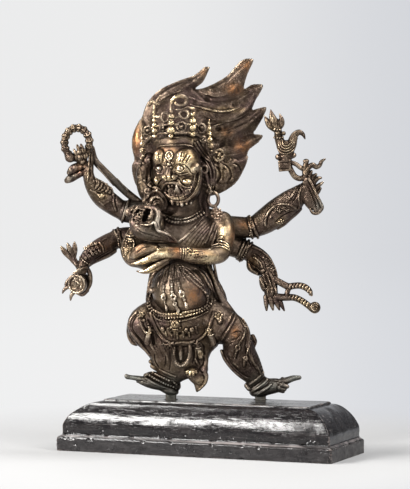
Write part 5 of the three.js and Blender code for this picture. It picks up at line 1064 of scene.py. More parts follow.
# flat rod from the ring down to the shoulder
l.sweep([P(91.6, 148, -2, 3, 2.6), P(95.0, 160.4, -4, 3.5, 2.8), P(104.0, 170.4, -5, 3.6, 2.8), P(123.8, 190, -7, 3.9, 2.8), P(141, 204, -9, 4, 2.8)], 0.4)
for o in (-2.6, 2.4):
    l.lay([(99 + o, 163 - o), (112 + o, 178 - o), (127 + o, 194.6 - o)], 0.9, lift=0.2, k=0.4, far=-40)

# hand drum, one face to the front, with a three-pronged tassel above it and the hand round its back
D = rot(az=-20) @ rot(ax=4)
c = A(P(76.8, 284.2, 12)) + D @ A((0, 7.6, 0))
l.disc(c + D @ A((0, -6.2, 0)), 9.8, 1.9, D, rnd=0.7)
l.disc(c, 5.6, 7.0, D, rnd=0.6, k=1.5)
l.disc(c + D @ A((0, 6.2, 0)), 9.8, 1.9, D, rnd=0.7)
l.disc(c + D @ A((0, -8.6, 0)), 7.4, 1.3, D, rnd=0.5, dig=True)
for y, R, wr in ((-7.9, 8.7, 1.15), (-4.3, 9.0, 0.9), (4.3, 9.0, 0.9), (0, 5.7, 1.3)):
    l.sweep([(*(c + D @ A((R * math.cos(t), y, R * math.sin(t)))), wr) for t in np.linspace(0, 2 * math.pi, 34)], 0.3, step=99)
rnd_l = np.random.default_rng(9)
for i in range(16):                                                                    # worn skin of the drum
    a, R = rnd_l.uniform(0, 6.28), 6.4 * math.sqrt(rnd_l.uniform(0, 1))
    l.ell(c + D @ A((R * math.cos(a), -7.5, R * math.sin(a))), (rnd_l.uniform(1.0, 2.2), 0.7, rnd_l.uniform(0.8, 1.8)), rot(ay=rnd_l.uniform(0, 180)), k=0.6, dig=bool(i % 3 == 0))
l.ell(P(81.6, 270.6, 7), (5.2, 4.8, 5.8), k=1.2)
for i in range(3):
    l.sweep([P(86.4 - i * 0.8, 267.6 + i * 2.4, 8, 1.9), P(80 - i, 269.4 + i * 1.8, 11.6, 1.8), P(75 - i * 0.6, 272 + i * 1.0, 12, 1.4)], 0.4)
for st in ([P(72, 284.6, 3, 2.6), P(66.6, 287.6, 3, 2.1), P(63.8, 290.4, 3, 1.5), P(62.6, 293, 3, 0.8)], [P(75, 290.6, 3, 2.6), P(71.6, 295, 3, 2.0), P(70.8, 298, 3, 1.4), P(70.6, 300.2, 3, 0.8)],
           [P(72, 277, 4, 2.2), P(67.4, 281.4, 4, 1.9), P(65.6, 285, 4, 1.4)], [P(77, 292, 1, 2.4), P(82.4, 294.4, 1, 2.2), P(87.4, 290.6, 1, 1.9)], [P(86, 267, 4, 2.6), P(89.8, 274, 4, 2.4), P(90.2, 283, 3, 2.2), P(87, 290, 2, 2.0)]):
    l.sweep(st, 0.5)
l.sweep([P(80.6, 270, 5, 2.8, 2.4), P(77.0, 264.6, 4, 2.8, 2.0), P(73.4, 259.6, 3, 3.6, 1.9), P(71.2, 255.6, 3, 3.8, 1.8)], 0.8)
for x, y, bend in ((61.0, 246.6, -1.0), (67.4, 243.4, 0.2), (74.6, 242.2, 1.0)):
    a, e = A(P(72.4 + bend * 0.8, 258.8, 3)), A(P(x, y, 2))
    mid = (a + e) / 2 + A((bend * 0.8, 0, 0))
    l.sweep([(*a, 2.6, 1.7), (*mid, 2.9, 1.6), (*(mid * 0.4 + e * 0.6), 2.3, 1.4), (*e, 0.9, 0.9)], 0.4)
for st in ([(72.6, 257.6), (68.4, 252), (65, 247.6)], [(75.4, 257), (73.6, 251), (72.6, 245.6)], [(77, 262.6), (74.8, 259), (73.4, 255)]):
    l.groove(st, 0.5, 0.9, far=-40)
print("right arms %.1f s" % (time.time() - T0), l.n)

# =================================================================================================
# left arms of the figure: trident on a curled shaft above, noose with hooks below
# =================================================================================================
r = Field(*window(204, 330, 104, 318, -32, 18), 0.45 * COARSE)
arm(r, [P(210, 226, -10, 12), P(248, 227.5, -11, 10.6), P(255, 226.6, -11, 10.8), P(266, 220.5, -10, 13), P(278, 211.5, -8, 13.6), P(290, 202.4, -6, 12.6), P(298, 195.5, -4, 9.8), P(305, 189.6, -2, 7.6)])
arm(r, [P(216, 240, -14, 12), P(240, 248.5, -16, 10.6), P(249, 252, -16, 9.4), P(257, 257.5, -14, 10.2), P(263, 264, -10, 10.2), P(268.5, 273, -6, 8.2), P(271, 282, -2, 6.4), P(272, 291, 1, 5.8)])
for (x, y, d), (x2, y2, d2), R, wr in (((250.2, 227.5, -11), (257, 226, -11), 11.2, 1.2), ((253.6, 227, -11), (260, 224.4, -11), 11.8, 1.5)):
    rope_round(r, P(x, y, d), P(x2, y2, d2), R, wr, R)
for (x, y, d), (x2, y2, d2), R, wr in (((241, 249, -16), (248, 252, -16), 11.0, 1.3), ((243.8, 250.2, -16), (251, 254, -16), 11.0, 1.6), ((246.8, 251.6, -16), (254, 256, -15), 10.6, 1.3)):
    rope_round(r, P(x, y, d), P(x2, y2, d2), R, wr, R)
r.beads([(250.6, 218), (251.6, 224), (251, 230), (249.6, 236.4)], 0.95, 2.0, lift=1.2, far=-40)
r.beads([(247.6, 243.6), (247, 249.6), (243.6, 256), (239.6, 260.4)], 0.95, 2.0, lift=1.3, far=-40)
# sleeve of the upper forearm: a looping hem, cuffs at the wrist, flowers and a stepped lower edge
r.lay([(265, 226.6), (265.4, 219.6), (267.6, 213), (272.4, 207.6), (279, 204.4), (286, 204), (292.6, 206), (298.6, 210.4)], 1.5, lift=0.2, k=0.5, far=-40)
r.groove([(267.4, 226), (267.8, 219), (270.4, 213), (275, 208.8), (281, 206.6)], 0.9, 0.9, far=-40)
r.lay([(297.6, 182.4), (296.2, 188), (293.2, 194.6), (288.4, 200.6)], 1.6, lift=0.25, k=0.5, far=-40)
r.lay([(301.4, 184), (300.2, 190.6), (298, 197), (299.6, 204), (298.6, 210)], 1.3, lift=0.2, k=0.5, far=-40)
r.groove([(299.6, 184), (298, 191), (295, 198), (292, 202.4)], 0.8, 1.2, far=-40)
r.sweep([P(300.4, 209, -5, 1.9, 4), P(296.4, 213, -6, 2.2, 5), P(290, 218.4, -7, 2.2, 5), P(284, 223.8, -9, 2.2, 5), P(278, 228, -10, 1.8, 4)], 1.2)
r.groove([(274.4, 222.6), (281, 217.2), (289, 212.6), (295.6, 210.6)], 1.0, 0.9, far=-40)
for x, y, rr in ((276.2, 209.6, 1.8), (279.8, 211.6, 1.5), (283.6, 208.6, 1.8), (287.2, 210.4, 1.4), (279, 207, 1.2), (289, 198.8, 1.6), (281, 221.4, 2.3), (284.6, 222, 1.3), (277.6, 222.8, 1.2), (271, 217, 1.2)):
    c, M = on(x, y, 0.0, r, -40)
    r.ell(c, (rr * 0.8, 1.1, rr * 0.8), M, k=0.4)
    for i in range(5):
        a = 2 * math.pi * i / 5
        r.ell(c + M @ A((rr * math.cos(a), -0.4, rr * math.sin(a))), rr * 0.42, k=0.2)
    r.ell(c + M @ A((0, -1.3, 0)), rr * 0.34)
r.lay([(259, 209.4), (258.2, 217), (259.4, 226.4)], 1.0, lift=0.1, k=0.5, far=-40, taper=True)
# lower forearm: sleeve with an arched hem and a netted field, its edge stepping out to the left, ends falling over the wrist
r.lay([(251, 246.6), (258.6, 249.4), (266, 254.8), (271.8, 262), (275.4, 270), (277, 278)], 1.5, lift=0.2, k=0.5, far=-40)
r.lay([(252.6, 256.4), (257.6, 259.4), (261.4, 264.6), (262.8, 271)], 1.4, lift=0.2, k=0.5, far=-40)
r.groove([(253.6, 252.6), (260, 256.6), (264.6, 262.6), (266.6, 270)], 0.9, 1.0, far=-40)
r.sweep([P(248.4, 261.4, -11, 2.2, 3), P(249.2, 267.2, -9, 2.6, 4), P(252.4, 270.6, -8, 2.5, 4), P(258, 273.6, -6, 2.2, 4)], 1.0)
r.ell(P(255.4, 264.6, -9), (5.0, 4.2, 5.6), k=1.2)
r.ell(P(262.8, 284, 0), (3.4, 3.8, 8.4), rot(ay=-14), k=1.2)
r.groove([(250.4, 262.6), (255.4, 266.4), (260.6, 270.8)], 0.7, 1.1, far=-40)
for i in range(16):
    x, y = 263.6 + 2.5 * (i % 4) + 0.9 * (i // 4), 257.4 + 2.9 * (i // 4) + 1.3 * (i % 4)
    c, M = on(x, y, -0.1, r, -40)
    r.ell(c, (0.85, 0.7, 0.85), M, k=0.3)
for st in ([(262.6, 271), (264.6, 279), (268, 287)], [(258.4, 274), (261.6, 281), (265.6, 289.6)], [(269, 271), (273, 280), (275.6, 288.6)], [(266, 273), (269.6, 281), (272.6, 288)]):
    r.lay(st, 1.6, lift=0.0, k=0.7, far=-40, taper=True)
for st in ([(261.6, 276), (264.6, 284), (268, 292)], [(267.6, 272.6), (271, 281), (273.6, 289)]):
    r.groove(st, 0.7, 1.1, far=-40)
q, n, _ = r.seen([(262.6, 270.4)], far=-40); r.ell(q[0] + n[0] * 0.6, (2.4, 1.8, 2.2), k=0.4); r.ell(q[0] + n[0] * 2.0, 0.9)

# upper hand: a slab-like palm on the end of the shaft, bright along its right edge, and its fingers
M = rot(ay=-22)
r.box(P(312.8, 195.6, 2), (4.9, 3.6, 17.6), M, rnd=2.2, k=1.2)
r.ell(P(309, 199, 1), (6.4, 5.5, 12), M, k=1.5)
r.sweep([P(304.4, 181.6, 4, 1.5), P(308, 178.8, 5, 1.6), P(312.2, 184.6, 6, 1.5), P(316.6, 194.6, 6.2, 1.5), P(321.6, 205, 5.8, 1.7), P(322, 208.6, 4.6, 1.7), P(318, 213, 4.4, 1.7), P(313, 213, 4, 1.6), P(309.6, 208.6, 4.0, 1.0)], 0.8)
r.groove([(307.4, 185.4), (311, 193), (315, 202), (316.6, 208.6)], 1.3, 1.0, far=-40, k=0.6)
for st in ([P(309.6, 190, 2, 3.0), P(314.4, 181.6, 2, 2.7), P(317.8, 178.4, 2, 2.2), P(321, 177.8, 2, 1.2)], [P(311, 193, 2, 2.8), P(316.4, 187.4, 2, 2.5), P(320, 184.4, 2, 2.0), P(322.8, 182.4, 2, 1.1)],
           [P(309, 187, 2, 2.8), P(312.4, 177.6, 2, 2.5), P(315.8, 174.6, 2, 1.6)], [P(308, 184, 3, 2.6), P(309.8, 175.4, 3, 2.4), P(311.4, 171.4, 3, 1.5)], [P(313, 196, 0, 2.6), P(317.6, 192.4, 0, 2.2), P(320.4, 188.4, 0, 1.4)]):
    r.sweep(st, 0.4)
# curled shaft, block, collar and crescent
r.sweep([P(306.4, 182, 3, 3.0), P(304.8, 173.6, 3, 2.8), P(305.4, 165.6, 3, 2.7), P(306.4, 161.4, 3, 2.6)], 0.5)
r.ell(P(306, 161, 3), (3.2, 2.8, 2.2), k=0.5)
r.sweep([P(304.6, 176.6, 3, 2.6), P(300.6, 178.6, 3, 2.8), P(295.6, 177, 3, 2.9), P(292.4, 173, 3, 2.9), P(289.4, 167, 3, 3.0)], 0.5)
r.sweep([P(305.4, 170, 3, 2.5), P(300.4, 167.6, 3, 2.4), P(296, 164.2, 3, 2.3), P(290.6, 162.4, 3, 2.4)], 0.5)
r.box(P(284.6, 165.6, 3), (6.3, 4.8, 5.7), rot(ay=-5), rnd=0.8, k=0.4)
for o in (-3.4, 3.0):
    r.groove([(279.6, 165.6 + o), (284.6, 166 + o), (289.6, 165.4 + o)], 0.5, 0.7, far=-40)
r.sweep([P(278.2, 157, 3, 3.1), P(281, 157.6, 3, 2.6), P(291, 156.4, 3, 2.6), P(293.8, 155.2, 3, 2.7)], 0.4)
r.ell(P(286, 156.6, 3), (5.6, 5.0, 2.7), k=0.5)
r.lay([(280.6, 156.4), (284.4, 157.6), (290.6, 156)], 1.1, lift=0.4, k=0.3, far=-40)
r.sweep([P(286, 159, 3, 5.6, 5.4), P(286.4, 151.6, 3, 7.6, 6), P(286, 146, 3, 7.8, 6)], 0.8)
r.sweep([P(284, 150, 3, 6.0), P(280.6, 143, 3, 5.0), P(278.6, 137, 3, 4.4), P(278.0, 131, 3, 3.9), P(275.8, 127, 3, 3.6)], 0.8)
r.sweep([P(288, 150.6, 3, 6.2), P(291.6, 144, 3, 5.2), P(293.4, 138, 3, 4.2), P(295.4, 134.4, 3, 3.4), P(299.2, 132.2, 3, 2.8), P(303.0, 134.4, 3, 2.0), P(305.0, 138.8, 3, 0.7)], 0.8)
for i in range(4):                                                                     # ribs following the crescent
    o = 2.5 * i
    r.lay([(280.2 - o * 0.75 + 2, 139.6 + o * 0.9), (282.6 - o * 0.4, 144.6 + o), (287, 146.2 + o), (291.4 + o * 0.35, 142.6 + o * 0.9), (294.2 + o * 0.3, 136.6 + o * 0.5), (298.4 + o * 0.2, 132.2 + o * 0.35)], 1.05, lift=0.3, k=0.35, far=-40, even=3, taper=True)
# lotus bud of three leaves, and the beads at its neck
r.ell(P(274.4, 124, 1.5), (6.4, 3.2, 6.4), rot(ay=-20), k=0.6)
r.sweep([P(276.4, 129, 3, 3.4), P(274.0, 122, 3, 4.4, 3.6), P(272.2, 116.6, 3, 3.2, 2.8), P(270.8, 110, 3, 0.7)], 0.6)
r.sweep([P(275.6, 129.6, 2, 3.2), P(270.2, 125, 1, 3.9, 3.2), P(267, 120.4, 1, 2.5, 2.2), P(264.8, 116.2, 1, 0.7)], 0.5)
r.sweep([P(277.4, 129, 2, 3.2), P(280.8, 123.8, 1, 3.8, 3.2), P(281.4, 119.0, 1, 2.4, 2.2), P(279.6, 114, 1, 0.7)], 0.5)
for st in ([(271.6, 126), (271, 119.6), (271.4, 113.6)], [(277.8, 126), (277.6, 120.4), (275.6, 115)], [(268.6, 125), (267, 121)], [(281.6, 124.6), (282.2, 119.6)]):
    r.groove(st, 0.5, 0.9, far=-40)
for x in (277.6, 283.4):
    r.ell(P(x + 0.2, 133.4, 6.6), (2.3, 1.8, 2.3), k=0.4); r.ell(P(x + 0.2, 133.4, 8.2), 0.9)
for y in (129.4, 137.4):
    r.beads([(274.8, y), (278.6, y + 0.9), (282.4, y)], 1.2, 2.5, lift=0.4, far=-40)
r.sweep([P(305.6, 174, 4, 2.8), P(308.4, 168, 4, 2.7), P(312.4, 165, 4, 2.7), P(316.4, 167, 4, 2.5), P(319.6, 165.4, 4, 2.2), P(321.6, 161.4, 4, 1.9), P(325.2, 159, 4, 0.8)], 0.5)
r.groove([(308, 170), (312.6, 166), (317, 167)], 0.4, 0.6, far=-40)
# lower hand, fingers down, and the two hooks, thick and beaded like twisted rope
r.ell(P(271, 293, 2), (6.8, 4.8, 9.0), rot(ay=-8), k=1)
for a, e in (((266.0, 297, 2, 2.9), (266.6, 310, 3, 1.2)), ((270.4, 299, 4, 3.0), (273, 309.6, 4, 1.2)), ((275, 299, 4, 2.8), (279.4, 309.6, 4, 1.1)), ((278, 297.6, 3, 2.8), (284.2, 310.4, 3, 1.0))):
    mid = tuple((u + v) / 2 + (0.5 if i == 2 else 0) for i, (u, v) in enumerate(zip(a, e)))
    r.sweep([P(*a), P(*mid[:3], a[3] * 0.86), P(*e)], 0.4)
for st in ([(267.6, 286), (267.6, 296)], [(271.6, 286), (272.6, 297)], [(275, 287), (277, 297)]):
    r.lay(st, 1.5, lift=0.1, k=0.6, far=-40, taper=True)
r.sweep([P(274, 279, 2, 3.4), P(281, 283, 4, 3.4), P(288, 286.4, 5, 3.5), P(294, 285.8, 5, 3.3), P(300, 285.6, 5, 3.3), P(305.4, 287.4, 5, 3.3), P(309.6, 291, 5, 2.8), P(311.6, 295, 5, 1.4)], 0.6)
r.sweep([P(276, 297, 4, 3.8), P(286, 297.4, 5, 3.6), P(294, 297.6, 5, 3.4), P(301, 300.4, 5, 3.3), P(307.6, 305, 5, 3.3), P(311.6, 308.6, 5, 3.1)], 0.6)
r.ell(P(314.8, 307.6, 5), (5.8, 3.4, 6.0), k=0.6)
r.sweep([(*(A(P(314.8, 307.6, 8)) + A((rr2 * math.cos(t), 0, rr2 * math.sin(t)))), 0.85) for t, rr2 in zip(np.linspace(0.6, 4 * math.pi, 36), np.linspace(4.3, 0.7, 36))], 0.3, step=99)
r.sweep([P(289, 288, 5, 2.6), P(287.4, 292, 5, 2.6), P(286.4, 297, 5, 2.7)], 0.5)
for st in ([(290, 286.2), (296, 285.6), (302, 286), (307.2, 288.8), (310.4, 293.2)], [(289.6, 297.4), (295.6, 298), (301.6, 300.8), (307, 304.8)]):
    for x, y in spaced([(x, y, 0) for x, y in st], 3.4)[:, :2]:
        c, MM = on(x, y, -0.2, r, -40)
        r.ell(c, (1.5, 1.5, 2.9), MM @ rot(ay=22), k=0.35)
print("left arms %.1f s" % (time.time() - T0), r.n)

# =================================================================================================
# plinth: sawn, moulded and painted wood, with worn edges, chips and dents
# =================================================================================================
BASE_L, BASE_W, BASE_H, BEVEL, STEP, SHIFT = 296.0, 100.0, 13.6, 2.8, 4.2, 0.6
TOP_L, TOP_W, TOP_H, TOP_SHIFT, PANEL_T, FOOT, POW = 222.0, 64.0, 52.6, 7.8, 2.2, 8.0, 1.6
w = Field((-153, -54, -3), (153, 54, 57), 0.75 * COARSE)
mL, mW, mZ = BASE_L / 2 - STEP, BASE_W / 2 - STEP, BASE_H + BEVEL
rows = [(0, BASE_L / 2, BASE_W / 2, 0), (BASE_H, BASE_L / 2, BASE_W / 2, 0), (mZ, mL + 0.4, mW + 0.4, SHIFT), (mZ + 0.6, mL, mW, SHIFT), (mZ + FOOT, mL, mW, SHIFT)]
for i in range(1, 25):
    q = i / 24 * math.pi / 2
    c, s = math.cos(q) ** (2 / POW), math.sin(q) ** (2 / POW)
    rows.append((mZ + FOOT + (TOP_H - PANEL_T - mZ - FOOT) * s, TOP_L / 2 + 2 + (mL - TOP_L / 2 - 2) * c, TOP_W / 2 + 2 + (mW - TOP_W / 2 - 2) * c, TOP_SHIFT + (SHIFT - TOP_SHIFT) * c))
rows += [(TOP_H - PANEL_T + 0.01, TOP_L / 2, TOP_W / 2, TOP_SHIFT), (TOP_H, TOP_L / 2, TOP_W / 2, TOP_SHIFT)]
rows = np.array(rows)
WX, WY, WZ = w.xyz((slice(None),) * 3)
zz = WZ.ravel()


def lumps(shape, lo, hi, size, seed):
    """Smooth random field from -1 to 1 on a grid, with lumps about size across (all in millimetres)."""
    g = np.random.default_rng(seed)
    k = [max(2, int(math.ceil((hi[i] - lo[i]) / size[i])) + 2) for i in range(3)]
    v = g.uniform(-1, 1, k).astype(F32)
    for ax in range(3):
        t = np.linspace(0, k[ax] - 1.001, shape[ax])
        i = t.astype(int)
        u = t - i
        u = (u * u * (3 - 2 * u)).astype(F32).reshape([-1 if j == ax else 1 for j in range(3)])
        v = np.take(v, i, ax) * (1 - u) + np.take(v, i + 1, ax) * u
    return v


def profile(z):
    """Half length, half width and centre of the plinth at heights z."""
    return [np.interp(z, rows[:, 0], rows[:, i]) for i in (1, 2, 3)]


# distance to the profile, as the least over its straight pieces, seen from the front and from the ends
def side(coord, centre_col, half_col):
    best = np.full((coord.size, zz.size), 1e9, F32)
    c2, z2 = np.meshgrid(coord, zz, indexing="ij")
    for a, e in zip(rows[:-1], rows[1:]):
        p0, p1 = np.array([a[half_col] + (a[3] if centre_col else 0), a[0]]), np.array([e[half_col] + (e[3] if centre_col else 0), e[0]])
        d = p1 - p0
        L = max(float(d @ d), 1e-9)
        t = np.clip(((c2 - p0[0]) * d[0] + (z2 - p0[1]) * d[1]) / L, 0, 1)
        best = np.minimum(best, (c2 - p0[0] - t * d[0]) ** 2 + (z2 - p0[1] - t * d[1]) ** 2)
    lim = np.interp(zz, rows[:, 0], rows[:, half_col] + (rows[:, 3] if centre_col else 0))
    return np.where(c2 < lim[None, :], -np.sqrt(best), np.sqrt(best)).astype(F32)


xr = side(w.ax[0], True, 1)                                                         # right end, x to the right of the centre
rows_l = rows.copy(); rows_l[:, 3] *= -1
_r, rows = rows, rows_l
xl = side(-w.ax[0], True, 1)
rows = _r
yf = side(np.abs(w.ax[1]), False, 2)
d = np.maximum(np.maximum(xr, xl)[:, None, :], yf[None, :, :])
d = np.maximum(d, np.maximum(-WZ + 0.0, WZ - F32(TOP_H)))
# hand-planed and brush-painted faces, softened edges
d = d + 0.28 * lumps(w.n, w.lo, w.lo + w.n * w.h, (26, 14, 9), 3) + 0.10 * lumps(w.n, w.lo, w.lo + w.n * w.h, (9, 5, 3.5), 4)
w.d[...] = np.clip(np.maximum(d, -WZ), -w.clip, w.clip)
g = np.random.default_rng(11)
for i in range(120):                                                                # nicks along the arrises
    ex, ey, ez = [(g.uniform(-148, 148), -50, BASE_H), (g.uniform(-148, 148), -50, 0.6), (148, g.uniform(-50, 50), BASE_H), (g.uniform(-103, 119), -32, TOP_H), (118.8, g.uniform(-32, 32), TOP_H),
                  (g.uniform(-143, 144), -45.8, mZ + 0.3), (148, -50, g.uniform(0, BASE_H)), (-148, -50, g.uniform(0, BASE_H))][i % 8]
    s = g.uniform(0.5, 1.5)
    w.ell((ex, ey, ez), (s * g.uniform(0.8, 3.0), s * 1.1, s * 0.8), k=0.5, dig=True)
for i in range(46):                                                                 # dents in the faces
    x, y = g.uniform(-140, 140), g.uniform(-48, 48)
    face = i % 3
    p = (x, -50.3, g.uniform(2, 12)) if face == 0 else ((g.uniform(-100, 116), g.uniform(-31, 31), TOP_H + 0.5) if face == 1 else (x, -45.6 - 0.2, g.uniform(18, 23)))
    w.ell(p, (g.uniform(0.8, 3.2), 0.9, 0.8), rot(ay=g.uniform(0, 180)), k=0.7, dig=True)
w.ell((148.4, -50.4, 1.5), (4.2, 3.2, 2.6), rot(ay=30), k=0.8, dig=True)                 # broken corner at the front right
w.ell((141.5, -50.6, 0.2), (6, 1.6, 1.6), k=0.6, dig=True)
w.ell((145.2, -47.4, BASE_H + 1.6), (3.0, 1.4, 1.4), rot(az=40), k=0.6, dig=True)
w.ell((148.2, -12, 7.6), (1.4, 0.9, 0.9), dig=True, k=0.2)                              # nail hole in the right end
for side_x in (148, -148):                                                          # mitre joints open a little at the corners
    for sy in (-1, 1):
        for z0, z1, o in ((0, BASE_H, 0.1), (mZ, mZ + FOOT, STEP + 0.1)):
            w.sweep([(side_x - math.copysign(o + 0.4, side_x) - (0 if sy < 0 else 0), sy * (50 - o + 0.35), z0 + 1, 0.5), (side_x - math.copysign(o + 0.4, side_x), sy * (50 - o + 0.35), z1 - 1, 0.5)], 0.3, dig=True)
for px in (171, 260.5):                                                             # mortises of the tenons
    c = A(P(px, 396, -3)) @ TURN
    w.box((c[0], c[1], TOP_H - 13 + 15), (6.4, 5.4, 15), rot(az=22.4), rnd=0.3, dig=True)
print("plinth %.1f s" % (time.time() - T0), w.n)


# =================================================================================================
# from fields to meshes
# =================================================================================================
DIRS = np.array([(x, y, z) for x in (-1, 0, 1) for y in (-1, 0, 1) for z in (-1, 0, 1) if (x, y, z) != (0, 0, 0)], float)
DIRS /= np.linalg.norm(DIRS, axis=1)[:, None]


def reading(F, p, n):
    """Convexity at two scales and openness, each about 0..1 with 0.5 flat for the first two."""
    d0 = F.at(p)
    fine = sum(F.at(p + v * 1.1) for v in DIRS[::2]) / len(DIRS[::2]) - d0
    broad = sum(F.at(p + v * 3.2) for v in DIRS[::2]) / len(DIRS[::2]) - d0
    t1 = np.cross(n, [0.3, 0.2, 0.93]); t1 /= np.maximum(np.linalg.norm(t1, axis=1), 1e-6)[:, None]
    t2 = np.cross(n, t1)
    occ = np.zeros(len(p))
    for k, (a, c) in enumerate([(0, 0)] + [(0.75 * math.cos(q), 0.75 * math.sin(q)) for q in np.arange(5) * 2 * math.pi / 5]):
        v = n + t1 * a + t2 * c
        v /= np.linalg.norm(v, axis=1)[:, None]
        for t in (1.8, 4.5, 9.0):
            occ += np.clip(1 - F.at(p + v * t) / (min(t, F.clip) * (0.9 if k == 0 else 0.62)), 0, 1) / 18
    return np.clip(0.5 + fine * 1.6, 0, 1), np.clip(0.5 + broad * 0.55, 0, 1), np.clip(1 - occ * 1.25, 0, 1)


MADE = []


def make(F, name, own_frame=True, adapt=0.012, most=190000, spots=(), dark=0.0):
    t0 = time.time()
    p, t, q = F.skin(adapt)
    n = F.grad(p[:4000])
    tris = np.vstack([t.reshape(-1, 3), q[:, [0, 1, 2]], q[:, [0, 2, 3]]]) if len(q) else t
    some = (tris < 4000).all(axis=1)
    a, b2, c2 = p[tris[some, 0]], p[tris[some, 1]], p[tris[some, 2]]
    if (np.cross(b2 - a, c2 - a) * n[tris[some, 0]]).sum() < 0:
        tris = tris[:, ::-1]
    me = bpy.data.meshes.new(name)
    row = (p @ TURN if own_frame else p) * 0.001
    fill(me, row, tris)
    t1 = time.time()
    raw = len(tris)
    if raw > most:
        tmp = bpy.data.objects.new(name + "_raw", me)
        bpy.context.scene.collection.objects.link(tmp)
        mod = tmp.modifiers.new("fewer", "DECIMATE"); mod.ratio = most / raw
        thin = bpy.data.meshes.new_from_object(tmp.evaluated_get(bpy.context.evaluated_depsgraph_get()))
        bpy.data.objects.remove(tmp)
        bpy.data.meshes.remove(me)
        me = thin
        me.name = name
    t2 = time.time()
    # loose crumbs go: only bodies of some size stay
    co = np.empty(len(me.vertices) * 3, F32); me.vertices.foreach_get("co", co)
    row = co.reshape(-1, 3)
    tris = np.empty(len(me.loops), np.int32); me.loops.foreach_get("vertex_index", tris)
    tris = tris.reshape(-1, 3)
    lab = np.arange(len(row))
    for _ in range(200):
        low = np.minimum(np.minimum(lab[tris[:, 0]], lab[tris[:, 1]]), lab[tris[:, 2]])
        new = lab.copy()
        for k in range(3):
            np.minimum.at(new, tris[:, k], low)
        new = new[new]
        new = new[new]
        if (new == lab).all():
            break
        lab = new
    ids, cnt = np.unique(lab, return_counts=True)
    keep = np.isin(lab, ids[cnt > 150])
    if not keep.all():
        tris = tris[keep[tris[:, 0]]]
        used = np.zeros(len(row), bool); used[tris.ravel()] = True
        renum = np.cumsum(used) - 1
        tris, row = renum[tris], row[used]
        me.clear_geometry()
        fill(me, row, tris)
    ob = bpy.data.objects.new(name, me)
    bpy.context.scene.collection.objects.link(ob)
    t3 = time.time()
    own = row.astype(float) * 1000
    if own_frame:
        own = own @ TURN.T
    n = F.grad(own)
    own = own - n * np.clip(F.at(own), -0.4, 0.4)[:, None]                       # back onto the skin after thinning
    n = F.grad(own)
    row = (own @ TURN if own_frame else own) * 0.001
    me.vertices.foreach_set("co", row.astype(F32).ravel())
    fine, broad, opened = reading(F, own, n)
    col = me.color_attributes.new("form", "FLOAT_COLOR", "POINT")
    col.data.foreach_set("color", np.stack([fine, broad, opened, np.ones(len(fine))], 1).astype(F32).ravel())
    tint = np.zeros((len(own), 8), F32); tint[:, (3, 7)] = 1; tint[:, 4] = dark
    for ch, c, rad, amount in spots:
        tint[:, ch] = np.maximum(tint[:, ch], amount * np.exp(-(((own - A(c)) / A(rad)) ** 2).sum(axis=1)))
    for key, part in (("tint", tint[:, :4]), ("shade", tint[:, 4:])):
        col = me.color_attributes.new(key, "FLOAT_COLOR", "POINT")
        col.data.foreach_set("color", np.ascontiguousarray(part).ravel())
    me.polygons.foreach_set("use_smooth", np.ones(len(me.polygons), bool))
    t4 = time.time()
    me.normals_split_custom_set_from_vertices((n @ TURN if own_frame else n).astype(F32).tolist())
    me.update()
    print("%-18s %7d -> %7d triangles, %.1f s (skin %.1f thin %.1f crumbs %.1f read %.1f normals %.1f)" % (name, raw, len(me.polygons), time.time() - T0, t1 - t0, t2 - t1, t3 - t2, t4 - t3, time.time() - t4))
    MADE.append(ob)
    return ob


def fill(me, row, tris):
    me.vertices.add(len(row)); me.vertices.foreach_set("co", row.astype(F32).ravel())
    me.loops.add(len(tris) * 3); me.loops.foreach_set("vertex_index", tris.astype(np.int32).ravel())
    me.polygons.add(len(tris)); me.polygons.foreach_set("loop_start", np.arange(0, len(tris) * 3, 3, dtype=np.int32)); me.polygons.foreach_set("loop_total", np.full(len(tris), 3, np.int32))
    me.update(); me.validate()


def at(F, ch, px, py, rad, amount=1.0, far=-40):
    """A tinted spot on the surface seen there: channel, centre, reach and strength."""
    q, n, hit = F.seen([(px, py)], far=far)
    return (ch, tuple(q[0]), rad if np.ndim(rad) else (rad, rad * 1.4, rad), amount)


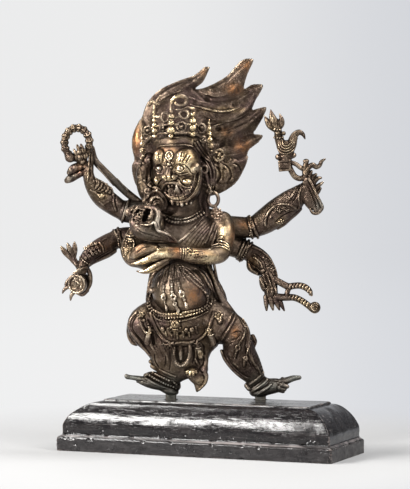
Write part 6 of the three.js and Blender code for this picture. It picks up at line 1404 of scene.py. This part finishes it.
GOLD, RUST, GREY, DARK, PALE = 0, 1, 2, 4, 5
# painted shade: DARK on the neck (184, 211), under the belt (182, 332) and in the fold gap (152.6, 339); painted light:
# PALE on the chest (182, 226), (176, 235) and belly (180, 288)
trunk = make(b, "figure_trunk", spots=[
    at(b, GOLD, 190, 371, 5, 0.9), at(b, GOLD, 200, 383, 7, 0.35), at(b, GOLD, 166, 300, 12, 0.25), at(b, GOLD, 182, 300, 12, 0.3), at(b, RUST, 193, 296, (8, 9, 11), 0.9), at(b, GOLD, 175, 325, 5, 0.5),
    at(b, RUST, 235, 332, (4, 6, 5), 0.8), at(b, GOLD, 181, 314, (26, 12, 4), 0.6), at(b, GOLD, 206, 333, 6, 0.5), at(b, GOLD, 150, 334, 5, 0.5), at(b, GOLD, 142, 315, 4, 0.4), at(b, GOLD, 218, 316, 4, 0.5),
    at(b, GREY, 160, 384, (26, 16, 12), 0.9), at(b, GREY, 133, 378, (12, 12, 8), 1.0), at(b, GREY, 296, 379, (12, 12, 9), 1.0), at(b, DARK, 131, 377, (10, 12, 7), 0.5), at(b, DARK, 298, 378, (9, 12, 7), 0.5), at(b, PALE, 211.4, 337, 4, 0.6), at(b, PALE, 199, 350, 4, 0.6), at(b, DARK, 182, 354, (10, 12, 9), 0.5), at(b, GREY, 268, 388, (26, 16, 14), 0.8), at(b, GREY, 171, 396, (9, 9, 12), 1.0), at(b, DARK, 171, 398, (9, 12, 7), 0.4), at(b, DARK, 260, 398, (9, 12, 7), 0.4), at(b, GREY, 260, 396, (9, 9, 10), 0.9), at(b, RUST, 157, 375, 7, 0.35),
    at(b, DARK, 178, 352, (30, 24, 20), 0.75), at(b, DARK, 145, 338, (14, 14, 16), 0.35), at(b, DARK, 240, 350, (20, 16, 20), 0.55), at(b, DARK, 141, 311, (8, 14, 8), 0.6), at(b, PALE, 180, 288, (24, 26, 20), 0.45), at(b, PALE, 182, 226, (20, 20, 14), 0.5), at(b, PALE, 222, 305, (9, 14, 14), 0.5),
    at(b, PALE, 152.8, 290.4, 3.5, 0.6), at(b, DARK, 184, 211, (22, 18, 9), 1.0), at(b, PALE, 176, 235, (17, 12, 10), 0.9), at(b, DARK, 186, 221.4, (20, 16, 3), 0.5), at(b, DARK, 174, 268, (9, 10, 6), 0.7), at(b, DARK, 182, 332, (24, 16, 9), 0.55), at(b, DARK, 152.6, 339, (4, 10, 8), 0.9), at(b, PALE, 181, 361, (10, 9, 7), 0.7), at(b, PALE, 212, 339, 4, 0.7), at(b, PALE, 147, 337, 4, 0.6), at(b, GOLD, 200, 353, 4, 0.6), at(b, GOLD, 178, 244, (24, 10, 4), 0.2), at(b, GOLD, 165, 334, (10, 9, 6), 0.3), at(b, GOLD, 181, 332, (12, 9, 6), 0.35)]
    + [at(b, PALE, x, y, 3.0, 1.0) for x, y in ((163.4, 288), (163.4, 293), (163.7, 298), (165, 303), (166.6, 308), (171.4, 286), (172, 292), (173.3, 298), (174.8, 304), (177.4, 310), (178.4, 285), (180, 290), (181.6, 294), (183.6, 299), (186, 304))])
# painted shade: DARK in the bowl's hollows (144, 212), (137.4, 211.8), (146, 215.4) and on the upper arm (217, 230);
# painted highlight: PALE on the upper arm (228, 232) and the forearm near the elbow (215, 253.6)
front = make(f, "figure_front_arms", most=140000, spots=[
    at(f, GOLD, 210, 257, (16, 14, 7), 1.0), at(f, GOLD, 194, 252, (10, 12, 7), 0.8), at(f, GOLD, 226, 232, (7, 9, 11), 1.0), at(f, GOLD, 163, 253, (11, 12, 6), 1.0), at(f, GOLD, 146, 261, (11, 12, 5), 0.9),
    at(f, GOLD, 148, 270, (14, 10, 4), 0.8), at(f, RUST, 176, 250, (5, 10, 7), 1.0), at(f, RUST, 140, 248, (8, 10, 6), 0.35), at(f, GOLD, 226, 247, (8, 10, 6), 0.6), at(f, GREY, 157, 220, (4, 8, 10), 0.5), at(f, GOLD, 128, 250, 9, 0.4), at(f, PALE, 154, 222, (4, 9, 4), 0.8), at(f, PALE, 160, 231.6, (9, 9, 4), 0.8), at(f, DARK, 144, 212, (10, 14, 6), 0.5), at(f, GREY, 148, 233, (14, 9, 8), 0.2), at(f, DARK, 148, 233, (22, 12, 9), 0.55), at(f, DARK, 137.4, 211.8, (4, 14, 3), 1.0), at(f, DARK, 146, 215.4, (4.6, 14, 6), 1.0), at(f, DARK, 197.4, 257, (6.4, 8, 4), 0.95), at(f, DARK, 217, 230, (4, 12, 9), 0.8), at(f, PALE, 228, 232, (4.5, 12, 10), 0.9), at(f, PALE, 215, 253.6, (11, 12, 5), 1.0), at(f, PALE, 158, 253, (9, 12, 4), 0.6), at(f, RUST, 232.6, 236, (3.4, 9, 10), 0.8), at(f, DARK, 233, 240, (3, 9, 8), 0.5), at(f, RUST, 200, 252, (9, 9, 5), 0.4)])
# painted shade: DARK under the jaw and on the neck (182, 209), (196, 206), (199, 200), (166, 208), and in the gaps
# between the crown's leaves (162.5, 125), (182, 123), (201.5, 130), (148, 134)
head = make(h, "figure_head", spots=[
    at(h, GOLD, 187, 161, (13, 10, 12), 1.0), at(h, GOLD, 160, 157, (8, 9, 9), 0.6), at(h, GOLD, 172, 154, (9, 9, 8), 0.4), at(h, PALE, 172, 158, (7, 9, 7), 0.2), at(h, DARK, 168, 147, (16, 10, 6), 0.5), at(h, PALE, 193, 168, (7, 9, 9), 0.5), at(h, GOLD, 194, 172, (6, 9, 8), 0.6), at(h, GOLD, 186, 181, (6, 8, 5), 0.9), at(h, GOLD, 168, 178, (7, 8, 3), 0.7), at(h, GOLD, 172, 130, (4, 8, 14), 0.9),
    at(h, GOLD, 154, 124, (4, 8, 18), 0.7), at(h, GOLD, 193, 124, (4, 8, 17), 0.8), at(h, GOLD, 210, 136, (4, 8, 15), 0.75), at(h, GOLD, 174, 98, (7, 8, 5), 0.8), at(h, GOLD, 142, 146, (4, 8, 16), 0.5), at(h, GOLD, 218, 156, 6, 0.5),
    at(h, RUST, 165, 150, (12, 10, 3), 0.5), at(h, GOLD, 213, 196, 8, 0.6), at(h, RUST, 216.6, 213, 7, 0.55), at(h, PALE, 216.6, 213, 7.5, 1.0), at(h, DARK, 182, 209, (20, 16, 9), 1.0), at(h, DARK, 196, 206, (10, 16, 9), 1.0), at(h, DARK, 146, 176, (9, 14, 22), 0.6), at(h, DARK, 155, 198, (13, 14, 10), 0.4), at(h, DARK, 162.5, 125, (5, 14, 12), 0.8), at(h, DARK, 182, 123, (7, 14, 12), 0.8), at(h, DARK, 201.5, 130, (5, 14, 10), 0.8), at(h, DARK, 148, 134, (4, 14, 10), 0.7), at(h, GOLD, 180, 199, (12, 10, 4), 0.35), at(h, GOLD, 190, 166, (8, 9, 9), 0.9), at(h, GOLD, 157, 181, (4, 8, 6), 0.5), at(h, GOLD, 197, 184, (4, 9, 12), 0.35),
    at(h, DARK, 199, 200, (8, 12, 14), 0.8), at(h, DARK, 166, 208, (12, 12, 8), 0.6), at(h, GOLD, 169, 178.6, (6, 8, 2.4), 0.8), at(h, PALE, 159.8, 168.4, 2.4, 0.8), at(h, PALE, 180.2, 167.8, 3.0, 0.8), at(h, PALE, 181.8, 205.4, 2.4, 0.9), at(h, PALE, 190.4, 202.8, 2, 0.9), at(h, PALE, 177, 188, (3, 6, 3), 0.6)])
# painted shade: DARK at (181, 102) and (184, 117), seen through the openings of the crown
flame = make(m, "figure_flame", most=90000, dark=0.32, spots=[
    at(m, RUST, 135.6, 138, (4, 14, 12), 1.0), at(m, RUST, 247, 66, (6, 14, 5), 0.75), at(m, RUST, 234, 89, (7, 14, 4.5), 0.95), at(m, RUST, 243, 146, (8, 14, 6), 0.85), at(m, RUST, 204, 72, (5, 14, 4), 0.35), at(m, RUST, 226, 132, (6, 14, 4), 0.5),
    at(m, DARK, 232, 130, (16, 14, 10), 0.65), at(m, DARK, 250, 116, (14, 14, 7), 0.6), at(m, DARK, 246, 76, (9, 14, 6), 0.5), at(m, DARK, 190, 90, (26, 14, 9), 0.5), at(m, DARK, 240, 168, (12, 14, 14), 0.55), at(m, DARK, 181, 102, (6, 14, 6), 0.9), at(m, DARK, 184, 117, (8, 14, 7), 0.9),
    at(m, GOLD, 225, 110, (26, 10, 2.5), 0.5), at(m, GOLD, 222, 172, (12, 10, 9), 0.4)])
right_arms = make(l, "figure_right_arms", most=140000, dark=0.36, spots=[
    at(l, DARK, 82, 157, (14, 14, 12), 0.8), at(l, GREY, 133, 211, (9, 14, 12), 0.7), at(l, DARK, 77, 143, (18, 14, 20), 0.75), at(l, DARK, 70, 248, (10, 12, 11), 0.9), 
    at(l, GOLD, 102, 196, 5, 0.6), at(l, RUST, 80, 169, 5, 0.3), at(l, DARK, 104, 168, (9, 14, 12), 0.9), at(l, DARK, 122, 190, (12, 14, 14), 0.9), at(l, PALE, 76.6, 284, (9, 12, 9), 0.6), at(l, GOLD, 82, 158, 7, 0.1), at(l, DARK, 71, 177, (9, 9, 6), 0.8), at(l, RUST, 70, 150, (8, 9, 12), 0.35), at(l, DARK, 112, 180, (26, 14, 22), 0.65), at(l, GOLD, 88, 176, (3, 9, 9), 0.3), at(l, RUST, 100, 246, (9, 9, 5), 0.35), at(l, GOLD, 76, 285, (9, 12, 9), 0.35), at(l, GREY, 97, 160, (4, 9, 8), 0.25),
    at(l, GREY, 118, 186, (14, 9, 16), 0.25), at(l, GREY, 70, 178.6, (6, 9, 6), 0.35)])
left_arms = make(r, "figure_left_arms", most=140000, dark=0.38, spots=[
    at(r, DARK, 272, 190, (30, 14, 24), 0.6), at(r, DARK, 284, 164, (12, 14, 12), 0.5), 
    at(r, RUST, 245, 224, (7, 12, 5), 0.45), at(r, DARK, 240, 228, (14, 14, 12), 0.7), at(r, DARK, 275, 122, (10, 12, 10), 0.6), at(r, DARK, 310, 198, (9, 12, 14), 0.7), at(r, DARK, 316, 182, (9, 12, 9), 0.6), at(r, GOLD, 281, 221, 5, 0.5), at(r, GOLD, 286, 146, 8, 0.35), at(r, GOLD, 270, 122, 8, 0.25), at(r, GOLD, 253, 262, 6, 0.4), at(r, GOLD, 306, 286, 7, 0.35), at(r, GOLD, 303, 302, 9, 0.4),
    at(r, GREY, 320, 205, 6, 0.6), at(r, RUST, 252, 262, 5, 0.4)])
plinth = make(w, "plinth_worked", own_frame=False, adapt=0.02, most=60000)

# =================================================================================================
# materials
# =================================================================================================


class Nodes:
    def __init__(s, name):
        s.m = bpy.data.materials.new(name)
        s.m.use_nodes = True
        s.t = s.m.node_tree
        s.t.nodes.clear()
        s.out = s.t.nodes.new("ShaderNodeOutputMaterial")
        s.bsdf = s.t.nodes.new("ShaderNodeBsdfPrincipled")
        s.t.links.new(s.bsdf.outputs[0], s.out.inputs[0])
        s.obj = s.t.nodes.new("ShaderNodeTexCoord").outputs["Object"]

    def put(s, socket, v):
        if hasattr(v, "links"):
            s.t.links.new(v, socket)
        else:
            socket.default_value = v

    def math(s, op, a, c=0.0, e=0.0, clamp=False):
        n = s.t.nodes.new("ShaderNodeMath"); n.operation = op; n.use_clamp = clamp
        for k, v in enumerate((a, c, e)):
            s.put(n.inputs[k], v)
        return n.outputs[0]

    def noise(s, scale, detail=4.0, rough=0.55, dist=0.0, stretch=None, turn=None, seed=0.0):
        v = s.obj
        if stretch or turn or seed:
            mp = s.t.nodes.new("ShaderNodeMapping")
            mp.inputs["Location"].default_value = (seed, seed * 0.7, -seed)
            if turn: mp.inputs["Rotation"].default_value = turn
            if stretch: mp.inputs["Scale"].default_value = stretch
            s.t.links.new(v, mp.inputs[0]); v = mp.outputs[0]
        n = s.t.nodes.new("ShaderNodeTexNoise")
        n.inputs["Scale"].default_value = scale; n.inputs["Detail"].default_value = detail
        n.inputs["Roughness"].default_value = rough; n.inputs["Distortion"].default_value = dist
        s.t.links.new(v, n.inputs["Vector"])
        return n.outputs[0]

    def voronoi(s, scale, feature="F1", out="Distance", stretch=None):
        v = s.obj
        if stretch:
            mp = s.t.nodes.new("ShaderNodeMapping"); mp.inputs["Scale"].default_value = stretch
            s.t.links.new(v, mp.inputs[0]); v = mp.outputs[0]
        n = s.t.nodes.new("ShaderNodeTexVoronoi"); n.feature = feature; n.inputs["Scale"].default_value = scale
        s.t.links.new(v, n.inputs["Vector"])
        return n.outputs[out]

    def ramp(s, v, lo, hi, a=0.0, c=1.0, ease=True):
        n = s.t.nodes.new("ShaderNodeMapRange")
        n.interpolation_type = "SMOOTHSTEP" if ease else "LINEAR"
        n.inputs["From Min"].default_value, n.inputs["From Max"].default_value = lo, hi
        n.inputs["To Min"].default_value, n.inputs["To Max"].default_value = a, c
        s.put(n.inputs["Value"], v)
        return n.outputs[0]

    def mix(s, f, a, c, mode="MIX"):
        n = s.t.nodes.new("ShaderNodeMix"); n.data_type = "RGBA"; n.blend_type = mode
        s.put(n.inputs["Factor"], f)
        for k, v in ((6, a), (7, c)):
            s.put(n.inputs[k], (*v, 1) if isinstance(v, tuple) and len(v) == 3 else v)
        return n.outputs[2]

    def attribute(s, name):
        n = s.t.nodes.new("ShaderNodeAttribute"); n.attribute_name = name
        sp = s.t.nodes.new("ShaderNodeSeparateColor")
        s.t.links.new(n.outputs["Color"], sp.inputs[0])
        return sp.outputs[0], sp.outputs[1], sp.outputs[2]

    def bump(s, height, strength, distance, normal=None):
        n = s.t.nodes.new("ShaderNodeBump"); n.inputs["Strength"].default_value = strength; n.inputs["Distance"].default_value = distance
        s.put(n.inputs["Height"], height)
        if normal is not None:
            s.t.links.new(normal, n.inputs["Normal"])
        return n.outputs[0]

    def set(s, **kw):
        for k, v in kw.items():
            s.put(s.bsdf.inputs[k.replace("_", " ")], (*v, 1) if isinstance(v, tuple) and len(v) == 3 else v)


def bronze():
    s = Nodes("bronze_patinated")
    fine, broad, opened = s.attribute("form")
    gold, rust, grey = s.attribute("tint")
    dark, pale, _ = s.attribute("shade")
    cloud = s.noise(38, 5, 0.6)
    eaten = s.ramp(s.noise(300, 4, 0.65, 0.4, seed=29.0), 0.42, 0.54)
    gold = s.math("MULTIPLY", gold, s.math("SUBTRACT", 1.0, s.math("MULTIPLY", dark, eaten)), clamp=True)
    mott = s.noise(150, 4, 0.6, 0.4, seed=3.0)
    grain = s.noise(620, 3, 0.6, seed=7.0)
    speck = s.noise(1500, 2, 0.5, seed=11.0)
    flick = s.noise(480, 3, 0.65, 0.3, seed=17.0)
    # wear: what stands out is rubbed bright, unevenly
    blot = s.noise(75, 3, 0.5, seed=5.0)
    high = s.math("ADD", s.ramp(fine, 0.58, 0.92), s.math("MULTIPLY", s.ramp(broad, 0.60, 0.95), 0.5), clamp=True)
    patch = s.ramp(s.math("ADD", s.math("MULTIPLY", mott, 0.45), s.math("ADD", s.math("MULTIPLY", grain, 0.25), s.math("MULTIPLY", blot, 0.3))), 0.42, 0.60, 0.04, 1.0)
    wear = s.math("MULTIPLY", high, s.math("MAXIMUM", patch, s.math("MULTIPLY", gold, 0.9)), clamp=True)
    wear = s.math("MULTIPLY", wear, s.ramp(opened, 0.35, 0.9, 0.15, 1.0))
    # low marks creases and enclosed hollows; they are painted dark further down as painted shade
    low = s.math("MAXIMUM", s.ramp(fine, 0.48, 0.30), s.ramp(opened, 0.78, 0.30))
    skin = s.mix(s.ramp(cloud, 0.35, 0.68), (0.050, 0.033, 0.023), (0.118, 0.080, 0.058))
    skin = s.mix(s.math("MULTIPLY", s.ramp(mott, 0.46, 0.70), 0.65), skin, (0.23, 0.165, 0.122))
    skin = s.mix(s.math("MULTIPLY", s.ramp(grain, 0.52, 0.66), 0.70), skin, (0.026, 0.018, 0.014))
    skin = s.mix(s.math("MULTIPLY", s.ramp(flick, 0.56, 0.68), 0.60), skin, (0.36, 0.28, 0.22))
    drift = s.noise(27, 4, 0.6, 0.6, seed=51.0)
    skin = s.mix(s.math("MULTIPLY", s.ramp(drift, 0.50, 0.62), 0.42), skin, (0.082, 0.050, 0.053))
    skin = s.mix(s.math("MULTIPLY", s.ramp(drift, 0.49, 0.38), 0.36), skin, (0.092, 0.069, 0.034))
    # pale spots: pale metal of the pendants, tongue and earring flower, and painted light on the chest and belly
    skin = s.mix(s.math("MULTIPLY", pale, s.ramp(mott, 0.32, 0.60, 0.35, 0.80)), skin, (0.40, 0.31, 0.235))
    # dark spots darken the flame, arms, skirt, rosary and necklace; on the neck, under the belt, in gaps, in the bowl's
    # hollows and between the crown's leaves they are painted shade
    skin = s.mix(s.math("MULTIPLY", dark, 0.85), skin, (0.020, 0.0135, 0.0095))
    skin = s.mix(s.math("MULTIPLY", gold, 0.75), skin, s.mix(s.ramp(mott, 0.38, 0.62), (0.115, 0.068, 0.026), (0.50, 0.34, 0.155)))
    skin = s.mix(s.math("MULTIPLY", grey, s.ramp(mott, 0.25, 0.6, 0.5, 1.0)), skin, (0.115, 0.120, 0.108))
    skin = s.mix(s.math("MULTIPLY", rust, s.ramp(s.math("ADD", mott, s.math("MULTIPLY", grain, 0.4)), 0.55, 0.80, 0.15, 1.0), clamp=True), skin, (0.36, 0.165, 0.068))
    low = s.math("MULTIPLY", low, s.math("SUBTRACT", 1.0, s.math("MULTIPLY", pale, 0.75)), clamp=True)
    # painted shade: creases and enclosed hollows darkened, less where pale spots lie
    skin = s.mix(s.math("MULTIPLY", low, 0.92), skin, (0.012, 0.0072, 0.0045))
    metal = s.mix(s.ramp(mott, 0.4, 0.7), (0.38, 0.285, 0.20), (0.56, 0.45, 0.33))
    metal = s.mix(gold, metal, s.mix(s.ramp(s.noise(230, 4, 0.6, 0.4, seed=23.0), 0.52, 0.68), (0.95, 0.76, 0.45), (0.36, 0.20, 0.065)))
    # pale spots lighten the worn metal too, which on the chest and belly is painted light
    metal = s.mix(s.math("MULTIPLY", pale, s.math("SUBTRACT", 1.0, gold), clamp=True), metal, (0.84, 0.76, 0.64))
    metal = s.mix(s.math("MULTIPLY", grey, 0.8), metal, (0.43, 0.44, 0.41))
    # pale on gold: a painted highlight on the gold forearm near the elbow
    metal = s.mix(s.math("MULTIPLY", s.math("MULTIPLY", pale, gold), 0.8, clamp=True), metal, (1.0, 0.91, 0.70))
    rubbed = s.math("ADD", s.math("MULTIPLY", wear, s.ramp(grey, 0.0, 1.0, 0.62, 0.34)), s.math("MULTIPLY", s.math("MULTIPLY", gold, s.ramp(fine, 0.42, 0.56)), s.ramp(s.math("ADD", s.math("MULTIPLY", mott, 0.6), s.math("MULTIPLY", grain, 0.4)), 0.36, 0.56, 0.25, 1.0)), clamp=True)
    colour = s.mix(rubbed, skin, metal)
    colour = s.mix(s.math("MULTIPLY", s.ramp(speck, 0.60, 0.72), 0.4), colour, (0.02, 0.016, 0.014))
    rough = s.math("ADD", s.ramp(rubbed, 0.0, 1.0, 0.33, 0.20), s.math("MULTIPLY", low, 0.30))
    rough = s.math("ADD", rough, s.ramp(grain, 0.3, 0.75, -0.06, 0.12))
    rough = s.math("ADD", rough, s.math("ADD", s.math("MULTIPLY", grey, 0.16), s.math("ADD", s.math("MULTIPLY", gold, -0.04), s.math("MULTIPLY", s.math("MULTIPLY", pale, gold), 0.14))))
    height = s.math("ADD", s.math("MULTIPLY", mott, 0.9), s.math("ADD", s.math("MULTIPLY", grain, 0.5), s.math("MULTIPLY", speck, 0.2)))
    pits = s.ramp(s.voronoi(330), 0.0, 0.35)
    n1 = s.bump(height, 0.9, 0.0008)
    n2 = s.bump(pits, 0.3, 0.0003, n1)
    s.set(Base_Color=colour, Roughness=rough, Metallic=s.ramp(rubbed, 0.0, 0.8, 0.92, 0.98), Normal=n2)
    s.bsdf.inputs["Specular IOR Level"].default_value = 0.4
    return s.m


def black_wood():
    s = Nodes("black_painted_wood")
    fine, broad, opened = s.attribute("form")
    sep = s.t.nodes.new("ShaderNodeSeparateXYZ"); s.t.links.new(s.obj, sep.inputs[0])
    X, Y, Z = sep.outputs
    grain = s.noise(60, 6, 0.65, 0.3, stretch=(0.35, 2.6, 2.6))
    streak = s.noise(95, 5, 0.6, 0.5, stretch=(0.12, 2.0, 2.0), seed=2.0)
    mott = s.noise(70, 5, 0.6, seed=5.0)
    speck = s.noise(900, 3, 0.6, seed=9.0)
    scratch = s.noise(240, 4, 0.6, 1.2, stretch=(0.10, 1.3, 1.3), turn=(0, 0, 0.35), seed=4.0)
    ripple = s.noise(210, 3, 0.6, 0.6, stretch=(0.5, 1.0, 1.0), seed=13.0)
    edge = s.math("MULTIPLY", s.ramp(fine, 0.56, 0.80), s.ramp(s.math("ADD", s.math("MULTIPLY", mott, 0.6), s.math("MULTIPLY", speck, 0.4)), 0.40, 0.58), clamp=True)
    top = s.ramp(Z, 0.0512, 0.0521)
    end = s.ramp(X, 0.1465, 0.1478)
    paint = s.mix(s.ramp(mott, 0.35, 0.7), (0.0050, 0.0044, 0.0050), (0.0125, 0.0108, 0.0112))
    paint = s.mix(s.math("MULTIPLY", s.ramp(streak, 0.50, 0.72), 0.5), paint, (0.026, 0.021, 0.020))
    # top panel lightened: partly dust, partly a painted reflection of the bright surround seen at grazing view
    dust_and_sheen = s.math("MULTIPLY", s.ramp(s.math("ADD", s.math("MULTIPLY", streak, 0.45), s.math("ADD", s.math("MULTIPLY", mott, 0.25), s.math("MULTIPLY", speck, 0.3))), 0.36, 0.66), 0.55)
    paint = s.mix(s.math("MULTIPLY", top, dust_and_sheen), paint, (0.062, 0.060, 0.058))
    scuff = s.noise(130, 5, 0.65, 0.8, seed=31.0)
    paint = s.mix(s.math("MULTIPLY", end, s.ramp(scuff, 0.44, 0.62, 0.05, 0.9)), paint, (0.085, 0.080, 0.078))
    paint = s.mix(s.math("MULTIPLY", s.ramp(scuff, 0.60, 0.70), s.ramp(X, 0.09, 0.146, 0.0, 0.8)), paint, (0.20, 0.175, 0.165))
    paint = s.mix(s.math("MULTIPLY", s.ramp(speck, 0.63, 0.70), 0.5), paint, (0.16, 0.145, 0.14))
    ledge = s.math("MULTIPLY", s.ramp(Z, 0.0143, 0.0150), s.math("SUBTRACT", 1.0, s.ramp(Z, 0.0162, 0.0167)))
    paint = s.mix(s.math("MULTIPLY", ledge, s.ramp(s.math("ADD", s.math("MULTIPLY", mott, 0.5), s.math("MULTIPLY", streak, 0.5)), 0.40, 0.62, 0.05, 0.85)), paint, (0.21, 0.185, 0.18))
    bare = s.mix(s.ramp(grain, 0.4, 0.65), (0.10, 0.078, 0.070), (0.24, 0.19, 0.17))
    colour = s.mix(s.math("MULTIPLY", edge, 0.75), paint, bare)
    colour = s.mix(s.math("MULTIPLY", s.ramp(scratch, 0.64, 0.70), 0.25), colour, (0.13, 0.115, 0.11))
    slab = s.math("SUBTRACT", 1.0, s.ramp(Z, 0.0130, 0.0140))
    colour = s.mix(s.math("MULTIPLY", slab, s.ramp(s.math("ADD", s.math("MULTIPLY", ripple, 0.6), s.math("MULTIPLY", speck, 0.4)), 0.42, 0.62, 0.10, 0.80)), colour, (0.034, 0.031, 0.0315))
    # painted shade: enclosed places darkened
    colour = s.mix(s.math("MULTIPLY", s.ramp(opened, 0.80, 0.35), 0.6), colour, (0.006, 0.005, 0.005))
    rough = s.math("ADD", s.ramp(mott, 0.3, 0.7, 0.12, 0.19), s.math("MULTIPLY", edge, 0.3))
    rough = s.math("ADD", rough, s.math("ADD", s.math("MULTIPLY", end, 0.28), s.math("MULTIPLY", ledge, 0.2)))
    rough = s.math("ADD", rough, s.math("MULTIPLY", s.ramp(streak, 0.50, 0.75), 0.10))
    rough = s.math("ADD", rough, s.math("MULTIPLY", s.math("MULTIPLY", top, s.ramp(streak, 0.40, 0.58)), 0.05))
    scrape = s.noise(520, 3, 0.6, 0.8, stretch=(0.22, 1.0, 1.0), seed=41.0)
    height = s.math("ADD", s.math("ADD", s.math("MULTIPLY", streak, 0.7), s.math("MULTIPLY", ripple, 0.5)), s.math("ADD", s.math("MULTIPLY", grain, 0.6), s.math("ADD", s.math("MULTIPLY", speck, 0.12), s.math("MULTIPLY", s.ramp(scrape, 0.54, 0.68), 0.22))))
    n1 = s.bump(height, 0.40, 0.0006)
    s.set(Base_Color=colour, Roughness=rough, Normal=n1, Metallic=0.0)
    s.bsdf.inputs["Specular IOR Level"].default_value = 0.34
    return s.m


BRONZE, WOOD = bronze(), black_wood()
for ob in MADE:
    ob.data.materials.append(WOOD if ob is plinth else BRONZE)
    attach(ob, "root")
    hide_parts("plinth" if ob is plinth else "figure")

# =================================================================================================
# floor, light and camera
# =================================================================================================
# the floor passes into the tone of the surround with distance, so that no horizon shows: its far part glows, painted
# light in that tone, with painted shade towards the right
SURROUND, SHADED = (0.835, 0.838, 0.842), (0.655, 0.670, 0.705)      # tone of the surround to the left and to the right


def across(N, links, way):
    """Tone of the surround for a direction from the camera: SURROUND to the left, SHADED to the right."""
    d = N.new("ShaderNodeVectorMath"); d.operation = "DOT_PRODUCT"; d.inputs[1].default_value = tuple(RIGHT)
    links.new(way, d.inputs[0])
    r = N.new("ShaderNodeMapRange"); r.interpolation_type = "SMOOTHSTEP"
    r.inputs["From Min"].default_value, r.inputs["From Max"].default_value = -0.035, 0.105
    links.new(d.outputs["Value"], r.inputs["Value"])
    c = N.new("ShaderNodeMix"); c.data_type = "RGBA"
    c.inputs[6].default_value, c.inputs[7].default_value = (*SURROUND, 1), (*SHADED, 1)
    links.new(r.outputs[0], c.inputs["Factor"])
    return c.outputs[2]


floor_mat = Nodes("pale_floor")
N, links = floor_mat.t.nodes, floor_mat.t.links
tone = floor_mat.noise(6, 3, 0.5)
floor_mat.set(Base_Color=floor_mat.mix(tone, (0.330, 0.330, 0.332), (0.340, 0.340, 0.342)), Roughness=0.7)
far = N.new("ShaderNodeVectorMath"); far.operation = "LENGTH"
links.new(floor_mat.obj, far.inputs[0])
off = N.new("ShaderNodeVectorMath"); off.operation = "SUBTRACT"; off.inputs[1].default_value = tuple(CAM * 0.001)
links.new(floor_mat.obj, off.inputs[0])
unit = N.new("ShaderNodeVectorMath"); unit.operation = "NORMALIZE"
links.new(off.outputs[0], unit.inputs[0])
glow = N.new("ShaderNodeEmission")
links.new(across(N, links, unit.outputs[0]), glow.inputs[0])
links.new(floor_mat.ramp(far.outputs["Value"], 0.6, 6.0, 1.04, 1.0), glow.inputs[1])
blend = N.new("ShaderNodeMixShader")
links.new(floor_mat.ramp(far.outputs["Value"], 0.20, 0.52), blend.inputs[0])
links.new(floor_mat.bsdf.outputs[0], blend.inputs[1])
links.new(glow.outputs[0], blend.inputs[2])
links.new(blend.outputs[0], floor_mat.out.inputs[0])
bpy.ops.mesh.primitive_circle_add(vertices=96, radius=30, fill_type="NGON", location=(0, 0, 0))
floor = bpy.context.object
floor.name = "floor"
floor.data.materials.append(floor_mat.m)

world = bpy.data.worlds.new("studio")
bpy.context.scene.world = world
world.use_nodes = True
wt = world.node_tree
sky = wt.nodes["Background"]
way = wt.nodes.new("ShaderNodeTexCoord").outputs["Generated"]
dot = wt.nodes.new("ShaderNodeVectorMath"); dot.operation = "DOT_PRODUCT"
dot.inputs[1].default_value = (-math.sin(AZ), math.cos(AZ), 0.0)
wt.links.new(way, dot.inputs[0])
lit = wt.nodes.new("ShaderNodeMapRange"); lit.interpolation_type = "SMOOTHSTEP"
for key, v in (("From Min", 0.76), ("From Max", 0.985), ("To Min", 0.16), ("To Max", 1.0)):
    lit.inputs[key].default_value = v
wt.links.new(dot.outputs["Value"], lit.inputs["Value"])
wt.links.new(across(wt.nodes, wt.links, way), sky.inputs[0])
wt.links.new(lit.outputs[0], sky.inputs[1])


def softbox(name, az, el, dist, size, power, colour=(1, 1, 1), aim=(0, 0, 0.2)):
    li = bpy.data.lights.new(name, "AREA")
    li.shape = "RECTANGLE"; li.size, li.size_y = size
    li.energy = power; li.color = colour
    ob = bpy.data.objects.new(name, li)
    a, e = math.radians(az), math.radians(el)
    ob.location = Vector(aim) + Vector((math.sin(a) * math.cos(e), -math.cos(a) * math.cos(e), math.sin(e))) * dist
    ob.rotation_euler = (ob.location - Vector(aim)).to_track_quat("Z", "Y").to_euler()
    bpy.context.scene.collection.objects.link(ob)
    return ob


softbox("key_left", -29, 18, 1.5, (0.54, 0.25), 33, (1.0, 0.985, 0.96))
softbox("key_high", -68, 50, 1.5, (0.42, 0.5), 28, (1.0, 0.99, 0.97))
softbox("key_right", 74, 36, 1.5, (0.4, 0.6), 20, (1.0, 0.99, 0.97))
softbox("top", 110, 66, 1.6, (0.5, 0.4), 20)
softbox("front_low", 24, 10, 1.7, (0.5, 0.4), 7)

cam = bpy.data.cameras.new("camera")
cam.sensor_fit = "AUTO"
cam.sensor_width = 36
cam.lens = FOC / 489 * 36
cam.clip_start, cam.clip_end = 0.1, 30
eye = bpy.data.objects.new("camera", cam)
eye.location = Vector(CAM * 0.001)
eye.rotation_mode = "QUATERNION"
eye.rotation_quaternion = Matrix((RIGHT, UP, BACK)).transposed().to_quaternion()
bpy.context.scene.collection.objects.link(eye)
bpy.context.scene.camera = eye
bpy.context.scene.view_settings.view_transform = "Standard"

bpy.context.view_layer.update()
print("done %.1f s" % (time.time() - T0))
